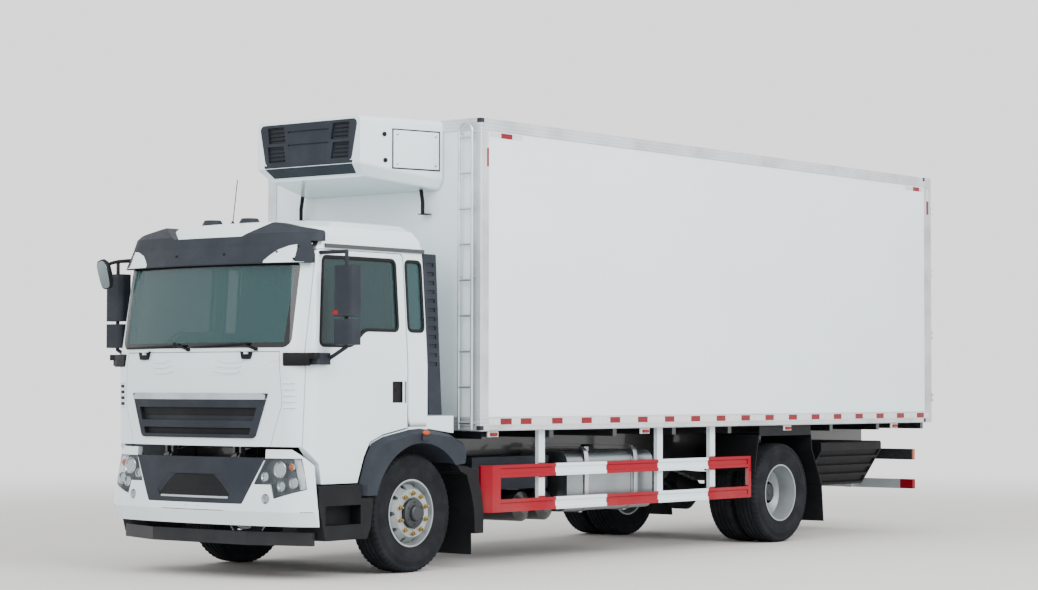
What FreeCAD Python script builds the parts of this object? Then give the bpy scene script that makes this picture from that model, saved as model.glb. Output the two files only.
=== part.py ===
"""Two-axle refrigerated truck: ladder frame, tilting cab, insulated box and nose cooling unit.

Millimetres. X points forward, Y to the left and Z up. The origin is on the ground under the middle of
the truck. Places along the truck are given as distances ahead of the front axle.
"""
import FreeCAD, Part
import math
import os
from FreeCAD import Vector

os.makedirs("parts", exist_ok=True)

# Overall size
overall_length = 10240.0
overall_height = 3950.0
front_overhang = 1540.0
wheelbase = 5600.0
half_turn = 180.0
full_turn = 360.0

# Clearances
overrun = 20.0
seat_gap = 0.3
seam_gap = 6.0
pin_gap = 0.05
running_gap = 5.0

# Wheels and tyres
tyre_radius = 507.0
tyre_width = 275.0
tyre_tread_width = 226.0
tyre_shoulder_drop = 16.0
tyre_bulge_radius = 410.0
rim_radius = 290.0
rim_width = 236.0
rim_lip = 14.0
rim_barrel_radius = 258.0
wheel_disc_radius = 205.0
wheel_disc_depth = 78.0
wheel_disc_thickness = 14.0
wheel_centre_hole_radius = 138.0
hand_hole_radius = 20.0
hand_hole_circle_radius = 232.0
hand_hole_count = 10
hub_radius = 92.0
hub_recess = 16.0
hub_cap_radius = 46.0
hub_cap_length = 34.0
hub_clearance = 10.0
front_wheel_outer_y = 1110.0
front_disc_proud = 12.0
rear_wheel_outer_y = 1265.0
dual_spacing = 318.0
rear_hub_radius = 118.0
rear_hub_length = 108.0
rear_shaft_flange_radius = 84.0
rear_shaft_flange_thickness = 14.0
drum_radius = 208.0
drum_inner_y = 890.0

# Front axle, knuckles and steering
kingpin_y = 800.0
kingpin_radius = 22.0
kingpin_boss_radius = 48.0
kingpin_boss_height = 120.0
beam_width = 90.0
beam_height = 96.0
beam_drop = 112.0
beam_low_half_length = 500.0
beam_rise_end_y = 690.0
beam_web = 24.0
beam_flange = 20.0
knuckle_lug_height = 32.0
knuckle_plate_thickness = 32.0
knuckle_plate_half_width = 52.0
stub_radius = 40.0
stub_length = 170.0
steering_arm_back = 190.0
steering_arm_width = 44.0
track_rod_radius = 16.0
track_rod_eye_radius = 30.0
track_rod_eye_height = 34.0
track_rod_pin_radius = 10.0
track_rod_open_gap = 0.5

# Springs
spring_width = 80.0
front_spring_half_length = 760.0
front_spring_rise = 135.0
front_leaf_thickness = 24.0
front_leaf_count = 3
rear_spring_half_length = 780.0
rear_spring_rise = 55.0
rear_leaf_thickness = 16.0
rear_leaf_count = 6
leaf_step_share = 0.84
spring_eye_radius = 30.0
hanger_cheek = 12.0
hanger_half_length = 60.0
spring_seat_height = 34.0

# Rear axle and propeller shaft
rear_axle_tube_radius = 72.0
rear_axle_bowl_radius = 205.0
rear_axle_bowl_width = 300.0
rear_axle_nose_length = 330.0
rear_axle_nose_radius = 95.0
spindle_radius = 46.0
propshaft_radius = 55.0
propshaft_front_z = 730.0
propshaft_joint_gap = 2.0

# Ladder frame
rail_height = 280.0
rail_flange = 80.0
rail_thickness = 8.0
rail_outer_y = 432.0
rail_top_z = 1090.0
rail_front_ahead = 1190.0
rail_rear_behind = 8590.0
rail_end_height = 170.0
rail_end_slope = 130.0
cross_member_stations = (1120.0, -320.0, -1050.0, -1900.0, -2750.0, -3600.0, -4450.0, -5250.0,
                         -5950.0, -6850.0, -7700.0, -8520.0)
cross_member_height = 200.0
cross_member_flange = 60.0
cross_member_drop = 20.0
engine_front_ahead = 980.0
engine_length = 1150.0
engine_width = 640.0
engine_bottom_z = 640.0
engine_top_z = 1420.0
engine_lug_length = 120.0
engine_lug_height = 90.0

# Insulated box
box_length = 7990.0
box_width = 2600.0
box_bottom_z = 1200.0
rear_hardware_depth = 34.0
side_wall_thickness = 80.0
front_wall_thickness = 100.0
roof_thickness = 90.0
floor_thickness = 130.0
bottom_rail_height = 125.0
top_rail_height = 105.0
front_post_width = 110.0
rear_post_width = 135.0
extrusion_thickness = 10.0
extrusion_radius = 9.0
panel_gap = 1.0
rib_depth = 4.0
rib_height = 14.0
bearer_height = 100.0
bearer_width = 60.0
cross_bearer_width = 60.0
cross_bearer_height = 70.0
cross_bearer_count = 9
rear_door_thickness = 90.0
rear_door_gap = 6.0
rear_door_meeting_gap = 12.0
lock_rod_radius = 14.0
lock_rod_inset = 260.0
lock_rod_spacing = 320.0
rod_guide_height = 60.0
rod_guide_width = 70.0
rear_hinge_heights = (1480.0, 2180.0, 2880.0, 3580.0)
rear_hinge_length = 90.0
rear_hinge_radius = 13.0
rear_hinge_leaf = 120.0
rear_hinge_leaf_thickness = 8.0
floor_rib_count = 25
floor_rib_height = 16.0
floor_rib_width = 28.0

# Ladder on the front wall
ladder_inner_y = 1087.0
ladder_outer_y = 1235.0
ladder_tube_radius = 13.0
ladder_rung_radius = 10.0
ladder_standoff = 45.0
ladder_bottom_z = 1215.0
ladder_top_z = 3830.0
ladder_first_rung_z = 1271.0
ladder_rung_pitch = 313.0
ladder_rung_count = 9
ladder_foot_radius = 9.0

# Nose cooling unit
unit_back_half_width = 860.0
unit_nose_half_width = 620.0
unit_low_half_width = 545.0
unit_chin_half_width = 510.0
unit_top_z = 3946.0
unit_nose_ahead = 150.0
unit_nose_low_z = 3530.0
unit_chin_ahead = 40.0
unit_chin_z = 3435.0
unit_back_low_z = 3330.0
unit_edge_radius = 45.0
unit_grille_depth = 40.0
unit_grille_margin = 26.0
unit_opening_depth = 120.0
unit_opening_inner_share = 0.45
unit_opening_outer_share = 0.88
unit_slat_height = 14.0
unit_slat_depth = 10.0
hose_radius = 17.0
hose_drop = 205.0
hose_offset = 62.0
hose_left_y = 655.0
hose_right_y = -770.0
hose_bracket_width = 90.0
hose_bracket_height = 8.0
hose_standoff = 70.0

# Under-floor cooling unit
under_unit_front_ahead = -6550.0
under_unit_rear_ahead = -7800.0
under_unit_top_z = 1006.0
under_unit_bottom_z = 530.0
under_unit_outer_y = 1150.0
under_unit_foot_y = 900.0
under_unit_inner_y = 480.0
under_unit_slat_count = 4
under_unit_slat_depth = 18.0
under_unit_slat_land = 26.0
under_unit_plate = 12.0

# Fuel tank, air tanks, battery box and silencer
tank_front_ahead = -2230.0
tank_rear_ahead = -3590.0
tank_bottom_z = 430.0
tank_top_z = 985.0
tank_inner_y = 480.0
tank_outer_y = 1060.0
tank_corner_radius = 95.0
tank_strap_width = 50.0
tank_strap_thickness = 5.0
tank_strap_inset = 330.0
tank_cap_radius = 48.0
tank_cap_height = 46.0
tank_cap_ahead = -2700.0
tank_cap_y = 900.0
bracket_thickness = 12.0
air_tank_radius = 135.0
air_tank_length = 560.0
air_tank_end_y = 950.0
air_tank_z = 495.0
air_tank_stations = (-1740.0, -2080.0)
air_tank_dome = 45.0
battery_front_ahead = -1040.0
battery_rear_ahead = -2140.0
battery_bottom_z = 660.0
battery_top_z = 955.0
battery_outer_y = 900.0
battery_lid_height = 60.0
battery_lid_proud = 8.0
silencer_front_ahead = -1150.0
silencer_rear_ahead = -1950.0
silencer_radius = 270.0
silencer_y = -780.0
silencer_z = 660.0
exhaust_pipe_radius = 60.0
exhaust_pipe_length = 420.0

# Side guards
guard_outer_y = 1235.0
guard_rail_height = 112.0
guard_rail_depth = 34.0
guard_groove = 10.0
guard_front_ahead = -985.0
guard_rear_ahead = -5066.0
guard_top_z = 895.0
guard_low_top_z = 590.0
guard_nose_length = 122.0
guard_nose_inset = 85.0
guard_nose_thickness = 24.0
guard_end_width = 55.0
guard_post_width = 90.0
guard_post_depth = 40.0
guard_post_stations = (-1670.0, -3520.0, -4420.0)

# Rear mudguards and flaps
rear_guard_foot_ahead = 512.0
rear_guard_foot_z = 735.0
rear_guard_knee_ahead = 470.0
rear_guard_knee_z = 953.0
rear_guard_top_ahead = 431.0
rear_guard_top_z = 1094.0
rear_guard_top_behind = 545.0
rear_guard_knee_behind = 565.0
rear_guard_knee_low_z = 935.0
rear_guard_bend_behind = 701.0
rear_guard_bend_z = 688.0
rear_guard_foot_behind = 750.0
rear_guard_heel_z = 575.0
rear_guard_thickness = 12.0
rear_guard_inner_y = 650.0
rear_guard_outer_y = 1270.0
rear_guard_panel_top_z = 1196.0
rear_guard_panel_thickness = 12.0
rear_guard_flap_behind = 800.0
flap_bottom_z = 185.0
flap_thickness = 10.0
flap_width = 600.0
flap_lap = 40.0

# Rear underrun guard and lamps
underrun_half_width = 1190.0
underrun_low_z = 460.0
underrun_high_z = 565.0
underrun_depth = 60.0
underrun_rear_behind = 8480.0
underrun_arm_width = 80.0
lamp_bar_low_z = 780.0
lamp_bar_high_z = 900.0
lamp_bar_depth = 70.0
lamp_bar_inner_y = 433.0
lamp_bar_outer_y = 1120.0
lamp_end_length = 60.0
lamp_bar_rear_behind = 8600.0

# Front underrun beam
front_beam_low_z = 285.0
front_beam_high_z = 395.0
front_beam_half_width = 1112.0
front_beam_front_ahead = 1450.0
front_beam_back_sweep = 200.0
front_beam_depth = 60.0

# Cab tilt hinge and rear rest
tilt_ahead = 1395.0
tilt_z = 1000.0
tilt_pin_radius = 22.0
tilt_boss_radius = 40.0
tilt_bracket_thickness = 40.0
tilt_bracket_overlap = 60.0
tilt_cheek_thickness = 22.0
tilt_neck_front = 15.0
cab_rest_ahead = -150.0
cab_rest_width = 70.0

# Cab body
cab_rear_ahead = -155.0
cab_low_z = 783.0
cab_floor_z = 1240.0
cab_sill_z = 1094.0
cab_belt_z = 1750.0
cab_screen_foot_z = 1880.0
cab_screen_head_z = 2610.0
cab_drip_z = 2750.0
cab_roof_z = 2985.0
cab_front_ahead = 1530.0
cab_low_set_back = 20.0
cab_screen_foot_set_back = 10.0
cab_screen_head_set_back = 100.0
cab_drip_set_back = 165.0
cab_roof_set_back = 560.0
cab_half_width = 1155.0
cab_belt_tuck = 3.0
cab_screen_foot_tuck = 9.0
cab_screen_head_tuck = 60.0
cab_drip_tuck = 74.0
cab_roof_tuck = 330.0
cab_crown_share = 0.80
cab_crown_drop = 100.0
cab_corner_length = 190.0
cab_corner_mid_drop = 70.0
cab_corner_mid_share = 0.935
cab_rear_corner_radius = 30.0
cab_roof_rear_set_back = 160.0
cab_roof_step_count = 4
cab_wall = 60.0
cab_floor_thickness = 50.0
floor_side_gap = 10.0
cab_front_wall = 95.0
tunnel_half_width = 400.0
tunnel_top_z = 1520.0
tunnel_wall = 30.0
filler_rear_ahead = -480.0
filler_top_z = 1336.0
filler_thickness = 40.0
glass_thickness = 6.0
glass_set_in = 10.0
glass_lap = 12.0

# Windscreen, as seen from the front
screen_foot_half_width = 1000.0
screen_head_half_width = 1000.0
screen_low_z = 1905.0
screen_high_z = 2640.0
screen_corner_radius = 80.0

# Doors, as seen from the side
door_seam_top_ahead = 1180.0
door_seam_belt_ahead = 1330.0
door_seam_low_ahead = 1345.0
door_toe_ahead = 1225.0
door_toe_z = 950.0
door_bottom_ahead = 1200.0
door_rear_ahead = 112.0
door_top_z = 2722.0
door_rear_gap = 13.0
door_heel_ahead = 750.0
door_shoulder_ahead = 672.0
door_shoulder_z = 1000.0
door_arch_ahead = 598.0
door_arch_z = 1121.0
door_arch_top_ahead = 443.0
door_arch_top_z = 1180.0
door_rear_low_z = 1236.0
door_corner_radius = 40.0
door_hinge_behind_seam = 30.0
door_hinge_y = 1211.0
door_sweep_radius = 185.0
door_inner_y = 1040.0
door_inner_top_y = 968.0
door_inner_gap = 12.0
door_sill_gap = 12.0
window_front_top_ahead = 1118.0
window_front_low_ahead = 1200.0
window_low_z = 1925.0
window_step_ahead = 815.0
window_step_top_ahead = 640.0
window_sill_z = 2062.0
window_rear_ahead = 225.0
window_top_z = 2660.0
window_radius = 50.0
quarter_front_ahead = 92.0
quarter_rear_ahead = -106.0
handle_front_ahead = 315.0
handle_rear_ahead = 135.0
handle_low_z = 1450.0
handle_high_z = 1632.0
handle_depth = 22.0
handle_bar = 24.0

# Front flap and grille
flap_top_z = 1872.0
flap_bottom_edge_z = 1094.0
flap_shoulder_z = 1450.0
flap_top_half_width = 900.0
flap_shoulder_half_width = 930.0
flap_bottom_half_width = 815.0
flap_skin = 30.0
flap_hinge_ahead = 1530.0
flap_hinge_z = 1882.0
flap_hinge_y = 605.0
flap_hinge_root_ahead = 1462.0
flap_lug_width = 24.0
flap_lug_height = 16.0
flap_lug_radius = 9.0
grille_top_z = 1530.0
grille_slot_top_z = 1475.0
grille_bottom_z = 1160.0
grille_top_half_width = 800.0
grille_bottom_half_width = 670.0
grille_proud = 14.0
grille_depth = 30.0
grille_frame = 62.0
grille_bar_z = 1275.0
grille_bar_height = 60.0
chrome_height = 55.0

# Sun visor
visor_low_z = 2600.0
visor_trough_z = 2835.0
visor_hump_z = 2955.0
visor_hump_half_width = 640.0
visor_trough_half_width = 400.0
visor_end_z = 2870.0
visor_half_width = 1105.0
visor_side_ahead = 1224.0
visor_top_side_ahead = 1100.0
visor_proud = 45.0
visor_thickness = 40.0

# Bumper and lamps
bumper_bottom_z = 445.0
bumper_step_z = 564.0
bumper_top_z = 1072.0
bumper_front_ahead = 1540.0
bumper_top_set_back = 40.0
bumper_half_width = 1200.0
bumper_top_half_width = 1140.0
bumper_crown_drop = 95.0
bumper_rear_ahead = 1274.0
bumper_rear_low_ahead = 1214.0
bumper_rear_bend_z = 600.0
bumper_rear_shoulder_z = 935.0
bumper_rear_top_ahead = 1388.0
bumper_arm_low_z = 830.0
bumper_arm_high_z = 890.0
bumper_wall = 45.0
insert_top_z = 1003.0
insert_bottom_z = 622.0
insert_top_half_width = 762.0
insert_bottom_half_width = 555.0
insert_window_top_z = 862.0
insert_window_bottom_z = 660.0
insert_window_top_half_width = 520.0
insert_window_bottom_half_width = 400.0
insert_depth = 70.0
lamp_inner_y = 660.0
lamp_outer_y = 1150.0
lamp_low_z = 668.0
lamp_notch_z = 785.0
lamp_high_z = 1000.0
lamp_foot_y = 860.0
lamp_notch_y = 825.0
lamp_top_inner_y = 765.0
lamp_depth = 90.0
fog_lamp_y = 787.0
fog_lamp_z = 668.0
fog_lamp_radius = 42.0
plate_hole_z = 598.0
plate_hole_radius = 6.0
plate_hole_spacing = 150.0
tow_pin_radius = 20.0

# Entry steps
step_front_ahead = 1262.0
step_front_low_ahead = 1180.0
step_rear_ahead = 606.0
step_rear_low_ahead = 676.0
step_heel_ahead = 632.0
step_heel_z = 417.0
step_shoulder_ahead = 748.0
step_shoulder_z = 664.0
step_top_z = 776.0
step_bottom_z = 325.0
step_outer_y = 1195.0
step_inner_y = 900.0
step_recess_depth = 120.0
step_tread_z = 425.0
step_tread_thickness = 24.0
step_recess_top_z = 610.0
step_wall = 40.0

# Wheel arches of the cab
arch_radius = 600.0
arch_outer_y = 1215.0
arch_inner_y = 660.0
arch_skin = 12.0
arch_ridge_share = 0.945
arch_door_gap = 14.0
arch_foot_z = 680.0
arch_top_z = 1230.0
arch_back_ahead = -250.0
arch_back_z = 1209.0
arch_rear_shoulder_ahead = -420.0
arch_rear_shoulder_z = 1180.0
arch_rear_bend_ahead = -600.0
arch_rear_bend_z = 1100.0
arch_rear_tip_ahead = -620.0
arch_rear_tip_z = 1002.0
arch_notch_ahead = -605.0
arch_notch_z = 945.0
arch_liner_rear_ahead = -430.0
arch_liner_rear_z = 927.0
marker_length = 85.0
marker_height = 45.0
marker_ahead = -30.0
marker_z = 1150.0
marker_proud = 16.0

# Guards behind the front wheels
rear_arch_tip_ahead = -478.0
rear_arch_tip_z = 908.0
rear_arch_top_ahead = -612.0
rear_arch_top_z = 893.0
rear_arch_bend_ahead = -745.0
rear_arch_bend_z = 858.0
rear_arch_outer_ahead = -821.0
rear_arch_outer_z = 621.0
rear_arch_heel_ahead = -843.0
rear_arch_heel_z = 450.0
rear_arch_foot_ahead = -839.0
rear_arch_low_z = 305.0
rear_arch_inner_foot_ahead = -722.0
rear_arch_inner_heel_ahead = -713.0
rear_arch_inner_heel_z = 519.0
rear_arch_inner_bend_ahead = -671.0
rear_arch_inner_bend_z = 668.0
rear_arch_inner_top_ahead = -612.0
rear_arch_inner_top_z = 820.0
rear_arch_throat_ahead = -530.0
rear_arch_throat_z = 851.0
rear_arch_skin = 12.0
rear_arch_depth = 90.0
rear_arch_inner_y = 700.0
rear_arch_outer_y = 1200.0
front_flap_ahead = -724.0
front_flap_bottom_z = 120.0
front_flap_inner_y = 760.0
front_flap_outer_y = 1150.0

# Air guides behind the cab
guide_rear_ahead = -325.0
guide_low_z = 1345.0
guide_high_z = 2735.0
guide_thickness = 22.0
guide_slot_count = 12
guide_slot_height = 34.0
guide_slot_pitch = 78.0
guide_slot_depth = 10.0
guide_slot_front_share = 0.22
guide_slot_rear_share = 0.80

# Wipers, each place as seen from the front
wiper_pivots = ((680.0, 1893.0), (-57.0, 1893.0))
wiper_elbows = ((545.0, 1940.0), (-222.0, 1943.0))
wiper_blade_starts = ((607.0, 1942.0), (-102.0, 1930.0))
wiper_blade_ends = ((-18.0, 1912.0), (-915.0, 1910.0))
wiper_boss_length = 40.0
wiper_boss_radius = 14.0
wiper_arm_radius = 8.0
wiper_arm_standoff = 26.0
wiper_blade_standoff = 14.0
screen_set_in = 3.0

# Door mirrors and front mirror
mirror_ahead = 1130.0
mirror_inner_y = 1262.0
mirror_width = 215.0
mirror_depth = 120.0
mirror_low_z = 2160.0
mirror_high_z = 2575.0
mirror_radius = 45.0
wide_mirror_low_z = 1925.0
wide_mirror_high_z = 2135.0
mirror_arm_radius = 16.0
mirror_block_low_z = 1765.0
mirror_block_high_z = 1862.0
mirror_block_rear_ahead = 1130.0
mirror_block_front_ahead = 1425.0
mirror_block_out = 40.0
mirror_foot_rear_ahead = 1334.0
mirror_foot_bend_ahead = 1350.0
mirror_foot_front_ahead = 1434.0
mirror_foot_inner_ahead = 1412.0
mirror_foot_outer_y = 1163.0
mirror_foot_rear_y = 1090.0
mirror_foot_front_y = 952.0
mirror_foot_inner_y = 918.0
mirror_foot_low_z = 1755.0
hinge_knuckle_radius = 16.0
hinge_knuckle_split_z = 1812.0
hinge_web_depth = 31.0
mirror_top_pivot_z = 2690.0
front_mirror_ahead = 1404.0
front_mirror_y = -1235.0
front_mirror_z = 2560.0
front_mirror_radius = 105.0
front_mirror_depth = 70.0
front_mirror_arm_radius = 14.0
front_mirror_root_ahead = 1190.0
front_mirror_root_y = -990.0
front_mirror_root_z = 2700.0

# Roof fittings
horn_stations_y = (-440.0, 10.0)
horn_ahead = 880.0
horn_radius = 95.0
horn_height = 42.0
antenna_y = -175.0
antenna_ahead = 900.0
antenna_radius = 4.0
antenna_length = 390.0
antenna_base_radius = 22.0
antenna_base_height = 30.0
drip_rail_height = 34.0
drip_rail_proud = 16.0
drip_rail_front_ahead = 1090.0

# Cab interior
seat_y = 560.0
seat_width = 500.0
seat_ahead = 420.0
seat_length = 520.0
seat_base_z = 1620.0
seat_cushion_height = 130.0
seat_back_height = 720.0
seat_back_thickness = 130.0
seat_back_lean = 110.0
seat_pedestal_width = 380.0
seat_head_width = 300.0
seat_head_height = 190.0
seat_head_gap = 30.0
dash_rear_ahead = 960.0
dash_low_z = 1560.0
dash_top_z = 1905.0
dash_front_gap = 0.3
dash_side_gap = 35.0
dash_nose_radius = 90.0
column_radius = 32.0
column_y = 560.0
column_foot_ahead = 1080.0
column_foot_z = 1620.0
column_head_ahead = 850.0
column_head_z = 1960.0
steering_wheel_radius = 215.0
steering_wheel_rim = 16.0
steering_hub_radius = 60.0
steering_hub_height = 40.0
steering_spoke_width = 34.0

# Places that follow from the sizes above
front_axle_x = overall_length / 2 - front_overhang
rear_axle_x = front_axle_x - wheelbase
axle_z = tyre_radius
half_box = box_width / 2
box_rear_x = -overall_length / 2 + rear_hardware_depth
box_front_x = box_rear_x + box_length
wall_y = half_box - extrusion_thickness
inner_y = wall_y - side_wall_thickness
floor_top_z = box_bottom_z + floor_thickness
rail_bottom_z = rail_top_z - rail_height
front_tyre_y = front_wheel_outer_y - tyre_width / 2
rear_outer_tyre_y = rear_wheel_outer_y - tyre_width / 2
rear_inner_tyre_y = rear_outer_tyre_y - dual_spacing
spring_y = rail_outer_y - rail_flange / 2


def station(ahead):
    """X of a place that lies so far ahead of the front axle."""
    return front_axle_x + ahead


def rounded_wire(corners):
    """Closed wire through corners, each a point and the radius that rounds it (zero keeps it sharp)."""
    turns = []
    for index, (point, radius) in enumerate(corners):
        before = corners[index - 1][0] - point
        after = corners[(index + 1) % len(corners)][0] - point
        if radius == 0:
            turns.append((point, None, point))
            continue
        half_angle = before.getAngle(after) / 2
        before.normalize()
        after.normalize()
        reach = radius / math.tan(half_angle)
        bisector = before + after
        bisector.normalize()
        middle = point + bisector * (radius / math.sin(half_angle) - radius)
        turns.append((point + before * reach, middle, point + after * reach))
    edges = []
    for index, (entry, middle, leave) in enumerate(turns):
        if middle is not None:
            edges.append(Part.Arc(entry, middle, leave).toShape())
        following = turns[(index + 1) % len(turns)][0]
        edges.append(Part.makeLine(leave, following))
    return Part.Wire(edges)


def radius_of(corner):
    """Radius of an outline's corner: its third value, or zero where it has none."""
    return corner[2] if len(corner) > 2 else 0


def slab_y(outline, low, high):
    """Plate with an outline in X and Z, between two values of Y."""
    corners = [(Vector(corner[0], low, corner[1]), radius_of(corner)) for corner in outline]
    return Part.Face(rounded_wire(corners)).extrude(Vector(0, high - low, 0))


def slab_x(outline, low, high):
    """Plate with an outline in Y and Z, between two values of X."""
    corners = [(Vector(low, corner[0], corner[1]), radius_of(corner)) for corner in outline]
    return Part.Face(rounded_wire(corners)).extrude(Vector(high - low, 0, 0))


def slab_z(outline, low, high):
    """Plate with an outline in X and Y, between two values of Z."""
    corners = [(Vector(corner[0], corner[1], low), radius_of(corner)) for corner in outline]
    return Part.Face(rounded_wire(corners)).extrude(Vector(0, 0, high - low))


def block(x_range, y_range, z_range):
    """Box between two values of each coordinate."""
    low = Vector(min(x_range), min(y_range), min(z_range))
    high = Vector(max(x_range), max(y_range), max(z_range))
    size = high - low
    return Part.makeBox(size.x, size.y, size.z, low)


def rod(start, end, radius):
    """Round bar between two points."""
    along = end - start
    return Part.makeCylinder(radius, along.Length, start, along)


def turned_y(profile, x, z):
    """Solid turned about a crosswise axle: the profile lists (Y, radius)."""
    points = [Vector(0, y, radius) for y, radius in profile]
    face = Part.Face(Part.makePolygon(points + [points[0]]))
    solid = face.revolve(Vector(0, 0, 0), Vector(0, 1, 0), full_turn)
    solid.translate(Vector(x, 0, z))
    return solid


def mirrored(shape):
    """Copy of a left-hand shape for the right-hand side."""
    return shape.mirror(Vector(0, 0, 0), Vector(0, 1, 0))


def pair(shape):
    """Left-hand shape and its right-hand copy."""
    return [shape, mirrored(shape)]


def fused(shapes):
    """One solid from pieces that touch."""
    result = shapes[0]
    if len(shapes) > 1:
        result = result.fuse(shapes[1:])
    return result.removeSplitter()


def save(node, shapes):
    """Write one sub-part to its own STEP file."""
    solids = []
    for shape in shapes:
        solids.extend(shape.Solids)
    shape = solids[0] if len(solids) == 1 else Part.makeCompound(solids)
    shape.exportStep("parts/" + node + ".step")
    print(node, len(solids), "solids")


# Wheels

def tyre(centre_y):
    """Tyre with square shoulders, bulging side walls and a straight bead bore."""
    half_width = tyre_width / 2
    half_tread = tyre_tread_width / 2
    bore = rim_radius + seat_gap
    half_rim = rim_width / 2
    profile = [
        (centre_y - half_tread, tyre_radius),
        (centre_y + half_tread, tyre_radius),
        (centre_y + half_width, tyre_radius - tyre_shoulder_drop - half_width + half_tread),
        (centre_y + half_width, tyre_bulge_radius),
        (centre_y + half_rim, bore),
        (centre_y - half_rim, bore),
        (centre_y - half_width, tyre_bulge_radius),
        (centre_y - half_width, tyre_radius - tyre_shoulder_drop - half_width + half_tread),
    ]
    return profile


def hand_holes(solid, x, y_low, y_high):
    """Ring of round ventilation holes through a wheel disc."""
    tools = []
    for index in range(hand_hole_count):
        angle = math.radians(full_turn * index / hand_hole_count)
        centre_x = x + hand_hole_circle_radius * math.cos(angle)
        centre_z = axle_z + hand_hole_circle_radius * math.sin(angle)
        start = Vector(centre_x, y_low, centre_z)
        tools.append(rod(start, Vector(centre_x, y_high, centre_z), hand_hole_radius))
    return solid.cut(tools)


def front_wheel():
    """Left front wheel: rim and convex disc with its hub and drum, on the stub's bearing bore."""
    rim_out = front_tyre_y + rim_width / 2
    rim_in = front_tyre_y - rim_width / 2
    face_y = rim_out + front_disc_proud
    cone_y = face_y - wheel_disc_depth
    hub_y = face_y - hub_recess
    bore = stub_radius + pin_gap
    bore_end_y = drum_inner_y + stub_length
    profile = [
        (hub_y + hub_cap_length, 0),
        (hub_y + hub_cap_length, hub_cap_radius),
        (hub_y, hub_cap_radius),
        (hub_y, wheel_centre_hole_radius),
        (face_y, wheel_centre_hole_radius),
        (face_y, wheel_disc_radius),
        (cone_y, rim_barrel_radius),
        (rim_out, rim_radius - rim_lip),
        (rim_out, rim_radius),
        (rim_in, rim_radius),
        (rim_in, rim_radius - rim_lip),
        (cone_y - wheel_disc_thickness, rim_barrel_radius - wheel_disc_thickness),
        (face_y - wheel_disc_thickness - hub_recess, drum_radius),
        (drum_inner_y, drum_radius),
        (drum_inner_y, bore),
        (bore_end_y, bore),
        (bore_end_y, 0),
    ]
    wheel = turned_y(profile, front_axle_x, axle_z)
    return hand_holes(wheel, front_axle_x, cone_y - overrun, face_y + overrun)


def rear_wheels():
    """Left rear pair: two rims back to back on one hub and drum."""
    outer_out = rear_outer_tyre_y + rim_width / 2
    outer_in = rear_outer_tyre_y - rim_width / 2
    inner_out = rear_inner_tyre_y + rim_width / 2
    inner_in = rear_inner_tyre_y - rim_width / 2
    joint_y = (rear_outer_tyre_y + rear_inner_tyre_y) / 2
    face_y = joint_y + wheel_disc_thickness
    cone_y = face_y + wheel_disc_depth
    bore = spindle_radius + pin_gap
    hub_y = face_y + rear_hub_length
    profile = [
        (hub_y + rear_shaft_flange_thickness, 0),
        (hub_y + rear_shaft_flange_thickness, rear_shaft_flange_radius),
        (hub_y, rear_shaft_flange_radius),
        (hub_y, rear_hub_radius),
        (face_y, rear_hub_radius),
        (face_y, wheel_disc_radius),
        (cone_y, rim_barrel_radius),
        (outer_out, rim_radius - rim_lip),
        (outer_out, rim_radius),
        (outer_in, rim_radius),
        (outer_in, rim_barrel_radius),
        (inner_out, rim_barrel_radius),
        (inner_out, rim_radius),
        (inner_in, rim_radius),
        (inner_in, rim_radius - rim_lip),
        (inner_in + wheel_disc_depth, rim_barrel_radius - wheel_disc_thickness),
        (inner_in + wheel_disc_depth, drum_radius),
        (inner_in - wheel_disc_thickness, drum_radius),
        (inner_in - wheel_disc_thickness, bore),
        (hub_y, bore),
        (hub_y, 0),
    ]
    return turned_y(profile, rear_axle_x, axle_z)


def wheels():
    """Four wheel sets and their tyres."""
    front_tyre = turned_y(tyre(front_tyre_y), front_axle_x, axle_z)
    save("tyre_front_left", [front_tyre])
    save("tyre_front_right", [mirrored(front_tyre)])
    wheel = front_wheel()
    save("wheel_front_left", [wheel])
    save("wheel_front_right", [mirrored(wheel)])
    rear_tyres = [turned_y(tyre(y), rear_axle_x, axle_z) for y in (rear_outer_tyre_y, rear_inner_tyre_y)]
    save("tyres_rear_left", rear_tyres)
    save("tyres_rear_right", [mirrored(shape) for shape in rear_tyres])
    rims = rear_wheels()
    save("wheels_rear_left", [rims])
    save("wheels_rear_right", [mirrored(rims)])


# Axles and steering

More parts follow.
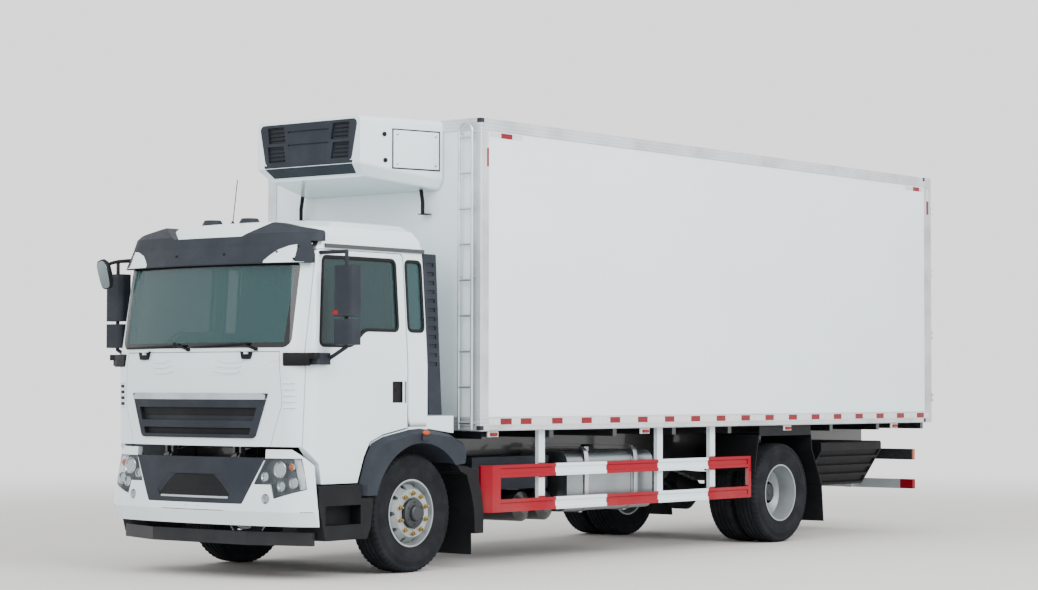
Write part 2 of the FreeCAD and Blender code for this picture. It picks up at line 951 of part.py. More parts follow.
def front_axle():
    """Dropped I-section beam with a boss for each kingpin and a pad for each spring."""
    low_z = axle_z - beam_drop
    half_height = beam_height / 2
    boss_inner_y = kingpin_y - kingpin_boss_radius
    top = [
        (-kingpin_y, axle_z + half_height),
        (-boss_inner_y, axle_z + half_height),
        (-beam_low_half_length, low_z + half_height),
        (beam_low_half_length, low_z + half_height),
        (boss_inner_y, axle_z + half_height),
        (kingpin_y, axle_z + half_height),
    ]
    bottom = [
        (kingpin_y, axle_z - half_height),
        (beam_rise_end_y, axle_z - half_height),
        (beam_low_half_length - beam_flange, low_z - half_height),
        (-beam_low_half_length + beam_flange, low_z - half_height),
        (-beam_rise_end_y, axle_z - half_height),
        (-kingpin_y, axle_z - half_height),
    ]
    half_width = beam_width / 2
    beam = slab_x(top + bottom, front_axle_x - half_width, front_axle_x + half_width)
    pocket_outline = [
        (-beam_low_half_length + beam_flange, low_z + half_height - beam_flange),
        (beam_low_half_length - beam_flange, low_z + half_height - beam_flange),
        (beam_low_half_length - beam_flange, low_z - half_height + beam_flange),
        (-beam_low_half_length + beam_flange, low_z - half_height + beam_flange),
    ]
    front_pocket = slab_x(pocket_outline, front_axle_x + beam_web / 2, front_axle_x + half_width + overrun)
    rear_pocket = slab_x(pocket_outline, front_axle_x - half_width - overrun, front_axle_x - beam_web / 2)
    beam = beam.cut([front_pocket, rear_pocket])
    pieces = [beam]
    bores = []
    for side in (1, -1):
        foot = Vector(front_axle_x, side * kingpin_y, axle_z - kingpin_boss_height / 2)
        head = Vector(front_axle_x, side * kingpin_y, axle_z + kingpin_boss_height / 2)
        pieces.append(rod(foot, head, kingpin_boss_radius))
        bores.append(rod(foot - Vector(0, 0, overrun), head + Vector(0, 0, overrun), kingpin_radius + pin_gap))
        pad_y = (side * spring_y - spring_width / 2, side * spring_y + spring_width / 2)
        pad_z = (low_z + half_height, low_z + half_height + spring_seat_height)
        pieces.append(block((front_axle_x - spring_width, front_axle_x + spring_width), pad_y, pad_z))
    save("front_axle_beam", [fused(pieces).cut(bores)])


def front_spring_low_z():
    """Underside of the front spring pack, on the axle's pad."""
    return axle_z - beam_drop + beam_height / 2 + spring_seat_height + seat_gap


def rear_spring_low_z():
    """Underside of the rear spring pack, on the seat above the axle tube."""
    return axle_z + rear_axle_tube_radius + spring_seat_height + seat_gap


def leaf(axle_x, low_z, half_length, rise, thickness):
    """One curved leaf: a band between two arcs, as wide as the spring."""
    y = spring_y - spring_width / 2
    lower = Part.Arc(Vector(axle_x - half_length, y, low_z + rise), Vector(axle_x, y, low_z),
                     Vector(axle_x + half_length, y, low_z + rise)).toShape()
    upper = Part.Arc(Vector(axle_x - half_length, y, low_z + rise + thickness),
                     Vector(axle_x, y, low_z + thickness),
                     Vector(axle_x + half_length, y, low_z + rise + thickness)).toShape()
    lower_ends = lower.Vertexes
    upper_ends = upper.Vertexes
    left = Part.makeLine(lower_ends[0].Point, upper_ends[0].Point)
    right = Part.makeLine(lower_ends[-1].Point, upper_ends[-1].Point)
    wire = Part.Wire(Part.__sortEdges__([lower, right, upper, left]))
    return Part.Face(wire).extrude(Vector(0, spring_width, 0))


def spring_pack(axle_x, low_z, half_length, rise, thickness, count):
    """Leaves that grow longer upwards, with an eye rolled at each end of the top one."""
    pieces = []
    for index in range(count):
        share = leaf_step_share ** (count - 1 - index)
        pieces.append(leaf(axle_x, low_z + index * thickness, half_length * share,
                           rise * share * share, thickness))
    eye_z = low_z + (count - 1) * thickness + rise + thickness / 2
    for side in (1, -1):
        eye_x = axle_x + side * half_length
        low = Vector(eye_x, spring_y - spring_width / 2, eye_z)
        pieces.append(rod(low, low + Vector(0, spring_width, 0), spring_eye_radius))
    return fused(pieces), eye_z


def hanger(eye_x, eye_z):
    """Two cheeks below the rail that hold a spring's eye between them."""
    outline = [
        (eye_x - hanger_half_length, rail_bottom_z),
        (eye_x + hanger_half_length, rail_bottom_z),
        (eye_x + spring_eye_radius, eye_z - spring_eye_radius),
        (eye_x - spring_eye_radius, eye_z - spring_eye_radius),
    ]
    half_slot = spring_width / 2 + seat_gap
    outer_cheek = slab_y(outline, spring_y + half_slot, spring_y + half_slot + hanger_cheek)
    inner_cheek = slab_y(outline, spring_y - half_slot - hanger_cheek, spring_y - half_slot)
    cap_z = eye_z + spring_eye_radius + seat_gap
    cap = block((eye_x - spring_eye_radius, eye_x + spring_eye_radius),
                (spring_y - half_slot, spring_y + half_slot), (cap_z, rail_bottom_z))
    return [outer_cheek, inner_cheek, cap]


def springs():
    """Four leaf springs and the list of their eyes."""
    front, front_eye_z = spring_pack(front_axle_x, front_spring_low_z(), front_spring_half_length,
                                     front_spring_rise, front_leaf_thickness, front_leaf_count)
    rear, rear_eye_z = spring_pack(rear_axle_x, rear_spring_low_z(), rear_spring_half_length,
                                   rear_spring_rise, rear_leaf_thickness, rear_leaf_count)
    save("leaf_springs", pair(front) + pair(rear))
    eyes = []
    for side in (1, -1):
        eyes.append((front_axle_x + side * front_spring_half_length, front_eye_z))
        eyes.append((rear_axle_x + side * rear_spring_half_length, rear_eye_z))
    return eyes


def rear_axle():
    """Banjo housing with its nose, a tube and a spindle to each side, and spring seats."""
    seat_top_z = axle_z + rear_axle_tube_radius + spring_seat_height
    tube_end_y = rear_inner_tyre_y - rim_width / 2 - wheel_disc_thickness - running_gap
    spindle_end_y = (rear_outer_tyre_y + rear_inner_tyre_y) / 2 + wheel_disc_thickness + rear_hub_length
    half_bowl = rear_axle_bowl_width / 2
    profile = [
        (-tube_end_y, 0),
        (-tube_end_y, rear_axle_tube_radius),
        (-half_bowl - rear_axle_tube_radius, rear_axle_tube_radius),
        (-half_bowl / 2, rear_axle_bowl_radius),
        (half_bowl / 2, rear_axle_bowl_radius),
        (half_bowl + rear_axle_tube_radius, rear_axle_tube_radius),
        (tube_end_y, rear_axle_tube_radius),
        (tube_end_y, 0),
    ]
    pieces = [turned_y(profile, rear_axle_x, axle_z)]
    nose_end = Vector(rear_axle_x + rear_axle_nose_length, 0, axle_z)
    pieces.append(rod(Vector(rear_axle_x, 0, axle_z), nose_end, rear_axle_nose_radius))
    for side in (1, -1):
        start = Vector(rear_axle_x, side * (tube_end_y - overrun), axle_z)
        end = Vector(rear_axle_x, side * (spindle_end_y - running_gap), axle_z)
        pieces.append(rod(start, end, spindle_radius))
        seat_y = (side * spring_y - spring_width / 2, side * spring_y + spring_width / 2)
        pieces.append(block((rear_axle_x - spring_width, rear_axle_x + spring_width), seat_y,
                            (axle_z, seat_top_z)))
    save("rear_axle_housing", [fused(pieces)])
    shaft_start = Vector(station(engine_front_ahead) - engine_length - propshaft_joint_gap * seat_gap, 0,
                         propshaft_front_z)
    shaft_end = nose_end + Vector(seat_gap, 0, 0)
    shaft = rod(shaft_start, shaft_end, propshaft_radius)
    shaft = shaft.cut(block((rear_axle_x, shaft_end.x), (-overall_height, overall_height),
                            (0, overall_height)))
    engine_rear_x = station(engine_front_ahead) - engine_length - seat_gap
    shaft = shaft.cut(block((engine_rear_x, engine_rear_x + engine_length), (-overall_height, overall_height),
                            (0, overall_height)))
    save("propeller_shaft", [shaft])


def knuckle():
    """Left knuckle: yoke round the beam's boss, kingpin, stub axle and steering arm."""
    boss_low_z = axle_z - kingpin_boss_height / 2 - seat_gap
    boss_high_z = axle_z + kingpin_boss_height / 2 + seat_gap
    low_z = boss_low_z - knuckle_lug_height
    high_z = boss_high_z + knuckle_lug_height
    plate_inner_y = kingpin_y + kingpin_boss_radius + running_gap
    plate_outer_y = drum_inner_y - running_gap
    pieces = []
    for z_low, z_high in ((low_z, boss_low_z), (boss_high_z, high_z)):
        centre = Vector(front_axle_x, kingpin_y, z_low)
        pieces.append(Part.makeCylinder(kingpin_boss_radius, z_high - z_low, centre))
        pieces.append(block((front_axle_x - kingpin_boss_radius, front_axle_x + kingpin_boss_radius),
                            (kingpin_y, plate_outer_y), (z_low, z_high)))
    pieces.append(block((front_axle_x - knuckle_plate_half_width, front_axle_x + knuckle_plate_half_width),
                        (plate_inner_y, plate_outer_y), (low_z, high_z)))
    pin_foot = Vector(front_axle_x, kingpin_y, low_z)
    pieces.append(Part.makeCylinder(kingpin_radius, high_z - low_z, pin_foot))
    stub_start = Vector(front_axle_x, plate_inner_y, axle_z)
    stub_end = Vector(front_axle_x, drum_inner_y + stub_length - running_gap, axle_z)
    pieces.append(rod(stub_start, stub_end, stub_radius))
    eye_x = front_axle_x - steering_arm_back
    eye_y = kingpin_y
    half_arm = steering_arm_width / 2
    arm = slab_z([(front_axle_x, kingpin_y - half_arm), (front_axle_x, kingpin_y + half_arm),
                  (eye_x, eye_y + half_arm), (eye_x, eye_y - half_arm)], low_z, boss_low_z)
    pieces.append(arm)
    pieces.append(Part.makeCylinder(track_rod_eye_radius, boss_low_z - low_z, Vector(eye_x, eye_y, low_z)))
    pin_low_z = low_z - track_rod_eye_height - running_gap
    pieces.append(Part.makeCylinder(track_rod_pin_radius, low_z - pin_low_z, Vector(eye_x, eye_y, pin_low_z)))
    return fused(pieces)


def track_rod():
    """Tube between the two steering arms, with an eye on each arm's pin."""
    low_z = axle_z - kingpin_boss_height / 2 - seat_gap - knuckle_lug_height
    eye_high_z = low_z - seat_gap
    eye_low_z = eye_high_z - track_rod_eye_height
    eye_x = front_axle_x - steering_arm_back
    eye_y = kingpin_y
    middle_z = (eye_low_z + eye_high_z) / 2
    pieces = [rod(Vector(eye_x, -eye_y, middle_z), Vector(eye_x, eye_y, middle_z), track_rod_radius - seat_gap)]
    bores = []
    for side, gap in ((1, pin_gap), (-1, track_rod_open_gap)):
        foot = Vector(eye_x, side * eye_y, eye_low_z)
        pieces.append(Part.makeCylinder(track_rod_eye_radius, track_rod_eye_height, foot))
        bores.append(Part.makeCylinder(track_rod_pin_radius + gap, track_rod_eye_height + overrun,
                                       foot - Vector(0, 0, overrun / 2)))
    return fused(pieces).cut(bores)


def steering():
    """Knuckles and track rod."""
    left = knuckle()
    save("knuckle_left", [left])
    save("knuckle_right", [mirrored(left)])
    save("track_rod", [track_rod()])


# Ladder frame and what hangs on it

def chassis_frame(eyes):
    """Two channel rails with cross members and spring hangers."""
    front_x = station(rail_front_ahead)
    rear_x = station(-rail_rear_behind)
    end_low_z = rail_top_z - rail_end_height
    outline = [
        (front_x, rail_bottom_z),
        (front_x, rail_top_z),
        (rear_x, rail_top_z),
        (rear_x, end_low_z),
        (rear_x + rail_end_slope, rail_bottom_z),
    ]
    hollow_outline = [
        (front_x + overrun, rail_bottom_z + rail_thickness),
        (front_x + overrun, rail_top_z - rail_thickness),
        (rear_x - overrun, rail_top_z - rail_thickness),
        (rear_x - overrun, end_low_z + rail_thickness),
        (rear_x + rail_end_slope, rail_bottom_z + rail_thickness),
    ]
    rail_inner_y = rail_outer_y - rail_flange
    web_y = rail_outer_y - rail_thickness
    rail = slab_y(outline, rail_inner_y, rail_outer_y)
    rail = rail.cut(slab_y(hollow_outline, rail_inner_y - overrun, web_y))
    left_pieces = [rail]
    for eye_x, eye_z in eyes:
        left_pieces.extend(hanger(eye_x, eye_z))
    left = fused(left_pieces)
    high_z = rail_top_z - cross_member_drop
    low_z = high_z - cross_member_height
    pieces = pair(left)
    for ahead in cross_member_stations:
        x = station(ahead)
        web = block((x - rail_thickness, x), (-web_y, web_y), (low_z, high_z))
        for z in (low_z, high_z - rail_thickness):
            web = web.fuse(block((x - cross_member_flange, x), (-web_y, web_y), (z, z + rail_thickness)))
        pieces.append(web)
    pieces.extend(tilt_brackets())
    pieces.extend(cab_rests())
    save("chassis_frame", [fused(pieces)])


def tilt_point(y):
    """Place on the cab's tilt axis."""
    return Vector(station(tilt_ahead), y, tilt_z)


def tilt_brackets():
    """Brackets ahead of the rails that carry the cab's tilt pins."""
    outer_y = rail_outer_y - rail_thickness
    inner_y_ = outer_y - tilt_bracket_thickness
    rail_end_x = station(rail_front_ahead)
    plate = slab_y([
        (rail_end_x - tilt_bracket_overlap, bumper_arm_high_z + overrun),
        (rail_end_x, bumper_arm_high_z + overrun),
        (station(tilt_ahead) + tilt_boss_radius, tilt_z - tilt_boss_radius, tilt_boss_radius / 2),
        (station(tilt_ahead) + tilt_boss_radius, tilt_z + tilt_boss_radius, tilt_boss_radius / 2),
        (station(tilt_ahead) - tilt_boss_radius, tilt_z + tilt_boss_radius, tilt_boss_radius / 2),
        (rail_end_x, rail_top_z - rail_thickness),
        (rail_end_x - tilt_bracket_overlap, rail_top_z - rail_thickness),
    ], inner_y_, outer_y)
    pin_reach = tilt_cheek_thickness + running_gap
    pin = rod(tilt_point(inner_y_ - pin_reach), tilt_point(outer_y + pin_reach), tilt_pin_radius)
    return pair(fused([plate, pin]))


def tilt_forks():
    """Forks under the cab floor that turn on the tilt pins."""
    outer_y = rail_outer_y - rail_thickness
    inner_y_ = outer_y - tilt_bracket_thickness
    x = station(tilt_ahead)
    radius = tilt_boss_radius - running_gap
    cheeks = []
    for low in (outer_y + running_gap, inner_y_ - running_gap - tilt_cheek_thickness):
        high = low + tilt_cheek_thickness
        cheek = rod(tilt_point(low), tilt_point(high), radius)
        cheek = cheek.fuse(block((x - radius, x + tilt_neck_front), (low, high), (tilt_z, cab_floor_z + overrun)))
        cheeks.append(cheek.cut(rod(tilt_point(low - overrun), tilt_point(high + overrun),
                                    tilt_pin_radius + pin_gap)))
    return cheeks + [mirrored(cheek) for cheek in cheeks]


def cab_rests():
    """Two blocks on the rails beside the engine on which the lowered cab stands."""
    x = station(cab_rest_ahead)
    outer_y = rail_outer_y - rail_thickness
    return [block((x, x + cab_rest_width), (side * outer_y, side * (outer_y - cab_rest_width)),
                  (rail_top_z - rail_thickness, cab_floor_z - seat_gap)) for side in (1, -1)]


def engine():
    """Engine and gearbox as one plain block on four mounting lugs."""
    front_x = station(engine_front_ahead)
    rear_x = front_x - engine_length
    half_width = engine_width / 2
    pieces = [block((rear_x, front_x), (-half_width, half_width), (engine_bottom_z, engine_top_z))]
    lug_low_z = rail_bottom_z + rail_thickness + seat_gap
    lug_end_y = rail_outer_y - rail_thickness - seat_gap
    for x in (front_x - engine_lug_length, rear_x + engine_lug_length):
        pieces.append(block((x - engine_lug_length / 2, x + engine_lug_length / 2), (-lug_end_y, lug_end_y),
                            (lug_low_z, lug_low_z + engine_lug_height)))
    save("engine_block", [fused(pieces)])


def fuel_tank():
    """Rounded aluminium tank with two straps, a filler cap and brackets to the rail."""
    front_x = station(tank_front_ahead)
    rear_x = station(tank_rear_ahead)
    outline = [
        (tank_inner_y, tank_bottom_z, tank_corner_radius),
        (tank_outer_y, tank_bottom_z, tank_corner_radius),
        (tank_outer_y, tank_top_z, tank_corner_radius),
        (tank_inner_y, tank_top_z, tank_corner_radius),
    ]
    grow = tank_strap_thickness
    strap_radius = tank_corner_radius + grow
    strap_outline = [
        (tank_inner_y - grow, tank_bottom_z - grow, strap_radius),
        (tank_outer_y + grow, tank_bottom_z - grow, strap_radius),
        (tank_outer_y + grow, tank_top_z + grow, strap_radius),
        (tank_inner_y - grow, tank_top_z + grow, strap_radius),
    ]
    pieces = [slab_x(outline, rear_x, front_x)]
    for x in (front_x - tank_strap_inset, rear_x + tank_strap_inset):
        pieces.append(slab_x(strap_outline, x - tank_strap_width / 2, x + tank_strap_width / 2))
        foot_y = rail_outer_y + seat_gap
        pieces.append(block((x - tank_strap_width / 2, x + tank_strap_width / 2),
                            (foot_y, tank_inner_y), (rail_bottom_z, tank_top_z - tank_corner_radius)))
        bracket = [(foot_y, tank_bottom_z - grow - bracket_thickness),
                   (tank_outer_y - tank_corner_radius, tank_bottom_z - grow - bracket_thickness),
                   (tank_outer_y - tank_corner_radius, tank_bottom_z + seat_gap),
                   (tank_inner_y + tank_corner_radius, tank_bottom_z + seat_gap),
                   (tank_inner_y, tank_bottom_z + tank_corner_radius),
                   (tank_inner_y, rail_bottom_z + tank_strap_width),
                   (foot_y, rail_bottom_z + tank_strap_width)]
        pieces.append(slab_x(bracket, x - tank_strap_width / 2, x + tank_strap_width / 2))
    cap_foot = Vector(station(tank_cap_ahead), tank_cap_y, tank_top_z - tank_strap_thickness)
    pieces.append(Part.makeCylinder(tank_cap_radius, tank_cap_height, cap_foot))
    save("fuel_tank", [fused(pieces)])


def air_tanks():
    """Two crosswise air tanks with domed ends, hung from the rail."""
    shapes = []
    inner_y = air_tank_end_y - air_tank_length
    for ahead in air_tank_stations:
        x = station(ahead)
        profile = [
            (inner_y, 0),
            (inner_y, air_tank_radius / 2),
            (inner_y + air_tank_dome, air_tank_radius),
            (air_tank_end_y - air_tank_dome, air_tank_radius),
            (air_tank_end_y, air_tank_radius / 2),
            (air_tank_end_y, 0),
        ]
        shell = turned_y(profile, x, air_tank_z)
        strap = block((x - tank_strap_width / 2, x + tank_strap_width / 2),
                      (rail_outer_y - rail_flange / 2, rail_outer_y), (air_tank_z, rail_bottom_z - seat_gap))
        shapes.append(fused([shell, strap]))
    save("air_tanks", shapes)


def battery_box():
    """Ribbed battery and tool box on the left rail, under an overlapping lid."""
    front_x = station(battery_front_ahead)
    rear_x = station(battery_rear_ahead)
    lid_z = battery_top_z - battery_lid_height
    inner_y = rail_outer_y + seat_gap
    body = block((rear_x, front_x), (inner_y, battery_outer_y), (battery_bottom_z, lid_z))
    proud = battery_lid_proud
    lid = block((rear_x - proud, front_x + proud), (inner_y, battery_outer_y + proud), (lid_z, battery_top_z))
    save("battery_box", [fused([body, lid])])


def silencer():
    """Upright oval silencer drum on the right rail with its outlet pipe."""
    front_x = station(silencer_front_ahead)
    rear_x = station(silencer_rear_ahead)
    body = rod(Vector(rear_x, silencer_y, silencer_z), Vector(front_x, silencer_y, silencer_z), silencer_radius)
    pipe = rod(Vector(rear_x - exhaust_pipe_length, silencer_y, silencer_z), Vector(rear_x, silencer_y, silencer_z),
               exhaust_pipe_radius)
    middle_x = (front_x + rear_x) / 2
    arm = block((middle_x - tank_strap_width, middle_x + tank_strap_width),
                (silencer_y + silencer_radius / 2, -rail_outer_y - seat_gap), (rail_bottom_z, rail_top_z - rail_flange))
    save("exhaust_silencer", [fused([body, pipe, arm])])


def guard_rail(top_z):
    """Ribbed side-guard rail: a channel with a groove along its face."""
    low_z = top_z - guard_rail_height
    depth = guard_rail_depth
    third = guard_rail_height / 3
    inner_y = guard_outer_y - depth
    outline = [
        (inner_y, low_z),
        (guard_outer_y, low_z),
        (guard_outer_y, low_z + third - guard_groove),
        (guard_outer_y - guard_groove, low_z + third),
        (guard_outer_y - guard_groove, top_z - third),
        (guard_outer_y, top_z - third + guard_groove),
        (guard_outer_y, top_z),
        (inner_y, top_z),
    ]
    return slab_x(outline, station(guard_rear_ahead), station(guard_front_ahead))


def side_guards():
    """Two-rail side guard with posts up to the floor bearers and a bevelled front end."""
    inner_y = guard_outer_y - guard_rail_depth
    low_z = guard_low_top_z - guard_rail_height
    front_x = station(guard_front_ahead)
    rear_x = station(guard_rear_ahead)
    pieces = [guard_rail(guard_top_z), guard_rail(guard_low_top_z)]
    nose = slab_z([
        (front_x, inner_y),
        (front_x, guard_outer_y),
        (front_x + guard_nose_length / 2, guard_outer_y),
        (front_x + guard_nose_length, guard_outer_y - guard_nose_inset),
        (front_x + guard_nose_length, guard_outer_y - guard_nose_inset - guard_nose_thickness),
        (front_x + guard_nose_length / 2 - guard_groove, inner_y),
    ], low_z, guard_top_z)
    pieces.append(nose)
    pieces.append(block((front_x - guard_end_width, front_x), (inner_y, guard_outer_y), (low_z, guard_top_z)))
    pieces.append(block((rear_x, rear_x + guard_end_width), (inner_y, guard_outer_y), (low_z, guard_top_z)))
    for ahead in guard_post_stations:
        x = station(ahead)
        pieces.append(block((x - guard_post_width / 2, x + guard_post_width / 2),
                            (inner_y - guard_post_depth, inner_y), (low_z, box_bottom_z - seat_gap)))
    save("side_guards", pair(fused(pieces)))


def rear_guard_side():
    """Inner face of the rear mudguard seen from the side, from its front foot to its rear foot."""
    places = [
        (rear_guard_foot_ahead, rear_guard_foot_z),
        (rear_guard_knee_ahead, rear_guard_knee_z),
        (rear_guard_top_ahead, rear_guard_top_z),
        (-rear_guard_top_behind, rear_guard_top_z),
        (-rear_guard_knee_behind, rear_guard_knee_low_z),
        (-rear_guard_bend_behind, rear_guard_bend_z),
        (-rear_guard_foot_behind, rear_guard_heel_z),
    ]
    return [(rear_axle_x + ahead, z) for ahead, z in places]


def mudguards():
    """Rear mudguards with flaps, and the guards with flaps behind the front wheels."""
    skin = rear_guard_thickness
    inner = rear_guard_side()
    shifts = [(skin, 0), (skin, 0), (skin, skin), (-skin, skin), (-skin, 0), (-skin, 0), (-skin, 0)]
    outer = [(x + shift[0], z + shift[1]) for (x, z), shift in zip(inner, shifts)]
    guard = slab_y(inner + outer[::-1], rear_guard_inner_y, rear_guard_outer_y)
    front_x = rear_axle_x + rear_guard_top_ahead
    rear_x = rear_axle_x - rear_guard_top_behind
    plate_top_z = box_bottom_z - cross_bearer_height - seat_gap * 2
    hanger_plate = block((rear_x, front_x), (rear_guard_inner_y, rear_guard_inner_y + skin),
                         (rear_guard_top_z, plate_top_z))
    panel = block((rear_x, front_x), (rear_guard_outer_y - rear_guard_panel_thickness, rear_guard_outer_y),
                  (rear_guard_top_z, rear_guard_panel_top_z))
    heel_x, heel_z = inner[-1]
    foot_x = rear_axle_x - rear_guard_flap_behind
    flap = slab_y([
        (heel_x - skin + flap_thickness, heel_z + flap_lap),
        (heel_x - skin, heel_z + flap_lap),
        (foot_x, flap_bottom_z),
        (foot_x + flap_thickness, flap_bottom_z),
    ], rear_guard_outer_y - flap_width, rear_guard_outer_y)
    rear = fused([guard, hanger_plate, panel, flap])
    save("mudguards", pair(rear) + pair(front_rear_guard()))


def front_rear_guard():
    """Left guard behind the front wheel: a hollow moulding with its liner, a stay and a rubber flap."""
    places = [
        (rear_arch_tip_ahead, rear_arch_tip_z),
        (rear_arch_top_ahead, rear_arch_top_z),
        (rear_arch_bend_ahead, rear_arch_bend_z),
        (rear_arch_outer_ahead, rear_arch_outer_z),
        (rear_arch_heel_ahead, rear_arch_heel_z),
        (rear_arch_foot_ahead, rear_arch_low_z),
        (rear_arch_inner_foot_ahead, rear_arch_low_z),
        (rear_arch_inner_heel_ahead, rear_arch_inner_heel_z),
        (rear_arch_inner_bend_ahead, rear_arch_inner_bend_z),
        (rear_arch_inner_top_ahead, rear_arch_inner_top_z),
        (rear_arch_throat_ahead, rear_arch_throat_z),
    ]
    outline = [(station(ahead), z) for ahead, z in places]
    inner_face_y = rear_arch_outer_y - rear_arch_depth
    moulding = slab_y(outline, inner_face_y, rear_arch_outer_y)
    wire = rounded_wire([(Vector(x, inner_face_y, z), 0) for x, z in outline])
    core = Part.Face(wire).makeOffset2D(-rear_arch_skin)
    core = core.extrude(Vector(0, rear_arch_depth - rear_arch_skin, 0))
    moulding = moulding.cut(core)
    liner = [(x, z) for x, z in outline[6:]]
    back = [(x - rear_arch_skin, z) for x, z in reversed(liner)]
    sheet = slab_y(liner + back, rear_arch_inner_y, inner_face_y + rear_arch_skin)
    flap_x = station(front_flap_ahead)
    flap = block((flap_x - flap_thickness, flap_x), (front_flap_inner_y, front_flap_outer_y),
                 (front_flap_bottom_z, rear_arch_inner_heel_z))
    stay_z = rear_arch_inner_top_z - bracket_thickness * 3
    stay = block((flap_x - rear_arch_skin, flap_x + rear_arch_skin * 4),
                 (rail_outer_y + hanger_cheek + 2 * seat_gap, inner_face_y),
                 (stay_z - bracket_thickness * 3, stay_z))
    stay_web = block((station(rear_arch_inner_bend_ahead) - rear_arch_skin * 4, station(rear_arch_inner_bend_ahead)),
                     (rear_arch_inner_y, rear_arch_inner_y + rear_arch_skin), (stay_z - rear_arch_depth, stay_z))
    return fused([moulding, sheet, flap, stay, stay_web])


def rear_underrun():
    """Aluminium underrun bar on two drop arms, and the lamp bars above it."""
    rear_x = station(-underrun_rear_behind)
    bar = block((rear_x, rear_x + underrun_depth), (-underrun_half_width, underrun_half_width),
                (underrun_low_z, underrun_high_z))
    pieces = [bar]
    for side in (1, -1):
        y_range = (side * rail_outer_y, side * (rail_outer_y - underrun_arm_width))
        pieces.append(block((rear_x + underrun_depth, rear_x + 2 * underrun_depth), y_range,
                            (underrun_low_z, rail_bottom_z - seat_gap)))
    rear_bar = fused(pieces)
    lamp_x = station(-lamp_bar_rear_behind)
    body = block((lamp_x, lamp_x + lamp_bar_depth), (lamp_bar_inner_y, lamp_bar_outer_y),
                 (lamp_bar_low_z, lamp_bar_high_z))
    stay_y = (rail_outer_y + seat_gap, rail_outer_y + underrun_arm_width)
    stay = block((lamp_x + lamp_bar_depth, rear_x + 2 * underrun_depth + underrun_arm_width), stay_y,
                 (lamp_bar_low_z, lamp_bar_high_z))
    save("tail_lamps", pair(fused([body, stay])))
    return rear_bar


def front_underrun():
    """Bent front underrun beam below the bumper, on two arms from the rails."""
    front_x = station(front_beam_front_ahead)
    half = front_beam_half_width
    sweep = front_beam_back_sweep
    depth = front_beam_depth
    outline = [
        (front_x, -half / 2),
        (front_x, half / 2),
        (front_x - sweep, half),
        (front_x - sweep - depth / 2, half),
        (front_x - depth, half / 2),
        (front_x - depth, -half / 2),
        (front_x - sweep - depth / 2, -half),
        (front_x - sweep, -half),
    ]
    pieces = [slab_z(outline, front_beam_low_z, front_beam_high_z)]
    arm_rear_x = station(rail_front_ahead) - depth
    for side in (1, -1):
        y_range = (side * (rail_outer_y - rail_thickness), side * (rail_outer_y - rail_flange))
        pieces.append(block((arm_rear_x, front_x - depth), y_range, (front_beam_low_z, front_beam_high_z)))
        pieces.append(block((arm_rear_x, arm_rear_x + depth), y_range,
                            (front_beam_low_z, rail_bottom_z - seat_gap)))
    return fused(pieces)


# Insulated box

def box_floor():
    """Floor panel with T-ribs for air, on two long bearers and cross bearers."""
    gap = panel_gap
    y = wall_y - side_wall_thickness - gap
    front_x = box_front_x - extrusion_thickness - front_wall_thickness - gap
    rear_x = box_rear_x + rear_post_width + gap
    rib_low_z = floor_top_z
    tongue_y = half_box - top_rail_height - seat_gap
    ledge_z = box_bottom_z + extrusion_thickness + seat_gap
    pieces = [block((rear_x, front_x), (-y, y), (ledge_z, rib_low_z)),
              block((rear_x, front_x - top_rail_height), (-tongue_y, tongue_y), (box_bottom_z, rib_low_z))]
    pitch = 2 * y / (floor_rib_count + 1)
    for index in range(floor_rib_count):
        rib_y = -y + (index + 1) * pitch
        pieces.append(block((rear_x, front_x), (rib_y - floor_rib_width / 2, rib_y + floor_rib_width / 2),
                            (rib_low_z, rib_low_z + floor_rib_height)))
    save("box_floor", [fused(pieces)])
    bearers = []
    high_z = box_bottom_z - seat_gap
    bearer_top_z = rail_top_z + bearer_height - seat_gap
    long_front_x = box_front_x - front_wall_thickness
    long_rear_x = station(-rail_rear_behind)
    inner = rail_outer_y - bearer_width
    for side in (1, -1):
        bearers.append(block((long_rear_x, long_front_x), (side * inner, side * rail_outer_y),
                             (rail_top_z + seat_gap, bearer_top_z)))
    step = (long_front_x - long_rear_x - cross_bearer_width) / (cross_bearer_count - 1)
    for index in range(cross_bearer_count):
        x = long_rear_x + index * step
        bearers.append(block((x, x + cross_bearer_width), (-wall_y + bearer_width, wall_y - bearer_width),
                             (high_z - cross_bearer_height, high_z)))
    save("box_subframe", [fused(bearers)])


def box_walls():
    """Front wall, two side walls and roof: sandwich panels that meet under the edge extrusions."""
    gap = panel_gap
    cover = extrusion_thickness
    front_x = box_front_x - cover
    rear_x = box_rear_x + rear_post_width + gap
    low_z = box_bottom_z + cover
    high_z = overall_height - cover
    ceiling_z = high_z - roof_thickness
    side_front_x = front_x - front_wall_thickness - gap
    side = block((rear_x, side_front_x), (inner_y, wall_y), (low_z, ceiling_z - gap))
    roof = block((rear_x, front_x), (-wall_y, wall_y), (ceiling_z, high_z))
    front = block((front_x - front_wall_thickness, front_x), (-wall_y, wall_y), (low_z, ceiling_z - gap))
    save("box_walls", pair(side) + [roof, front])


def angle_extrusion(outer_a, outer_b, leg_a, leg_b):
    """Outline of an edge extrusion: two thin legs that wrap a corner, rounded on the outside."""
    t = extrusion_thickness
    sign_a = math.copysign(1, leg_a)
    sign_b = math.copysign(1, leg_b)
    return [
        (outer_a, outer_b, extrusion_radius),
        (outer_a, outer_b + leg_b),
        (outer_a + sign_a * t, outer_b + leg_b),
        (outer_a + sign_a * t, outer_b + sign_b * t),
        (outer_a + leg_a, outer_b + sign_b * t),
        (outer_a + leg_a, outer_b),
    ]


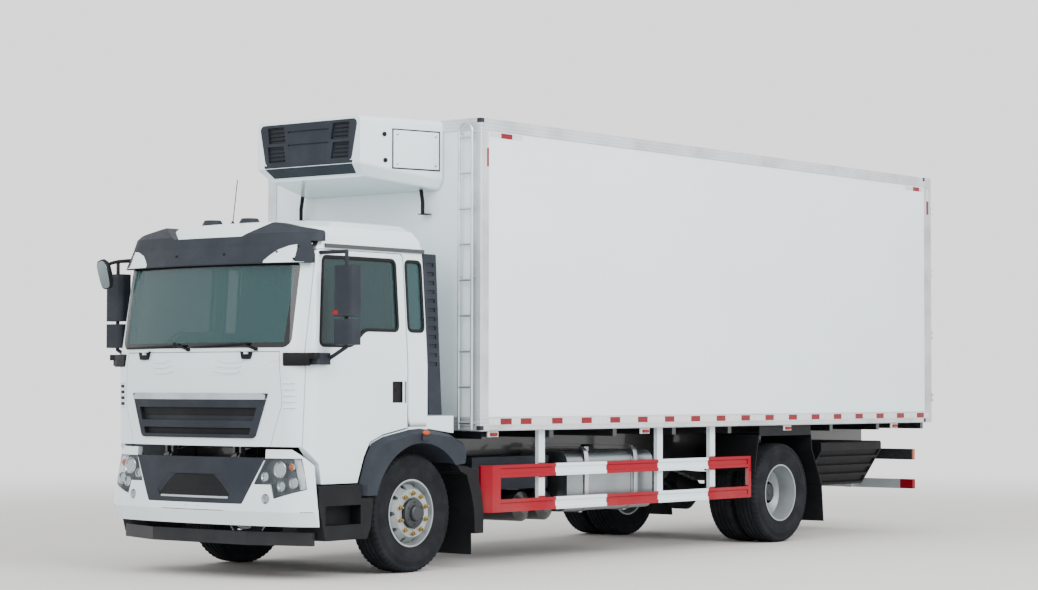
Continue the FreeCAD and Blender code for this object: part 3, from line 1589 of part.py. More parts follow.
def box_edges():
    """Aluminium extrusions along the box's edges: side rails, front posts and front rails."""
    low = box_bottom_z
    high = overall_height
    front = box_front_x
    rear = box_rear_x + rear_post_width + seat_gap
    rail_front = front - front_post_width - seat_gap
    post = front_post_width
    rib_y = half_box
    top_left = slab_x(angle_extrusion(half_box, high, -top_rail_height, -top_rail_height), rear, rail_front)
    bottom_left = slab_x(angle_extrusion(half_box, low, -top_rail_height, bottom_rail_height), rear, rail_front)
    groove_z = low + bottom_rail_height - 2 * rib_height
    groove = block((rear - overrun, rail_front + overrun), (rib_y - rib_depth, rib_y + overrun),
                   (groove_z, groove_z + rib_height / 2))
    bottom_left = bottom_left.cut(groove)
    post_left = slab_z(angle_extrusion(front, half_box, -post, -post), low, high)
    cross_y = half_box - post - seat_gap
    top_front = slab_y([(front, high, extrusion_radius), (front, high - top_rail_height),
                        (front - extrusion_thickness, high - top_rail_height),
                        (front - extrusion_thickness, high - extrusion_thickness),
                        (front - top_rail_height, high - extrusion_thickness),
                        (front - top_rail_height, high)], -cross_y, cross_y)
    low_front = slab_y([(front, low, extrusion_radius), (front, low + bottom_rail_height),
                        (front - extrusion_thickness, low + bottom_rail_height),
                        (front - extrusion_thickness, low + extrusion_thickness),
                        (front - top_rail_height, low + extrusion_thickness),
                        (front - top_rail_height, low)], -cross_y, cross_y)
    save("box_edge_rails", pair(top_left) + pair(bottom_left) + pair(post_left) + [top_front, low_front])


def door_opening():
    """Half width, sill height and head height of the rear doorway."""
    return half_box - side_wall_thickness, box_bottom_z + floor_thickness, overall_height - top_rail_height


def hinge_axis_x():
    """X of the rear door hinge pins, behind the frame's rear face."""
    return box_rear_x - rear_hardware_depth / 2


def rear_frame():
    """Steel portal at the rear of the box with the fixed hinge knuckles."""
    half_width, sill_z, head_z = door_opening()
    outer = block((box_rear_x, box_rear_x + rear_post_width), (-half_box, half_box), (box_bottom_z, overall_height))
    hole = block((box_rear_x - overrun, box_rear_x + rear_post_width + overrun), (-half_width, half_width),
                 (sill_z, head_z))
    pieces = [outer.cut(hole)]
    pin_x = hinge_axis_x()
    third = rear_hinge_length / 3
    for z in rear_hinge_heights:
        for side in (1, -1):
            for z_low in (z - rear_hinge_length / 2, z + third / 2):
                foot = Vector(pin_x, side * half_box, z_low)
                pieces.append(Part.makeCylinder(rear_hinge_radius, third, foot))
                pieces.append(block((pin_x, box_rear_x + overrun), (side * half_box, side * (half_box - rear_hinge_radius)),
                                    (z_low, z_low + third)))
    save("box_rear_frame", [fused(pieces)])


def rear_door():
    """Left rear door with two lock rods, their guides, and four hinge straps."""
    half_width, sill_z, head_z = door_opening()
    gap = rear_door_gap
    outer_y = half_width - gap
    low_z = sill_z + gap
    high_z = head_z - gap
    panel = block((box_rear_x, box_rear_x + rear_door_thickness), (rear_door_meeting_gap / 2, outer_y), (low_z, high_z))
    pieces = [panel]
    rod_x = box_rear_x - rear_hardware_depth + lock_rod_radius
    for inset in (lock_rod_inset, lock_rod_inset + lock_rod_spacing):
        y = inset
        pieces.append(rod(Vector(rod_x, y, low_z), Vector(rod_x, y, high_z), lock_rod_radius))
        for z in rear_hinge_heights:
            pieces.append(block((rod_x, box_rear_x), (y - rod_guide_width / 2, y + rod_guide_width / 2),
                                (z - rod_guide_height / 2, z + rod_guide_height / 2)))
    pin_x = hinge_axis_x()
    third = rear_hinge_length / 3
    strap_half = third / 2 - pin_gap
    for z in rear_hinge_heights:
        foot = Vector(pin_x, half_box, z - strap_half)
        pieces.append(Part.makeCylinder(rear_hinge_radius, 2 * strap_half, foot))
        strap_x = (pin_x - rear_hinge_leaf_thickness / 2, pin_x + rear_hinge_leaf_thickness / 2)
        pieces.append(block(strap_x, (outer_y - rear_hinge_leaf, half_box), (z - strap_half, z + strap_half)))
        pieces.append(block((pin_x, box_rear_x), (outer_y - rear_hinge_leaf, outer_y - gap),
                            (z - strap_half, z + strap_half)))
    return fused(pieces)


def rear_doors():
    """Both rear doors."""
    left = rear_door()
    save("rear_door_left", [left])
    save("rear_door_right", [mirrored(left)])


def ladder():
    """Stainless ladder on the box's front wall: a bent tube with rungs and feet."""
    x = box_front_x + ladder_standoff
    stiles = []
    for y in (ladder_inner_y, ladder_outer_y):
        stiles.append(rod(Vector(x, y, ladder_bottom_z), Vector(x, y, ladder_top_z), ladder_tube_radius))
    middle_y = (ladder_inner_y + ladder_outer_y) / 2
    bow_radius = (ladder_outer_y - ladder_inner_y) / 2
    bow = Part.makeTorus(bow_radius, ladder_tube_radius, Vector(x, middle_y, ladder_top_z), Vector(1, 0, 0))
    bow = bow.common(block((x - ladder_standoff, x + ladder_standoff), (ladder_inner_y - overrun, ladder_outer_y + overrun),
                           (ladder_top_z, overall_height)))
    pieces = stiles + [bow]
    for index in range(ladder_rung_count):
        z = ladder_first_rung_z + index * ladder_rung_pitch
        if z < ladder_top_z:
            pieces.append(rod(Vector(x, ladder_inner_y, z), Vector(x, ladder_outer_y, z), ladder_rung_radius))
    for z in (ladder_first_rung_z, (ladder_first_rung_z + ladder_top_z) / 2, ladder_top_z - ladder_tube_radius):
        for y in (ladder_inner_y, ladder_outer_y):
            pieces.append(rod(Vector(box_front_x + seat_gap, y, z), Vector(x, y, z), ladder_foot_radius))
    save("ladder", [fused(pieces)])


# Cooling units

def unit_section(x, half_width, low_half_width, low_z, shoulder_z):
    """Cross section of the nose unit's housing at one station."""
    return rounded_wire([
        (Vector(x, -half_width, unit_top_z), unit_edge_radius),
        (Vector(x, half_width, unit_top_z), unit_edge_radius),
        (Vector(x, half_width, shoulder_z), unit_edge_radius),
        (Vector(x, low_half_width, low_z), unit_edge_radius),
        (Vector(x, -low_half_width, low_z), unit_edge_radius),
        (Vector(x, -half_width, shoulder_z), unit_edge_radius),
    ])


def cooling_unit():
    """Tapered housing on the box's nose, with a recessed front grille moulding."""
    back_x = box_front_x + seat_gap
    nose_x = station(unit_nose_ahead)
    chin_x = station(unit_chin_ahead)
    back = unit_section(back_x, unit_back_half_width, unit_back_half_width - unit_edge_radius,
                        unit_back_low_z, unit_back_low_z + 2 * unit_edge_radius)
    nose = unit_section(nose_x, unit_nose_half_width, unit_chin_half_width, unit_chin_z,
                        unit_nose_low_z)
    housing = Part.makeLoft([back, nose], True, True)
    chin_cut = slab_y([
        (nose_x + overrun, unit_nose_low_z),
        (nose_x, unit_nose_low_z),
        (chin_x, unit_chin_z),
        (chin_x, unit_back_low_z - overrun),
        (nose_x + overrun, unit_back_low_z - overrun),
    ], -unit_back_half_width, unit_back_half_width)
    housing = housing.cut(chin_cut)
    margin = unit_grille_margin
    depth = unit_grille_depth
    pocket_outline = [
        (-unit_nose_half_width + margin, unit_top_z - margin, unit_edge_radius),
        (unit_nose_half_width - margin, unit_top_z - margin, unit_edge_radius),
        (unit_low_half_width - margin, unit_nose_low_z + margin, unit_edge_radius),
        (-unit_low_half_width + margin, unit_nose_low_z + margin, unit_edge_radius),
    ]
    pocket = slab_x(pocket_outline, nose_x - depth, nose_x + overrun)
    housing = housing.cut(pocket)
    save("cooling_unit_housing", [housing])
    lowered = housing.copy()
    lowered.translate(Vector(0, 0, -seat_gap))
    grille_outline = [(y - math.copysign(seat_gap, y), z - math.copysign(seat_gap, z - unit_nose_low_z - depth), r)
                      for y, z, r in pocket_outline]
    grille = slab_x(grille_outline, nose_x - depth + seat_gap, nose_x)
    cuts = []
    height = unit_top_z - unit_nose_low_z - 2 * margin
    slat_y = unit_low_half_width * unit_opening_inner_share
    for share in (unit_opening_inner_share, 1 - unit_opening_inner_share / 2):
        z = unit_nose_low_z + margin + height * share
        cuts.append(block((nose_x - unit_slat_depth, nose_x + overrun), (-slat_y, slat_y),
                          (z, z + unit_slat_height)))
    for side in (1, -1):
        inner_y = side * unit_low_half_width * unit_opening_inner_share * 1.0
        outer_y = side * unit_low_half_width * unit_opening_outer_share
        middle_z = (unit_top_z + unit_nose_low_z) / 2
        bar = unit_slat_height
        for z_low, z_high in ((unit_nose_low_z + 2 * margin, middle_z - bar), (middle_z + bar, unit_top_z - 2 * margin)):
            cuts.append(slab_x([(inner_y + side * margin, z_low), (outer_y, z_low), (outer_y + side * bar, z_high),
                                (inner_y + side * 2 * margin, z_high)], nose_x - depth / 2, nose_x + overrun))
    save("cooling_unit_grille", [grille.cut(cuts)])
    cooling_hoses(lowered)


def cooling_hoses(housing):
    """Two hoses from under the housing down the front wall, each ending in a clip bracket."""
    shapes = []
    for y, side in ((hose_left_y, 1), (hose_right_y, -1)):
        x = box_front_x + hose_standoff
        top = Vector(x, y, unit_back_low_z + hose_standoff)
        middle = Vector(x, y + side * hose_offset / 2, unit_back_low_z - hose_drop / 2)
        end = Vector(x, y + side * hose_offset / 2, unit_back_low_z - hose_drop)
        pieces = [rod(top, middle, hose_radius), rod(middle, end, hose_radius),
                  Part.makeSphere(hose_radius, middle)]
        bracket = block((box_front_x + seat_gap, x + hose_radius),
                        (end.y - hose_bracket_width / 2, end.y + hose_bracket_width / 2),
                        (end.z - hose_bracket_height, end.z))
        pieces.append(bracket)
        hose = fused(pieces).cut(housing)
        shapes.append(min(hose.Solids, key=lambda solid: solid.BoundBox.ZMin))
    save("cooling_hoses", shapes)


def under_unit():
    """Under-floor unit on the left rail with a sloping slatted cover."""
    front_x = station(under_unit_front_ahead)
    rear_x = station(under_unit_rear_ahead)
    outline = [
        (under_unit_inner_y, under_unit_bottom_z),
        (under_unit_foot_y, under_unit_bottom_z, unit_edge_radius),
        (under_unit_outer_y, under_unit_top_z - 2 * unit_edge_radius),
        (under_unit_outer_y, under_unit_top_z, unit_edge_radius / 2),
        (under_unit_inner_y, under_unit_top_z),
    ]
    body = slab_x(outline, rear_x, front_x)
    run_y = under_unit_outer_y - under_unit_foot_y
    run_z = under_unit_top_z - 2 * unit_edge_radius - under_unit_bottom_z
    normal = Vector(0, run_z, -run_y)
    normal.normalize()
    cuts = []
    for index in range(under_unit_slat_count):
        low_share = (index + 0.3) / under_unit_slat_count
        high_share = (index + 1) / under_unit_slat_count
        corners = []
        for share, depth in ((low_share, 0), (high_share, 0), (high_share, under_unit_slat_depth), (low_share, under_unit_slat_depth)):
            y = under_unit_foot_y + run_y * share - normal.y * depth
            z = under_unit_bottom_z + run_z * share - normal.z * depth
            corners.append((y, z))
        cuts.append(slab_x(corners, rear_x + under_unit_slat_land, front_x - under_unit_slat_land))
    hang = block((rear_x + under_unit_slat_land, front_x - under_unit_slat_land),
                 (rail_outer_y + seat_gap, under_unit_inner_y + overrun), (rail_bottom_z, under_unit_top_z))
    save("under_floor_unit", [fused([body.cut(cuts), hang])])


# Cab

def cab_section(z, set_back, tuck, rear_set_back, inset):
    """Level outline of the cab: crowned front, rounded corners, flat sides and rear."""
    front_x = station(cab_front_ahead) - set_back
    half_width = cab_half_width - tuck
    crown_y = half_width * cab_crown_share
    crown_x = front_x - cab_crown_drop
    side_x = crown_x - cab_corner_length
    mid_y = half_width * cab_corner_mid_share
    mid_x = crown_x - cab_corner_mid_drop
    rear_x = station(cab_rear_ahead) + rear_set_back
    rear_radius = cab_rear_corner_radius
    diagonal = rear_radius * (1 - math.sqrt(1 / 2))
    side_inset = min(inset, cab_wall)
    front_x -= inset
    crown_x -= inset
    side_x -= inset
    mid_x -= inset
    rear_x += side_inset
    half_width -= side_inset
    mid_y -= side_inset
    crown_y -= side_inset

    def at(x, y):
        return Vector(x, y, z)
    edges = [
        Part.Arc(at(crown_x, -crown_y), at(front_x, 0), at(crown_x, crown_y)).toShape(),
        Part.Arc(at(crown_x, crown_y), at(mid_x, mid_y), at(side_x, half_width)).toShape(),
        Part.makeLine(at(side_x, half_width), at(rear_x + rear_radius, half_width)),
        Part.Arc(at(rear_x + rear_radius, half_width), at(rear_x + diagonal, half_width - diagonal),
                 at(rear_x, half_width - rear_radius)).toShape(),
        Part.makeLine(at(rear_x, half_width - rear_radius), at(rear_x, -half_width + rear_radius)),
        Part.Arc(at(rear_x, -half_width + rear_radius), at(rear_x + diagonal, -half_width + diagonal),
                 at(rear_x + rear_radius, -half_width)).toShape(),
        Part.makeLine(at(rear_x + rear_radius, -half_width), at(side_x, -half_width)),
        Part.Arc(at(side_x, -half_width), at(mid_x, -mid_y), at(crown_x, -crown_y)).toShape(),
    ]
    return Part.Wire(edges)


def cab_body(inset, low_z, roof_drop):
    """Solid cab form inside its skin by an inset: straight from the sill up, domed over the roof."""
    levels = [
        (low_z, cab_low_set_back, 0),
        (cab_belt_z, 0, cab_belt_tuck),
        (cab_screen_foot_z, cab_screen_foot_set_back, cab_screen_foot_tuck),
        (cab_screen_head_z, cab_screen_head_set_back, cab_screen_head_tuck),
        (cab_drip_z, cab_drip_set_back, cab_drip_tuck),
    ]
    wires = [cab_section(z, set_back, tuck, 0, inset) for z, set_back, tuck in levels]
    body = Part.makeLoft(wires, True, True)
    dome = []
    for index in range(cab_roof_step_count + 1):
        angle = math.pi / 2 * index / cab_roof_step_count
        rise = math.sin(angle)
        fall = 1 - math.cos(angle)
        z = cab_drip_z + (cab_roof_z - roof_drop - cab_drip_z) * rise
        set_back = cab_drip_set_back + (cab_roof_set_back - cab_drip_set_back) * fall
        tuck = cab_drip_tuck + (cab_roof_tuck - cab_drip_tuck) * fall
        dome.append(cab_section(z, set_back, tuck, cab_roof_rear_set_back * fall, inset))
    roof = Part.makeLoft(dome, True, True)
    return body.fuse(roof)


def door_outline(gap):
    """Door seen from the side, drawn in by a gap all round and by more at its rear edge."""
    rear_x = station(door_rear_ahead) + gap * door_rear_gap / seam_gap
    return [
        (station(door_seam_top_ahead) - gap, door_top_z - gap, door_corner_radius),
        (station(door_seam_belt_ahead) - gap, cab_screen_foot_z),
        (station(door_seam_low_ahead) - gap, cab_sill_z - gap),
        (station(door_toe_ahead) - gap, door_toe_z),
        (station(door_bottom_ahead) - gap, cab_low_z + gap),
        (station(door_heel_ahead) + gap, cab_low_z + gap),
        (station(door_shoulder_ahead) + gap, door_shoulder_z),
        (station(door_arch_ahead) + gap / 2, door_arch_z + gap),
        (station(door_arch_top_ahead), door_arch_top_z + gap),
        (rear_x, door_rear_low_z + gap),
        (rear_x, door_top_z - gap, door_corner_radius),
    ]


def window_outline(margin):
    """Door window seen from the side, with its stepped sill, grown by a margin."""
    return [
        (station(window_front_top_ahead) + margin, window_top_z + margin, window_radius),
        (station(window_front_low_ahead) + margin, window_low_z - margin, window_radius),
        (station(window_step_ahead), window_low_z - margin, window_radius),
        (station(window_step_top_ahead), window_sill_z - margin, window_radius),
        (station(window_rear_ahead) - margin, window_sill_z - margin, window_radius),
        (station(window_rear_ahead) - margin, window_top_z + margin, window_radius),
    ]


def quarter_outline(margin):
    """Small window behind the door, grown by a margin."""
    return [
        (station(quarter_front_ahead) + margin, window_top_z + margin),
        (station(quarter_front_ahead) + margin, window_sill_z - margin),
        (station(quarter_rear_ahead) - margin, window_sill_z - margin, window_radius),
        (station(quarter_rear_ahead) - margin, window_top_z + margin, window_radius),
    ]


def screen_outline(margin):
    """Windscreen seen from the front, grown by a margin."""
    return [
        (-screen_foot_half_width - margin, screen_low_z - margin, screen_corner_radius),
        (screen_foot_half_width + margin, screen_low_z - margin, screen_corner_radius),
        (screen_head_half_width + margin, screen_high_z + margin, screen_corner_radius),
        (-screen_head_half_width - margin, screen_high_z + margin, screen_corner_radius),
    ]


def flap_outline(gap):
    """Front flap seen from the front, drawn in by a gap."""
    return [
        (-flap_bottom_half_width + gap, flap_bottom_edge_z),
        (flap_bottom_half_width - gap, flap_bottom_edge_z),
        (flap_shoulder_half_width - gap, flap_shoulder_z),
        (flap_top_half_width - gap, flap_top_z - gap),
        (-flap_top_half_width + gap, flap_top_z - gap),
        (-flap_shoulder_half_width + gap, flap_shoulder_z),
    ]


def grille_outline(margin):
    """Grille opening in the flap, grown by a margin."""
    return [
        (-grille_bottom_half_width - margin, grille_bottom_z - margin, window_radius),
        (grille_bottom_half_width + margin, grille_bottom_z - margin, window_radius),
        (grille_top_half_width + margin, grille_top_z + margin, seam_gap),
        (-grille_top_half_width - margin, grille_top_z + margin, seam_gap),
    ]


def door_zone(gap):
    """Room of the left door seen from the front: its inner limit leans in with the pillars."""
    low_z = cab_low_z - overrun
    return slab_x([
        (door_inner_y - gap, low_z),
        (door_inner_y - gap, cab_screen_foot_z),
        (door_inner_top_y - gap, cab_drip_z),
        (2 * cab_half_width, cab_drip_z),
        (2 * cab_half_width, low_z),
    ], station(cab_rear_ahead), station(cab_front_ahead))


def door_sill_room():
    """Room under the left door's rear lower edge, which draws back a little as the door opens."""
    low_z = cab_sill_z - overrun
    back = door_sill_gap
    return slab_y([
        (station(door_shoulder_ahead), low_z),
        (station(door_arch_ahead) - back, low_z),
        (station(door_arch_ahead) - back, door_arch_z - back / 2),
        (station(door_arch_top_ahead) - back, door_arch_top_z - back / 2),
        (station(door_rear_ahead), door_rear_low_z - back / 2),
        (station(door_rear_ahead), door_rear_low_z),
        (station(door_arch_top_ahead), door_arch_top_z),
        (station(door_arch_ahead), door_arch_z),
        (station(door_shoulder_ahead), door_arch_z),
    ], door_inner_y, 2 * cab_half_width)


def door_sweep():
    """Room round the left door's hinge line that its front edge swings through."""
    foot = Vector(station(door_seam_belt_ahead - door_hinge_behind_seam), door_hinge_y, cab_low_z)
    return rod(foot, foot + Vector(0, 0, cab_drip_z - cab_low_z), door_sweep_radius)


def cab_shell(outer, inner):
    """Cab body: floor with engine tunnel, roof, pillars and rear wall, open at doors and windows."""
    reach_y = 2 * cab_half_width
    front = station(cab_front_ahead)
    shell = outer.cut(inner)
    below_sill = block((station(cab_rear_ahead) - overrun, front + overrun), (-reach_y, reach_y),
                       (cab_low_z - overrun, cab_sill_z))
    behind = block((station(cab_rear_ahead) - overrun, station(cab_rear_ahead) + cab_wall + overrun),
                   (-cab_half_width + cab_wall, cab_half_width - cab_wall), (cab_low_z, cab_floor_z))
    shell = shell.cut([below_sill, behind])
    floor_y = cab_half_width - cab_wall - floor_side_gap
    floor = inner.common(block((station(cab_rear_ahead) - overrun, front), (-floor_y, floor_y),
                               (cab_floor_z, cab_floor_z + cab_floor_thickness))).cut(pair(door_sweep()))
    tunnel_front_x = station(cab_front_ahead) - cab_front_wall
    tunnel = inner.common(block((station(cab_rear_ahead), tunnel_front_x), (-tunnel_half_width, tunnel_half_width),
                                (cab_floor_z, tunnel_top_z)))
    bore = block((station(cab_rear_ahead) - overrun, tunnel_front_x - tunnel_wall - cab_crown_drop),
                 (-tunnel_half_width + tunnel_wall, tunnel_half_width - tunnel_wall),
                 (cab_floor_z - overrun, tunnel_top_z - tunnel_wall))
    shell = shell.fuse([floor, tunnel]).cut(bore)
    filler = slab_y([
        (station(filler_rear_ahead), arch_rear_shoulder_z + seam_gap),
        (station(filler_rear_ahead), filler_top_z),
        (station(door_rear_ahead) - overrun, filler_top_z),
        (station(door_rear_ahead) - overrun, door_rear_low_z + seam_gap),
        (station(marker_ahead), door_rear_low_z + seam_gap),
    ], cab_half_width - filler_thickness, cab_half_width)
    shell = shell.fuse(pair(filler))
    quarter_y = cab_half_width - 2 * cab_wall - cab_drip_tuck
    cuts = [
        slab_y(quarter_outline(0), quarter_y, reach_y),
        slab_y(quarter_outline(0), -reach_y, -quarter_y),
        slab_x(screen_outline(0), station(0), front + overrun),
    ]
    doorway = slab_y(door_outline(0), 0, reach_y).common(door_zone(door_inner_gap)).cut(floor)
    for tool in cuts + pair(doorway) + pair(door_sill_room()):
        shell = shell.cut(tool)
    arch_cut = rod(Vector(front_axle_x, -reach_y, axle_z), Vector(front_axle_x, reach_y, axle_z),
                   arch_radius + arch_skin + seat_gap)
    shell = shell.cut(arch_cut)
    drip = slab_y([
        (station(drip_rail_front_ahead), cab_drip_z - drip_rail_height / 2),
        (station(drip_rail_front_ahead), cab_drip_z + drip_rail_height / 2),
        (station(cab_rear_ahead), cab_drip_z + drip_rail_height / 2),
        (station(cab_rear_ahead), cab_drip_z - drip_rail_height / 2),
    ], cab_half_width - cab_drip_tuck - overrun, cab_half_width - cab_drip_tuck + drip_rail_proud)
    shell = shell.fuse(pair(drip) + tilt_forks())
    return shell.removeSplitter()


def front_flap(outer):
    """Skin panel hinged at its top edge, with the grille's opening cut through."""
    front = station(cab_front_ahead)
    skin = outer.cut(cab_body(flap_skin, cab_low_z, flap_skin))
    zone = slab_x(flap_outline(seam_gap / 2), front - cab_corner_length - cab_crown_drop, front + overrun)
    panel = skin.common(zone)
    panel = panel.cut(slab_x(grille_outline(0), station(0), front + overrun))
    return fused([panel] + flap_lugs(shell_side=False))


def flap_pocket(shell):
    """Room for the flap in the cab's front wall."""
    front = station(cab_front_ahead)
    zone = slab_x(flap_outline(-seam_gap / 2), front - cab_corner_length - cab_crown_drop, front + overrun)
    keep = cab_body(flap_skin + seam_gap, cab_low_z, flap_skin)
    return shell.cut(zone.cut(keep))


def flap_lug(y_low, y_high, z_range):
    """Hinge lug between two values of Y: an arm out from the skin to an eye on the flap's hinge line."""
    x = station(flap_hinge_ahead)
    eye = rod(Vector(x, y_low, flap_hinge_z), Vector(x, y_high, flap_hinge_z), flap_lug_radius)
    arm = block((station(flap_hinge_root_ahead), x), (y_low, y_high), z_range)
    riser = block((x - flap_lug_radius, x), (y_low, y_high), (z_range[0], flap_hinge_z))
    return eye.fuse([arm, riser])


def flap_lugs(shell_side):
    """Lugs of the flap's two hinges: the outer ones on the cab or the middle ones on the flap."""
    half = flap_lug_width / 2
    lugs = []
    for side in (1, -1):
        middle = side * flap_hinge_y
        if shell_side:
            z_range = (flap_top_z + seam_gap / 2, flap_hinge_z + flap_lug_radius)
            outer = half + pin_gap + flap_lug_width
            lugs.append(flap_lug(middle - outer, middle - half - pin_gap, z_range))
            lugs.append(flap_lug(middle + half + pin_gap, middle + outer, z_range))
        else:
            top_z = flap_top_z - seam_gap / 2
            lugs.append(flap_lug(middle - half, middle + half, (top_z - flap_lug_height, top_z)))
    return lugs


def front_grille():
    """Grille moulding in the flap: a deep frame with a bar across two openings."""
    front = station(cab_front_ahead)
    back = cab_body(grille_depth, cab_low_z, grille_depth)
    face = cab_body(-grille_proud, cab_low_z, 0)
    moulding = face.cut(back).common(slab_x(grille_outline(-seat_gap), front - cab_corner_length, front + overrun))
    frame = grille_frame
    top = grille_slot_top_z
    bar_low = grille_bar_z - grille_bar_height / 2
    bar_high = grille_bar_z + grille_bar_height / 2
    slope = (grille_top_half_width - grille_bottom_half_width) / (grille_top_z - grille_bottom_z)

    def edge_y(z):
        return grille_bottom_half_width + slope * (z - grille_bottom_z) - frame
    cuts = []
    for low, high in ((grille_bottom_z + frame / 2, bar_low), (bar_high, top - frame)):
        outline = [(-edge_y(low), low, seam_gap), (edge_y(low), low, seam_gap),
                   (edge_y(high), high, seam_gap), (-edge_y(high), high, seam_gap)]
        pocket = slab_x(outline, front - cab_corner_length, front + overrun)
        cuts.append(pocket.common(face).cut(cab_body(grille_depth - rail_thickness, cab_low_z, grille_depth)))
    return moulding.cut(cuts)


def sun_visor(outer):
    """Dark visor over the windscreen with a hump at each end and a trough between."""
    front = station(cab_front_ahead)
    half = visor_half_width
    outline = [
        (-half, visor_low_z),
        (half, visor_low_z),
        (half, visor_end_z),
        (visor_hump_half_width, visor_hump_z, window_radius),
        (visor_trough_half_width, visor_trough_z, window_radius),
        (-visor_trough_half_width, visor_trough_z, window_radius),
        (-visor_hump_half_width, visor_hump_z, window_radius),
        (-half, visor_end_z),
    ]
    face = cab_body(-visor_proud, cab_low_z, -visor_proud)
    zone = slab_x(outline, front - cab_roof_set_back, front + visor_proud + overrun)
    keep_back = cab_body(-seat_gap, cab_low_z, -seat_gap)
    visor = face.cut(keep_back).common(zone)
    rear_x = station(cab_rear_ahead)
    lower_cut = block((rear_x, station(visor_side_ahead)), (-box_width, box_width),
                      (cab_low_z, cab_drip_z + drip_rail_height))
    upper_cut = block((rear_x, station(visor_top_side_ahead)), (-box_width, box_width),
                      (cab_low_z, overall_height))
    return visor.cut([lower_cut, upper_cut])


def cab_glass():
    """Windscreen and quarter windows, set into the body a little."""
    outer_face = cab_body(glass_set_in, cab_low_z, glass_set_in)
    inner_face = cab_body(glass_set_in + glass_thickness, cab_low_z, glass_set_in + glass_thickness)
    pane = outer_face.cut(inner_face)
    front = station(cab_front_ahead)
    reach_y = 2 * cab_half_width
    screen_pane = cab_body(screen_set_in, cab_low_z, screen_set_in)
    screen_pane = screen_pane.cut(cab_body(screen_set_in + glass_thickness, cab_low_z, screen_set_in + glass_thickness))
    screen = screen_pane.common(slab_x(screen_outline(-seat_gap), front - cab_roof_set_back, front + overrun))
    quarter = pane.common(slab_y(quarter_outline(-seat_gap), 0, reach_y))
    door_pane = pane.common(slab_y(window_outline(-seat_gap), 0, reach_y))
    save("cab_glass", [screen] + pair(quarter))
    save("door_glass_left", [door_pane])
    save("door_glass_right", [mirrored(door_pane)])


def door(outer, inner):
    """Left door: full-thickness panel with its window opening and handle recess."""
    reach_y = 2 * cab_half_width
    wall = outer.cut(inner)
    panel = wall.common(slab_y(door_outline(seam_gap), 0, reach_y)).common(door_zone(0))
    panel = panel.cut(slab_y(window_outline(0), 0, reach_y))
    recess = block((station(handle_rear_ahead), station(handle_front_ahead)),
                   (cab_half_width - handle_depth, reach_y), (handle_low_z, handle_high_z))
    bar_x = station(handle_rear_ahead) + handle_bar
    bar = block((bar_x, bar_x + handle_bar), (cab_half_width - handle_depth - cab_belt_tuck, cab_half_width - cab_belt_tuck),
                (handle_low_z, handle_high_z))
    return fused([panel.cut(recess), bar])


def mirror_housing(low_z, high_z):
    """Rounded mirror head on the left."""
    x = station(mirror_ahead)
    half_depth = mirror_depth / 2
    return slab_z([
        (x - half_depth, mirror_inner_y, overrun / 2),
        (x + half_depth, mirror_inner_y, mirror_radius),
        (x + half_depth, mirror_inner_y + mirror_width, mirror_radius),
        (x - half_depth, mirror_inner_y + mirror_width, overrun / 2),
    ], low_z, high_z)


def door_hinge_point(z):
    """Place on the left door's hinge line."""
    return Vector(station(door_seam_belt_ahead - door_hinge_behind_seam), door_hinge_y, z)


def mirror_foot(skin):
    """Fixed half of the left door's hinge block, on the cab's corner, with its knuckle."""
    foot = slab_z([
        (station(mirror_foot_rear_ahead), mirror_foot_outer_y),
        (station(mirror_foot_rear_ahead), mirror_foot_rear_y),
        (station(mirror_foot_inner_ahead), mirror_foot_inner_y),
        (station(mirror_foot_front_ahead), mirror_foot_front_y),
        (station(mirror_foot_bend_ahead), mirror_foot_outer_y),
    ], mirror_foot_low_z, mirror_block_high_z)
    low_z = hinge_knuckle_split_z + seat_gap
    hinge = door_hinge_point(0)
    knuckle = rod(door_hinge_point(low_z), door_hinge_point(mirror_block_high_z), hinge_knuckle_radius)
    under_y = hinge.y - hinge_knuckle_radius / 2
    arm = slab_z([
        (hinge.x, under_y),
        (station(mirror_foot_rear_ahead), under_y),
        (station(mirror_foot_rear_ahead), mirror_foot_rear_y),
        (station(mirror_foot_bend_ahead), mirror_foot_rear_y),
        (station(mirror_foot_bend_ahead), hinge.y + hinge_knuckle_radius),
        (hinge.x, hinge.y + hinge_knuckle_radius),
    ], low_z, mirror_block_high_z)
    return fused([foot, knuckle, arm]).cut(skin)


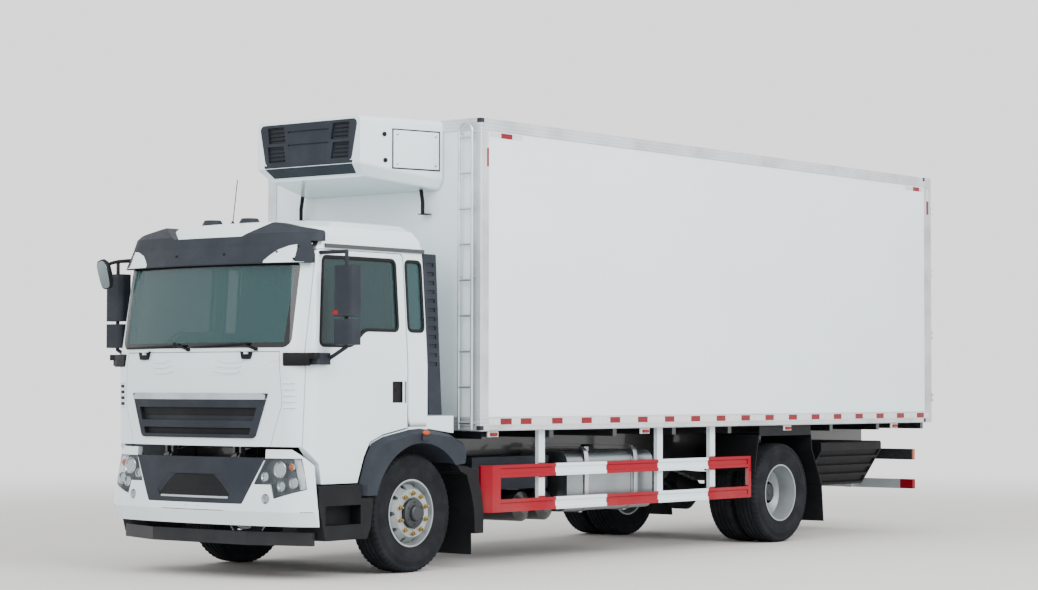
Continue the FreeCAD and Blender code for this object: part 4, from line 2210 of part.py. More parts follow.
def door_mirror(skin):
    """Left mirror set: main and wide-angle heads on a tube between two arms from the door."""
    x = station(mirror_ahead)
    y = mirror_inner_y + mirror_width / 2
    skin_y = cab_half_width - handle_depth
    block_front_x = station(door_seam_belt_ahead) - door_hinge_behind_seam / 2
    base = block((station(mirror_block_rear_ahead), block_front_x), (skin_y, cab_half_width + mirror_block_out),
                 (mirror_block_low_z, mirror_block_high_z))
    hinge = door_hinge_point(0)
    relief = rod(door_hinge_point(hinge_knuckle_split_z), door_hinge_point(mirror_block_high_z + overrun),
                 hinge_knuckle_radius + running_gap)
    knuckle_z = (mirror_block_low_z, hinge_knuckle_split_z)
    knuckle = rod(door_hinge_point(mirror_block_low_z), door_hinge_point(hinge_knuckle_split_z), hinge_knuckle_radius)
    web = block((hinge.x - hinge_knuckle_radius, hinge.x + hinge_knuckle_radius),
                (hinge.y - hinge_web_depth, hinge.y), knuckle_z)
    base = fused([base.cut(relief), knuckle, web])
    middle_z = (mirror_block_low_z + mirror_block_high_z) / 2
    radius = mirror_arm_radius
    low_point = Vector(x, y, wide_mirror_low_z - radius)
    pieces = [
        base,
        mirror_housing(mirror_low_z, mirror_high_z),
        mirror_housing(wide_mirror_low_z, wide_mirror_high_z),
        rod(Vector(x, y, wide_mirror_low_z - radius), Vector(x, y, mirror_top_pivot_z), radius),
        rod(Vector(x, cab_half_width + mirror_block_out / 2, middle_z), low_point, radius),
        Part.makeSphere(radius, low_point),
    ]
    top_y = cab_half_width - cab_screen_head_tuck
    pieces.append(Part.makeSphere(radius, Vector(x, y, mirror_top_pivot_z)))
    pieces.append(rod(Vector(x, top_y - handle_depth, mirror_top_pivot_z), Vector(x, y, mirror_top_pivot_z), radius))
    return fused(pieces).cut(skin)


def arch_points(share):
    """Arch's outer edge seen from the side, drawn towards the axle by a share of its distance."""
    gap = arch_door_gap
    corners = [
        (door_heel_ahead - gap, arch_foot_z - overrun),
        (door_heel_ahead - gap, cab_low_z),
        (door_shoulder_ahead - gap, door_shoulder_z),
        (door_arch_ahead - gap, door_arch_z - gap / 2),
        (door_arch_top_ahead, door_arch_top_z - gap),
        (door_rear_ahead, door_rear_low_z - gap),
        (marker_ahead, arch_top_z),
        (arch_back_ahead, arch_back_z),
        (arch_rear_shoulder_ahead, arch_rear_shoulder_z),
        (arch_rear_bend_ahead, arch_rear_bend_z),
        (arch_rear_tip_ahead, arch_rear_tip_z),
        (arch_notch_ahead, arch_notch_z),
        (arch_liner_rear_ahead, arch_liner_rear_z),
        (0, axle_z),
        (arch_radius - overrun, arch_foot_z - overrun),
    ]
    return [(station(ahead * share), axle_z + (z - axle_z) * share) for ahead, z in corners]


def wheel_arch():
    """Left cab arch: a lip bevelled towards the wheel, a liner over the tyre and a marker lamp."""
    centre = Vector(front_axle_x, 0, axle_z)
    base_y = cab_half_width + seat_gap
    base = rounded_wire([(Vector(x, base_y, z), 0) for x, z in arch_points(1)])
    ridge = rounded_wire([(Vector(x, arch_outer_y, z), 0) for x, z in arch_points(arch_ridge_share)])
    opening = rod(centre, centre + Vector(0, 2 * arch_outer_y, 0), arch_radius)
    foot = block((station(0), station(tyre_radius * 2)), (arch_inner_y, arch_outer_y),
                 (0, arch_foot_z))
    lip = Part.makeLoft([base, ridge], True, True).cut([opening, foot])
    liner = rod(centre + Vector(0, arch_inner_y, 0), centre + Vector(0, base_y + seat_gap, 0),
                arch_radius + arch_skin)
    liner = liner.cut(opening).common(slab_y(arch_points(1), arch_inner_y, base_y + seat_gap)).cut(foot)
    marker = block((station(marker_ahead) - marker_length / 2, station(marker_ahead) + marker_length / 2),
                   (arch_outer_y - arch_skin, arch_outer_y + marker_proud),
                   (marker_z - marker_height / 2, marker_z + marker_height / 2))
    return fused([lip, liner, marker])


def air_guide():
    """Left air guide behind the cab's rear corner, with a column of raised slots."""
    front_x = station(cab_rear_ahead) - seat_gap
    rear_x = station(guide_rear_ahead)
    low_y = cab_half_width - guide_thickness
    top_shift = cab_drip_tuck
    foot = Part.makePolygon([Vector(front_x, low_y, guide_low_z), Vector(front_x, cab_half_width, guide_low_z),
                             Vector(rear_x, cab_half_width, guide_low_z), Vector(rear_x, low_y, guide_low_z),
                             Vector(front_x, low_y, guide_low_z)])
    head = foot.copy()
    head.translate(Vector(0, -top_shift, guide_high_z - guide_low_z))
    panel = Part.makeLoft([foot, head], True, True)
    width = front_x - rear_x
    cuts = []
    for index in range(guide_slot_count):
        z = guide_high_z - (index + 1) * guide_slot_pitch
        share = (z - guide_low_z) / (guide_high_z - guide_low_z)
        y = cab_half_width - top_shift * share
        cuts.append(block((rear_x + width * guide_slot_front_share, rear_x + width * guide_slot_rear_share),
                          (y - guide_slot_depth, y + overrun), (z - guide_slot_height, z)))
    panel = panel.cut(cuts)
    return_flange = Part.makeLoft([
        Part.makePolygon([Vector(front_x, low_y - cab_wall, guide_low_z), Vector(front_x, low_y, guide_low_z),
                          Vector(front_x - guide_thickness, low_y, guide_low_z),
                          Vector(front_x - guide_thickness, low_y - cab_wall, guide_low_z),
                          Vector(front_x, low_y - cab_wall, guide_low_z)]),
        Part.makePolygon([Vector(front_x, low_y - cab_wall - top_shift, guide_high_z),
                          Vector(front_x, low_y - top_shift, guide_high_z),
                          Vector(front_x - guide_thickness, low_y - top_shift, guide_high_z),
                          Vector(front_x - guide_thickness, low_y - cab_wall - top_shift, guide_high_z),
                          Vector(front_x, low_y - cab_wall - top_shift, guide_high_z)]),
    ], True, True)
    return fused([panel, return_flange])


def seats():
    """Driver and passenger seats: pedestal, cushion, leaning back and head restraint."""
    rear_x = station(seat_ahead) - seat_length / 2
    front_x = rear_x + seat_length
    floor_z = cab_floor_z + cab_floor_thickness + seat_gap
    cushion_z = seat_base_z + seat_cushion_height
    half = seat_width / 2
    shapes = []
    for y in (seat_y, -seat_y):
        low = y - half
        high = y + half
        pedestal_y = max(abs(y) - seat_pedestal_width / 2, tunnel_half_width + running_gap)
        pedestal = block((rear_x + seat_back_thickness, front_x - seat_back_thickness),
                         (math.copysign(pedestal_y, y), math.copysign(abs(y) + seat_pedestal_width / 2, y)),
                         (floor_z, seat_base_z))
        cushion = slab_y([(rear_x, seat_base_z), (front_x, seat_base_z),
                          (front_x, cushion_z, window_radius), (rear_x, cushion_z)], low, high)
        back = slab_y([(rear_x, seat_base_z), (rear_x + seat_back_thickness, cushion_z),
                       (rear_x + seat_back_thickness - seat_back_lean, cushion_z + seat_back_height, window_radius),
                       (rear_x - seat_back_lean, cushion_z + seat_back_height, window_radius)], low, high)
        head_z = cushion_z + seat_back_height + seat_head_gap
        head = slab_y([(rear_x - seat_back_lean, head_z - seat_head_gap - window_radius),
                       (rear_x - seat_back_lean + seat_back_thickness / 2, head_z - seat_head_gap - window_radius),
                       (rear_x - seat_back_lean + seat_back_thickness / 2, head_z + seat_head_height),
                       (rear_x - seat_back_lean, head_z + seat_head_height)],
                      y - seat_head_width / 2, y + seat_head_width / 2)
        shapes.append(fused([pedestal, cushion, back, head]))
    save("seats", shapes)


def dashboard(inner):
    """Dashboard across the cab with the steering column standing out of it."""
    slot = cab_body(cab_front_wall + dash_front_gap, cab_low_z, cab_wall + dash_front_gap)
    reach = 2 * cab_half_width
    half = cab_half_width - cab_wall - cab_screen_foot_tuck - dash_side_gap
    zone = slab_y([
        (station(dash_rear_ahead) + dash_nose_radius, dash_low_z),
        (station(dash_rear_ahead), (dash_low_z + dash_top_z) / 2, dash_nose_radius / 2),
        (station(dash_rear_ahead) + dash_nose_radius, dash_top_z, dash_nose_radius / 2),
        (station(cab_front_ahead), dash_top_z),
        (station(cab_front_ahead), dash_low_z),
    ], -half, half)
    board = zone.common(slot).cut(pair(door_sweep()))
    foot = Vector(station(column_foot_ahead), column_y, column_foot_z)
    head = Vector(station(column_head_ahead), column_y, column_head_z)
    column = rod(foot, head, column_radius)
    return fused([board, column])


def steering_wheel():
    """Rim, hub and spokes of the steering wheel, square to the column."""
    foot = Vector(station(column_foot_ahead), column_y, column_foot_z)
    head = Vector(station(column_head_ahead), column_y, column_head_z)
    axis = head - foot
    axis.normalize()
    hub_foot = head + axis * seat_gap
    hub_head = hub_foot + axis * steering_hub_height
    centre = hub_foot + axis * (steering_hub_height / 2)
    rim = Part.makeTorus(steering_wheel_radius, steering_wheel_rim, centre, axis)
    hub = rod(hub_foot, hub_head, steering_hub_radius)
    spokes = []
    for y_side in (1, -1):
        end = centre + Vector(0, y_side * steering_wheel_radius, 0)
        spokes.append(rod(centre, end, steering_spoke_width / 2))
    return fused([rim, hub] + spokes)


def front_mirror():
    """Round kerb mirror on an arm from the visor's right end."""
    centre = Vector(station(front_mirror_ahead), front_mirror_y, front_mirror_z)
    back = centre + Vector(front_mirror_depth / 2, 0, 0)
    front = centre - Vector(front_mirror_depth / 2, 0, 0)
    head = Part.makeCone(front_mirror_radius, front_mirror_radius / 2, front_mirror_depth, front, back - front)
    root = Vector(station(front_mirror_root_ahead), front_mirror_root_y, front_mirror_root_z)
    arm = rod(root, centre, front_mirror_arm_radius)
    skin = visor_proud + seat_gap
    end_y = visor_half_width + seat_gap
    covered = cab_body(-skin, cab_low_z, -skin).common(
        block((station(cab_rear_ahead), station(cab_front_ahead) + overrun), (-end_y, end_y),
              (cab_low_z, overall_height)))
    arm = arm.cut(covered)
    return fused([head, arm])


def roof_fittings():
    """Two round horn covers and an antenna on the roof."""
    pieces = []
    top_z = cab_roof_z + seat_gap
    for y in horn_stations_y:
        foot = Vector(station(horn_ahead), y, top_z)
        pieces.append(Part.makeCone(horn_radius, horn_radius * 3 / 4, horn_height, foot))
    base = Vector(station(antenna_ahead), antenna_y, top_z)
    lean = Vector(-antenna_length / 4, antenna_y / 4, antenna_length)
    mast = rod(base + lean * leaf_step_share / antenna_base_height, base + lean, antenna_radius)
    foot = Part.makeCone(antenna_base_radius, antenna_radius, antenna_base_height, base)
    pieces.append(fused([mast, foot]))
    save("roof_fittings", pieces)


def screen_point(place, standoff):
    """Point so far out from the windscreen's crowned surface, at a place seen from the front."""
    y, z = place
    share = (z - cab_screen_foot_z) / (cab_screen_head_z - cab_screen_foot_z)
    set_back = cab_screen_foot_set_back + (cab_screen_head_set_back - cab_screen_foot_set_back) * share
    crown_y = (cab_half_width - cab_screen_foot_tuck) * cab_crown_share
    radius = (crown_y * crown_y / cab_crown_drop + cab_crown_drop) / 2
    x = station(cab_front_ahead) - set_back - radius + math.sqrt(radius * radius - y * y)
    return Vector(x + standoff, y, z)


def bent_bar(start, middle, end, radius):
    """Round bar bent to the arc through three points."""
    path = Part.Wire([Part.Arc(start, middle, end).toShape()])
    profile = Part.Wire([Part.makeCircle(radius, start, path.Edges[0].tangentAt(path.Edges[0].FirstParameter))])
    return path.makePipeShell([profile], True, False)


def wipers(skin):
    """Two wipers parked along the foot of the windscreen, blades bent to its crown."""
    shapes = []
    for pivot, elbow, start, end in zip(wiper_pivots, wiper_elbows, wiper_blade_starts, wiper_blade_ends):
        head = screen_point(pivot, wiper_arm_standoff)
        knee = screen_point(elbow, wiper_arm_standoff)
        middle = ((start[0] + end[0]) / 2, (start[1] + end[1]) / 2)
        blade = [screen_point(place, wiper_blade_standoff) for place in (start, middle, end)]
        pieces = [
            rod(head - Vector(wiper_boss_length, 0, 0), head, wiper_boss_radius),
            rod(head, knee, wiper_arm_radius),
            Part.makeSphere(wiper_boss_radius, knee),
            bent_bar(*blade, wiper_arm_radius),
        ]
        shapes.append(fused(pieces).cut(skin))
    return shapes


def cab():
    """Everything that tilts with the cab, and what opens on it."""
    outer = cab_body(0, cab_low_z, 0)
    inner = cab_body(cab_wall, cab_low_z - overrun, cab_wall)
    front_inner = cab_body(cab_front_wall, cab_low_z - overrun, cab_wall)
    shell = flap_pocket(cab_shell(outer, front_inner))
    shell = shell.fuse(flap_lugs(shell_side=True)).removeSplitter()
    save("cab_shell", [shell])
    cab_glass()
    left_door = door(outer, inner)
    save("door_left", [left_door])
    save("door_right", [mirrored(left_door)])
    skin = cab_body(-seat_gap, cab_low_z, -seat_gap)
    mirrors = door_mirror(skin)
    save("mirror_left", [mirrors])
    save("mirror_right", [mirrored(mirrors)])
    save("front_flap", [front_flap(outer)])
    save("front_grille", [front_grille()])
    save("sun_visor", [sun_visor(outer)])
    save("wheel_arches", pair(wheel_arch()))
    save("air_guides", pair(air_guide()))
    seats()
    save("dashboard", [dashboard(inner)])
    save("steering_wheel", [steering_wheel()])
    save("front_mirror", [front_mirror()] + pair(mirror_foot(skin)))
    save("wipers", wipers(skin))
    roof_fittings()


# Bumper, lamps and steps

def bumper_body(inset):
    """Solid bumper form inside its skin by an inset."""
    levels = [
        (bumper_bottom_z, bumper_top_set_back, 0),
        (bumper_step_z, 0, 0),
        (bumper_top_z, bumper_top_set_back, bumper_half_width - bumper_top_half_width),
    ]
    wires = []
    for z, set_back, tuck in levels:
        front_x = station(bumper_front_ahead) - set_back - inset
        half_width = bumper_half_width - tuck - inset
        crown_y = half_width * cab_crown_share
        crown_x = front_x - bumper_crown_drop
        rear_x = station(bumper_rear_low_ahead) - overrun - (overrun if inset > 0 else 0)
        middle_y = half_width * cab_corner_mid_share
        middle_x = crown_x - cab_corner_mid_drop
        side_x = crown_x - cab_corner_length / 2 - cab_corner_mid_drop / 2

        def at(x, y):
            return Vector(x, y, z)
        wires.append(Part.Wire([
            Part.Arc(at(crown_x, -crown_y), at(front_x, 0), at(crown_x, crown_y)).toShape(),
            Part.Arc(at(crown_x, crown_y), at(middle_x, middle_y), at(side_x, half_width)).toShape(),
            Part.makeLine(at(side_x, half_width), at(rear_x, half_width)),
            Part.makeLine(at(rear_x, half_width), at(rear_x, -half_width)),
            Part.makeLine(at(rear_x, -half_width), at(side_x, -half_width)),
            Part.Arc(at(side_x, -half_width), at(middle_x, -middle_y), at(crown_x, -crown_y)).toShape(),
        ]))
    return Part.makeLoft(wires, True, True)


def behind_bumper():
    """Room behind the bumper's raked rear edge, for the door's toe and the step box."""
    reach_x = station(cab_rear_ahead)
    return slab_y([
        (station(bumper_rear_low_ahead), 0),
        (station(bumper_rear_ahead), bumper_rear_bend_z),
        (station(bumper_rear_ahead), bumper_rear_shoulder_z),
        (station(bumper_rear_top_ahead), bumper_top_z + overrun),
        (reach_x, bumper_top_z + overrun),
        (reach_x, 0),
    ], -box_width, box_width)


def insert_outline(margin):
    """Dark centre of the bumper seen from the front, grown by a margin."""
    return [
        (-insert_bottom_half_width - margin, insert_bottom_z - margin, overrun),
        (insert_bottom_half_width + margin, insert_bottom_z - margin, overrun),
        (insert_top_half_width + margin, insert_top_z + margin),
        (-insert_top_half_width - margin, insert_top_z + margin),
    ]


def lamp_outline(margin):
    """Left headlamp seen from the front, drawn in by a margin."""
    return [
        (lamp_inner_y + margin, lamp_notch_z + margin),
        (lamp_notch_y + margin, lamp_notch_z + margin),
        (lamp_foot_y + margin, lamp_low_z + margin),
        (lamp_outer_y + overrun, lamp_low_z + lamp_depth + margin),
        (lamp_outer_y + overrun, lamp_high_z - margin),
        (lamp_top_inner_y + margin, lamp_high_z - margin),
    ]


def bumper():
    """Bumper shell, its dark centre, headlamps and fog lamps."""
    outer = bumper_body(0)
    inner = bumper_body(bumper_wall)
    shell = outer.cut(inner).cut(behind_bumper())
    front = station(bumper_front_ahead)
    reach = front - cab_corner_length - cab_crown_drop - cab_wall
    insert_zone = slab_x(insert_outline(0), reach, front + overrun)
    open_top = block((reach, front + overrun), (-insert_top_half_width, insert_top_half_width),
                     (insert_top_z - overrun, bumper_top_z + overrun))
    lamp_zone = slab_x(lamp_outline(0), station(bumper_rear_ahead) + cab_wall, front + overrun)
    fog_holes = []
    fog_lamps = []
    for side in (1, -1):
        start = Vector(reach, side * fog_lamp_y, fog_lamp_z)
        end = Vector(front + overrun, side * fog_lamp_y, fog_lamp_z)
        fog_holes.append(rod(start, end, fog_lamp_radius + seat_gap))
        fog_lamps.append(rod(start, end, fog_lamp_radius).common(shell))
    plate_holes = []
    for side in (1, -1):
        y = side * plate_hole_spacing / 2
        plate_holes.append(rod(Vector(reach, y, plate_hole_z), Vector(front + overrun, y, plate_hole_z), plate_hole_radius))
    body = shell.cut([insert_zone, open_top, lamp_zone, mirrored(lamp_zone)] + fog_holes + plate_holes)
    save("front_bumper", [solid for solid in body.Solids])
    lamp = shell.common(slab_x(lamp_outline(seat_gap), station(bumper_rear_ahead) + cab_wall + seat_gap, front + overrun))
    save("headlamps", pair(lamp) + fog_lamps)
    centre = shell.common(slab_x(insert_outline(-seat_gap), reach, front + overrun))
    window = slab_x([
        (-insert_window_bottom_half_width, insert_window_bottom_z, overrun),
        (insert_window_bottom_half_width, insert_window_bottom_z, overrun),
        (insert_window_top_half_width, insert_window_top_z, overrun),
        (-insert_window_top_half_width, insert_window_top_z, overrun),
    ], front - insert_depth / 2, front + overrun)
    arms = []
    for side in (1, -1):
        y_range = (side * rail_outer_y, side * (rail_outer_y - rail_flange))
        arms.append(block((station(rail_front_ahead) + seat_gap, front - bumper_wall - bumper_top_set_back / 2), y_range,
                          (bumper_arm_low_z, bumper_arm_high_z)))
    save("bumper_insert", [fused([centre.cut(window)] + arms)])


def steps():
    """Entry step box under each door with a recessed tread."""
    front_x = station(step_front_ahead)
    body = slab_y([
        (station(step_rear_low_ahead), step_bottom_z, overrun),
        (station(step_front_low_ahead), step_bottom_z),
        (front_x, step_recess_top_z),
        (front_x, step_top_z),
        (station(step_shoulder_ahead), step_top_z),
        (station(step_shoulder_ahead), step_shoulder_z),
        (station(step_rear_ahead), step_shoulder_z),
        (station(step_rear_ahead), bumper_rear_bend_z),
        (station(step_heel_ahead), step_heel_z),
    ], step_inner_y, step_outer_y)
    recess = block((station(step_rear_low_ahead) + 2 * step_wall, front_x - 2 * step_wall),
                   (step_outer_y - step_recess_depth, step_outer_y + overrun),
                   (step_tread_z + step_tread_thickness, step_recess_top_z))
    body = body.cut(recess)
    stay_x = (front_x - 3 * step_wall, front_x - 2 * step_wall)
    stay = block(stay_x, (rail_outer_y + seat_gap, step_inner_y), (step_recess_top_z, step_top_z))
    rise = block(stay_x, (rail_outer_y + seat_gap, rail_outer_y + step_wall),
                 (step_recess_top_z, rail_bottom_z + rail_height / 2))
    save("cab_steps", pair(fused([body, stay, rise])))


def build():
    """Make every sub-part."""
    wheels()
    front_axle()
    eyes = springs()
    rear_axle()
    steering()
    chassis_frame(eyes)
    engine()
    fuel_tank()
    air_tanks()
    battery_box()
    silencer()
    side_guards()
    mudguards()
    save("underrun_guards", [front_underrun(), rear_underrun()])
    box_floor()
    box_walls()
    box_edges()
    rear_frame()
    rear_doors()
    ladder()
    cooling_unit()
    under_unit()
    cab()
    bumper()
    steps()


build()
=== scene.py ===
"""Finishes and fittings of a two-axle refrigerated truck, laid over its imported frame.

Metres. X points forward, Y to the truck's left and Z up. Places along the truck are given ahead of
the front axle, as on the builder's drawing, and turned into X by station().
"""
import math

import bpy
import numpy as np
from mathutils import Matrix, Vector


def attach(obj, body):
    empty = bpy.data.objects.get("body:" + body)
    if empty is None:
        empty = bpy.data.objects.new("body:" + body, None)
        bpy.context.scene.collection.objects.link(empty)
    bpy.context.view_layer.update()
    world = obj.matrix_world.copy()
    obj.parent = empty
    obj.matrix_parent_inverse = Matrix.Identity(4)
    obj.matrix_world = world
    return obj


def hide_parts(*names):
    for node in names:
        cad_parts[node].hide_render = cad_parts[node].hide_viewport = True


bl_info = {
    "name": "Refrigerated truck finishes",
    "version": (1, 0, 0),
    "blender": (4, 5, 0),
    "location": "3D View > Sidebar > Truck",
    "description": "Finishes, tyres, lamps, trim and cab interior of a refrigerated truck",
    "category": "Object",
}

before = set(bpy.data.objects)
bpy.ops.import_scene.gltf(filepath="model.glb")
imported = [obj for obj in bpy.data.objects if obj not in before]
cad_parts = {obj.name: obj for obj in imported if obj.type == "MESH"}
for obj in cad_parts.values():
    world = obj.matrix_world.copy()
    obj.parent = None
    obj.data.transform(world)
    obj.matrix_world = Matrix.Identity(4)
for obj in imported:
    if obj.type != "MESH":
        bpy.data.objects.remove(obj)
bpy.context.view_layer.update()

FRONT_AXLE_X = 3.58
REAR_AXLE_X = -2.02
AXLE_Z = 0.507
SIDES = (("left", 1.0), ("right", -1.0))


def station(ahead):
    """X of a place so many metres ahead of the front axle."""
    return FRONT_AXLE_X + ahead


def placed(places):
    """Places given ahead of the front axle, with X in its stead."""
    return [(station(ahead), y, z) for ahead, y, z in places]


# Surfaces: each is a tuple of points, quads and triangles

def grid_surface(points, wrap_rows=False, wrap_columns=False, cap=False):
    """Surface over a grid of points; cap closes the first and last rows with fans about their middles."""
    points = np.asarray(points, float)
    rows, columns = points.shape[:2]
    row = np.arange(rows if wrap_rows else rows - 1)[:, None]
    column = np.arange(columns if wrap_columns else columns - 1)[None, :]
    next_row = (row + 1) % rows
    next_column = (column + 1) % columns
    corners = [row * columns + column, row * columns + next_column,
               next_row * columns + next_column, next_row * columns + column]
    quads = np.stack(np.broadcast_arrays(*corners), -1).reshape(-1, 4)
    vertices = points.reshape(-1, 3)
    triangles = np.zeros((0, 3), int)
    if cap:
        middles = np.array([points[0].mean(0), points[-1].mean(0)])
        around = np.arange(columns)
        after = (around + 1) % columns
        first = np.full(columns, len(vertices))
        last = first + 1
        end = (rows - 1) * columns
        triangles = np.concatenate([
            np.stack([first, after, around], -1),
            np.stack([last, end + around, end + after], -1),
        ])
        vertices = np.concatenate([vertices, middles])
    return outward((vertices, quads, triangles))


def outward(surface):
    """Surface turned so that its enclosed volume, summed from the origin over its faces, is positive."""
    vertices, quads, triangles = surface
    fans = np.concatenate([quads[:, [0, 1, 2]], quads[:, [0, 2, 3]], triangles])
    a, b, c = (vertices[fans[:, i]] for i in range(3))
    if np.einsum("ij,ij->i", a, np.cross(b, c)).sum() < 0:
        return vertices, quads[:, ::-1], triangles[:, ::-1]
    return surface


def joined(surfaces):
    """Several surfaces as one, with their face numbers shifted along."""
    start = 0
    vertices, quads, triangles = [], [], []
    for points, four, three in surfaces:
        vertices.append(points)
        quads.append(four + start)
        triangles.append(three + start)
        start += len(points)
    return np.concatenate(vertices), np.concatenate(quads), np.concatenate(triangles)


def moved(surface, shift=(0, 0, 0), turn=None):
    """Surface turned by a 3 by 3 matrix about the origin, then shifted."""
    vertices, quads, triangles = surface
    if turn is not None:
        vertices = vertices @ np.asarray(turn).T
    return vertices + np.asarray(shift, float), quads, triangles


def mirrored(surface):
    """Surface reflected to the truck's other side, its faces turned back outwards."""
    vertices, quads, triangles = surface
    return vertices * np.array([1.0, -1.0, 1.0]), quads[:, ::-1], triangles[:, ::-1]


def on_side(surface, side):
    """Left-hand surface as it is on the given side, 1 for left and -1 for right."""
    return surface if side > 0 else mirrored(surface)


def repeated(surface, shifts):
    """Copies of a surface at a list of shifts, added as one array."""
    return joined([moved(surface, shift) for shift in shifts])


def lathe(profile, centre, axis=1, steps=48):
    """Profile of (distance along the axis, radius) carried round a circle, its ends closed."""
    profile = np.asarray(profile, float)
    angle = np.linspace(0, 2 * math.pi, steps, endpoint=False)
    along = np.repeat(profile[:, :1], steps, 1)
    first = profile[:, 1:] * np.cos(angle)
    second = profile[:, 1:] * np.sin(angle)
    order = {0: (along, first, second), 1: (second, along, first), 2: (first, second, along)}[axis]
    points = np.stack(order, -1) + np.asarray(centre, float)
    return grid_surface(points, wrap_columns=True, cap=True)


def directions(up, around):
    """Unit directions at a column of heights and a row of turns, in radians."""
    return np.stack(np.broadcast_arrays(np.cos(up) * np.cos(around), np.cos(up) * np.sin(around),
                                        np.sin(up) + 0 * around), -1)


def rounded_box(low, high, radius, steps=2):
    """Box with rounded edges: each corner is an eighth of a sphere set in by the radius."""
    low, high = np.asarray(low, float), np.asarray(high, float)
    middle, half = (low + high) / 2, (high - low) / 2
    quarter = (np.arange(steps) + 0.5) / steps * math.pi / 2
    around = np.concatenate([quarter + q * math.pi / 2 for q in range(4)])
    sign_x = np.repeat([1, -1, -1, 1], steps)
    sign_y = np.repeat([1, 1, -1, -1], steps)
    up = np.concatenate([quarter - math.pi / 2, quarter])[:, None]
    sign_z = np.repeat([-1, 1], steps)[:, None]
    signs = np.stack(np.broadcast_arrays(sign_x + 0 * up, sign_y + 0 * up, sign_z + 0 * around), -1)
    points = middle + signs * (half - radius) + directions(up, around) * radius
    return grid_surface(points, wrap_columns=True, cap=True)


def prism(outline, low, high, bevel, axis=1):
    """Outline carried between two values of an axis, its edges eased by a bevel drawn in to its middle."""
    outline = np.asarray(outline, float)
    middle = outline.mean(0)
    span = np.linalg.norm(outline - middle, axis=1, keepdims=True)
    inner = middle + (outline - middle) * (1 - bevel / span)
    rows = [(inner, low), (outline, low + bevel), (outline, high - bevel), (inner, high)]
    points = []
    for flat, level in rows:
        columns = [flat[:, 0], flat[:, 1]]
        columns.insert(axis, np.full(len(flat), level))
        points.append(np.stack(columns, -1))
    return grid_surface(points, wrap_columns=True, cap=True)


def tube(path, radius, sides=12):
    """Round section carried along a path, set square to it with the least turning; ends closed."""
    path = np.asarray(path, float)
    along = np.gradient(path, axis=0)
    along /= np.linalg.norm(along, axis=1, keepdims=True)
    reference = np.eye(3)[np.argmin(np.abs(along).max(0))]
    across = np.cross(along, reference)
    across /= np.linalg.norm(across, axis=1, keepdims=True)
    up = np.cross(across, along)
    angle = np.linspace(0, 2 * math.pi, sides, endpoint=False)[None, :, None]
    radii = np.broadcast_to(np.asarray(radius, float), (len(path),))[:, None, None]
    points = path[:, None] + radii * (np.cos(angle) * across[:, None] + np.sin(angle) * up[:, None])
    return grid_surface(points, wrap_columns=True, cap=True)


def smooth_path(corners, steps=40):
    """Points along a curve through corners: each coordinate is a Catmull-Rom cubic of the distance."""
    corners = np.asarray(corners, float)
    knots = np.concatenate([corners[:1] * 2 - corners[1:2], corners, corners[-1:] * 2 - corners[-2:-1]])
    place = np.linspace(0, len(corners) - 1, steps)
    index = np.minimum(place.astype(int), len(corners) - 2)
    t = (place - index)[:, None]
    a, b, c, d = (knots[index + i] for i in range(4))
    return 0.5 * (2 * b + (c - a) * t + (2 * a - 5 * b + 4 * c - d) * t ** 2
                  + (3 * b - a - 3 * c + d) * t ** 3)


def bolt(radius, height):
    """Bolt head: a hexagon with its top edge eased, standing along Y from the origin."""
    profile = [(0, radius), (height * 0.75, radius), (height, radius * 0.82)]
    return lathe(profile, (0, 0, 0), 1, 6)


finishes = {}


def piece(name, surfaces, finish, body, sharp=35.0):
    """Mesh object of some surfaces, with the finish of that name, riding on a body of the frame."""
    vertices, quads, triangles = joined(surfaces)
    mesh = bpy.data.meshes.new(name)
    mesh.from_pydata(vertices, [], quads.tolist() + triangles.tolist())
    mesh.polygons.foreach_set("use_smooth", np.ones(len(mesh.polygons), bool))
    mesh.set_sharp_from_angle(angle=math.radians(sharp))
    mesh.materials.append(finishes[finish])
    thing = bpy.data.objects.new(name, mesh)
    bpy.context.scene.collection.objects.link(thing)
    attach(thing, body)
    return thing


# Finishes

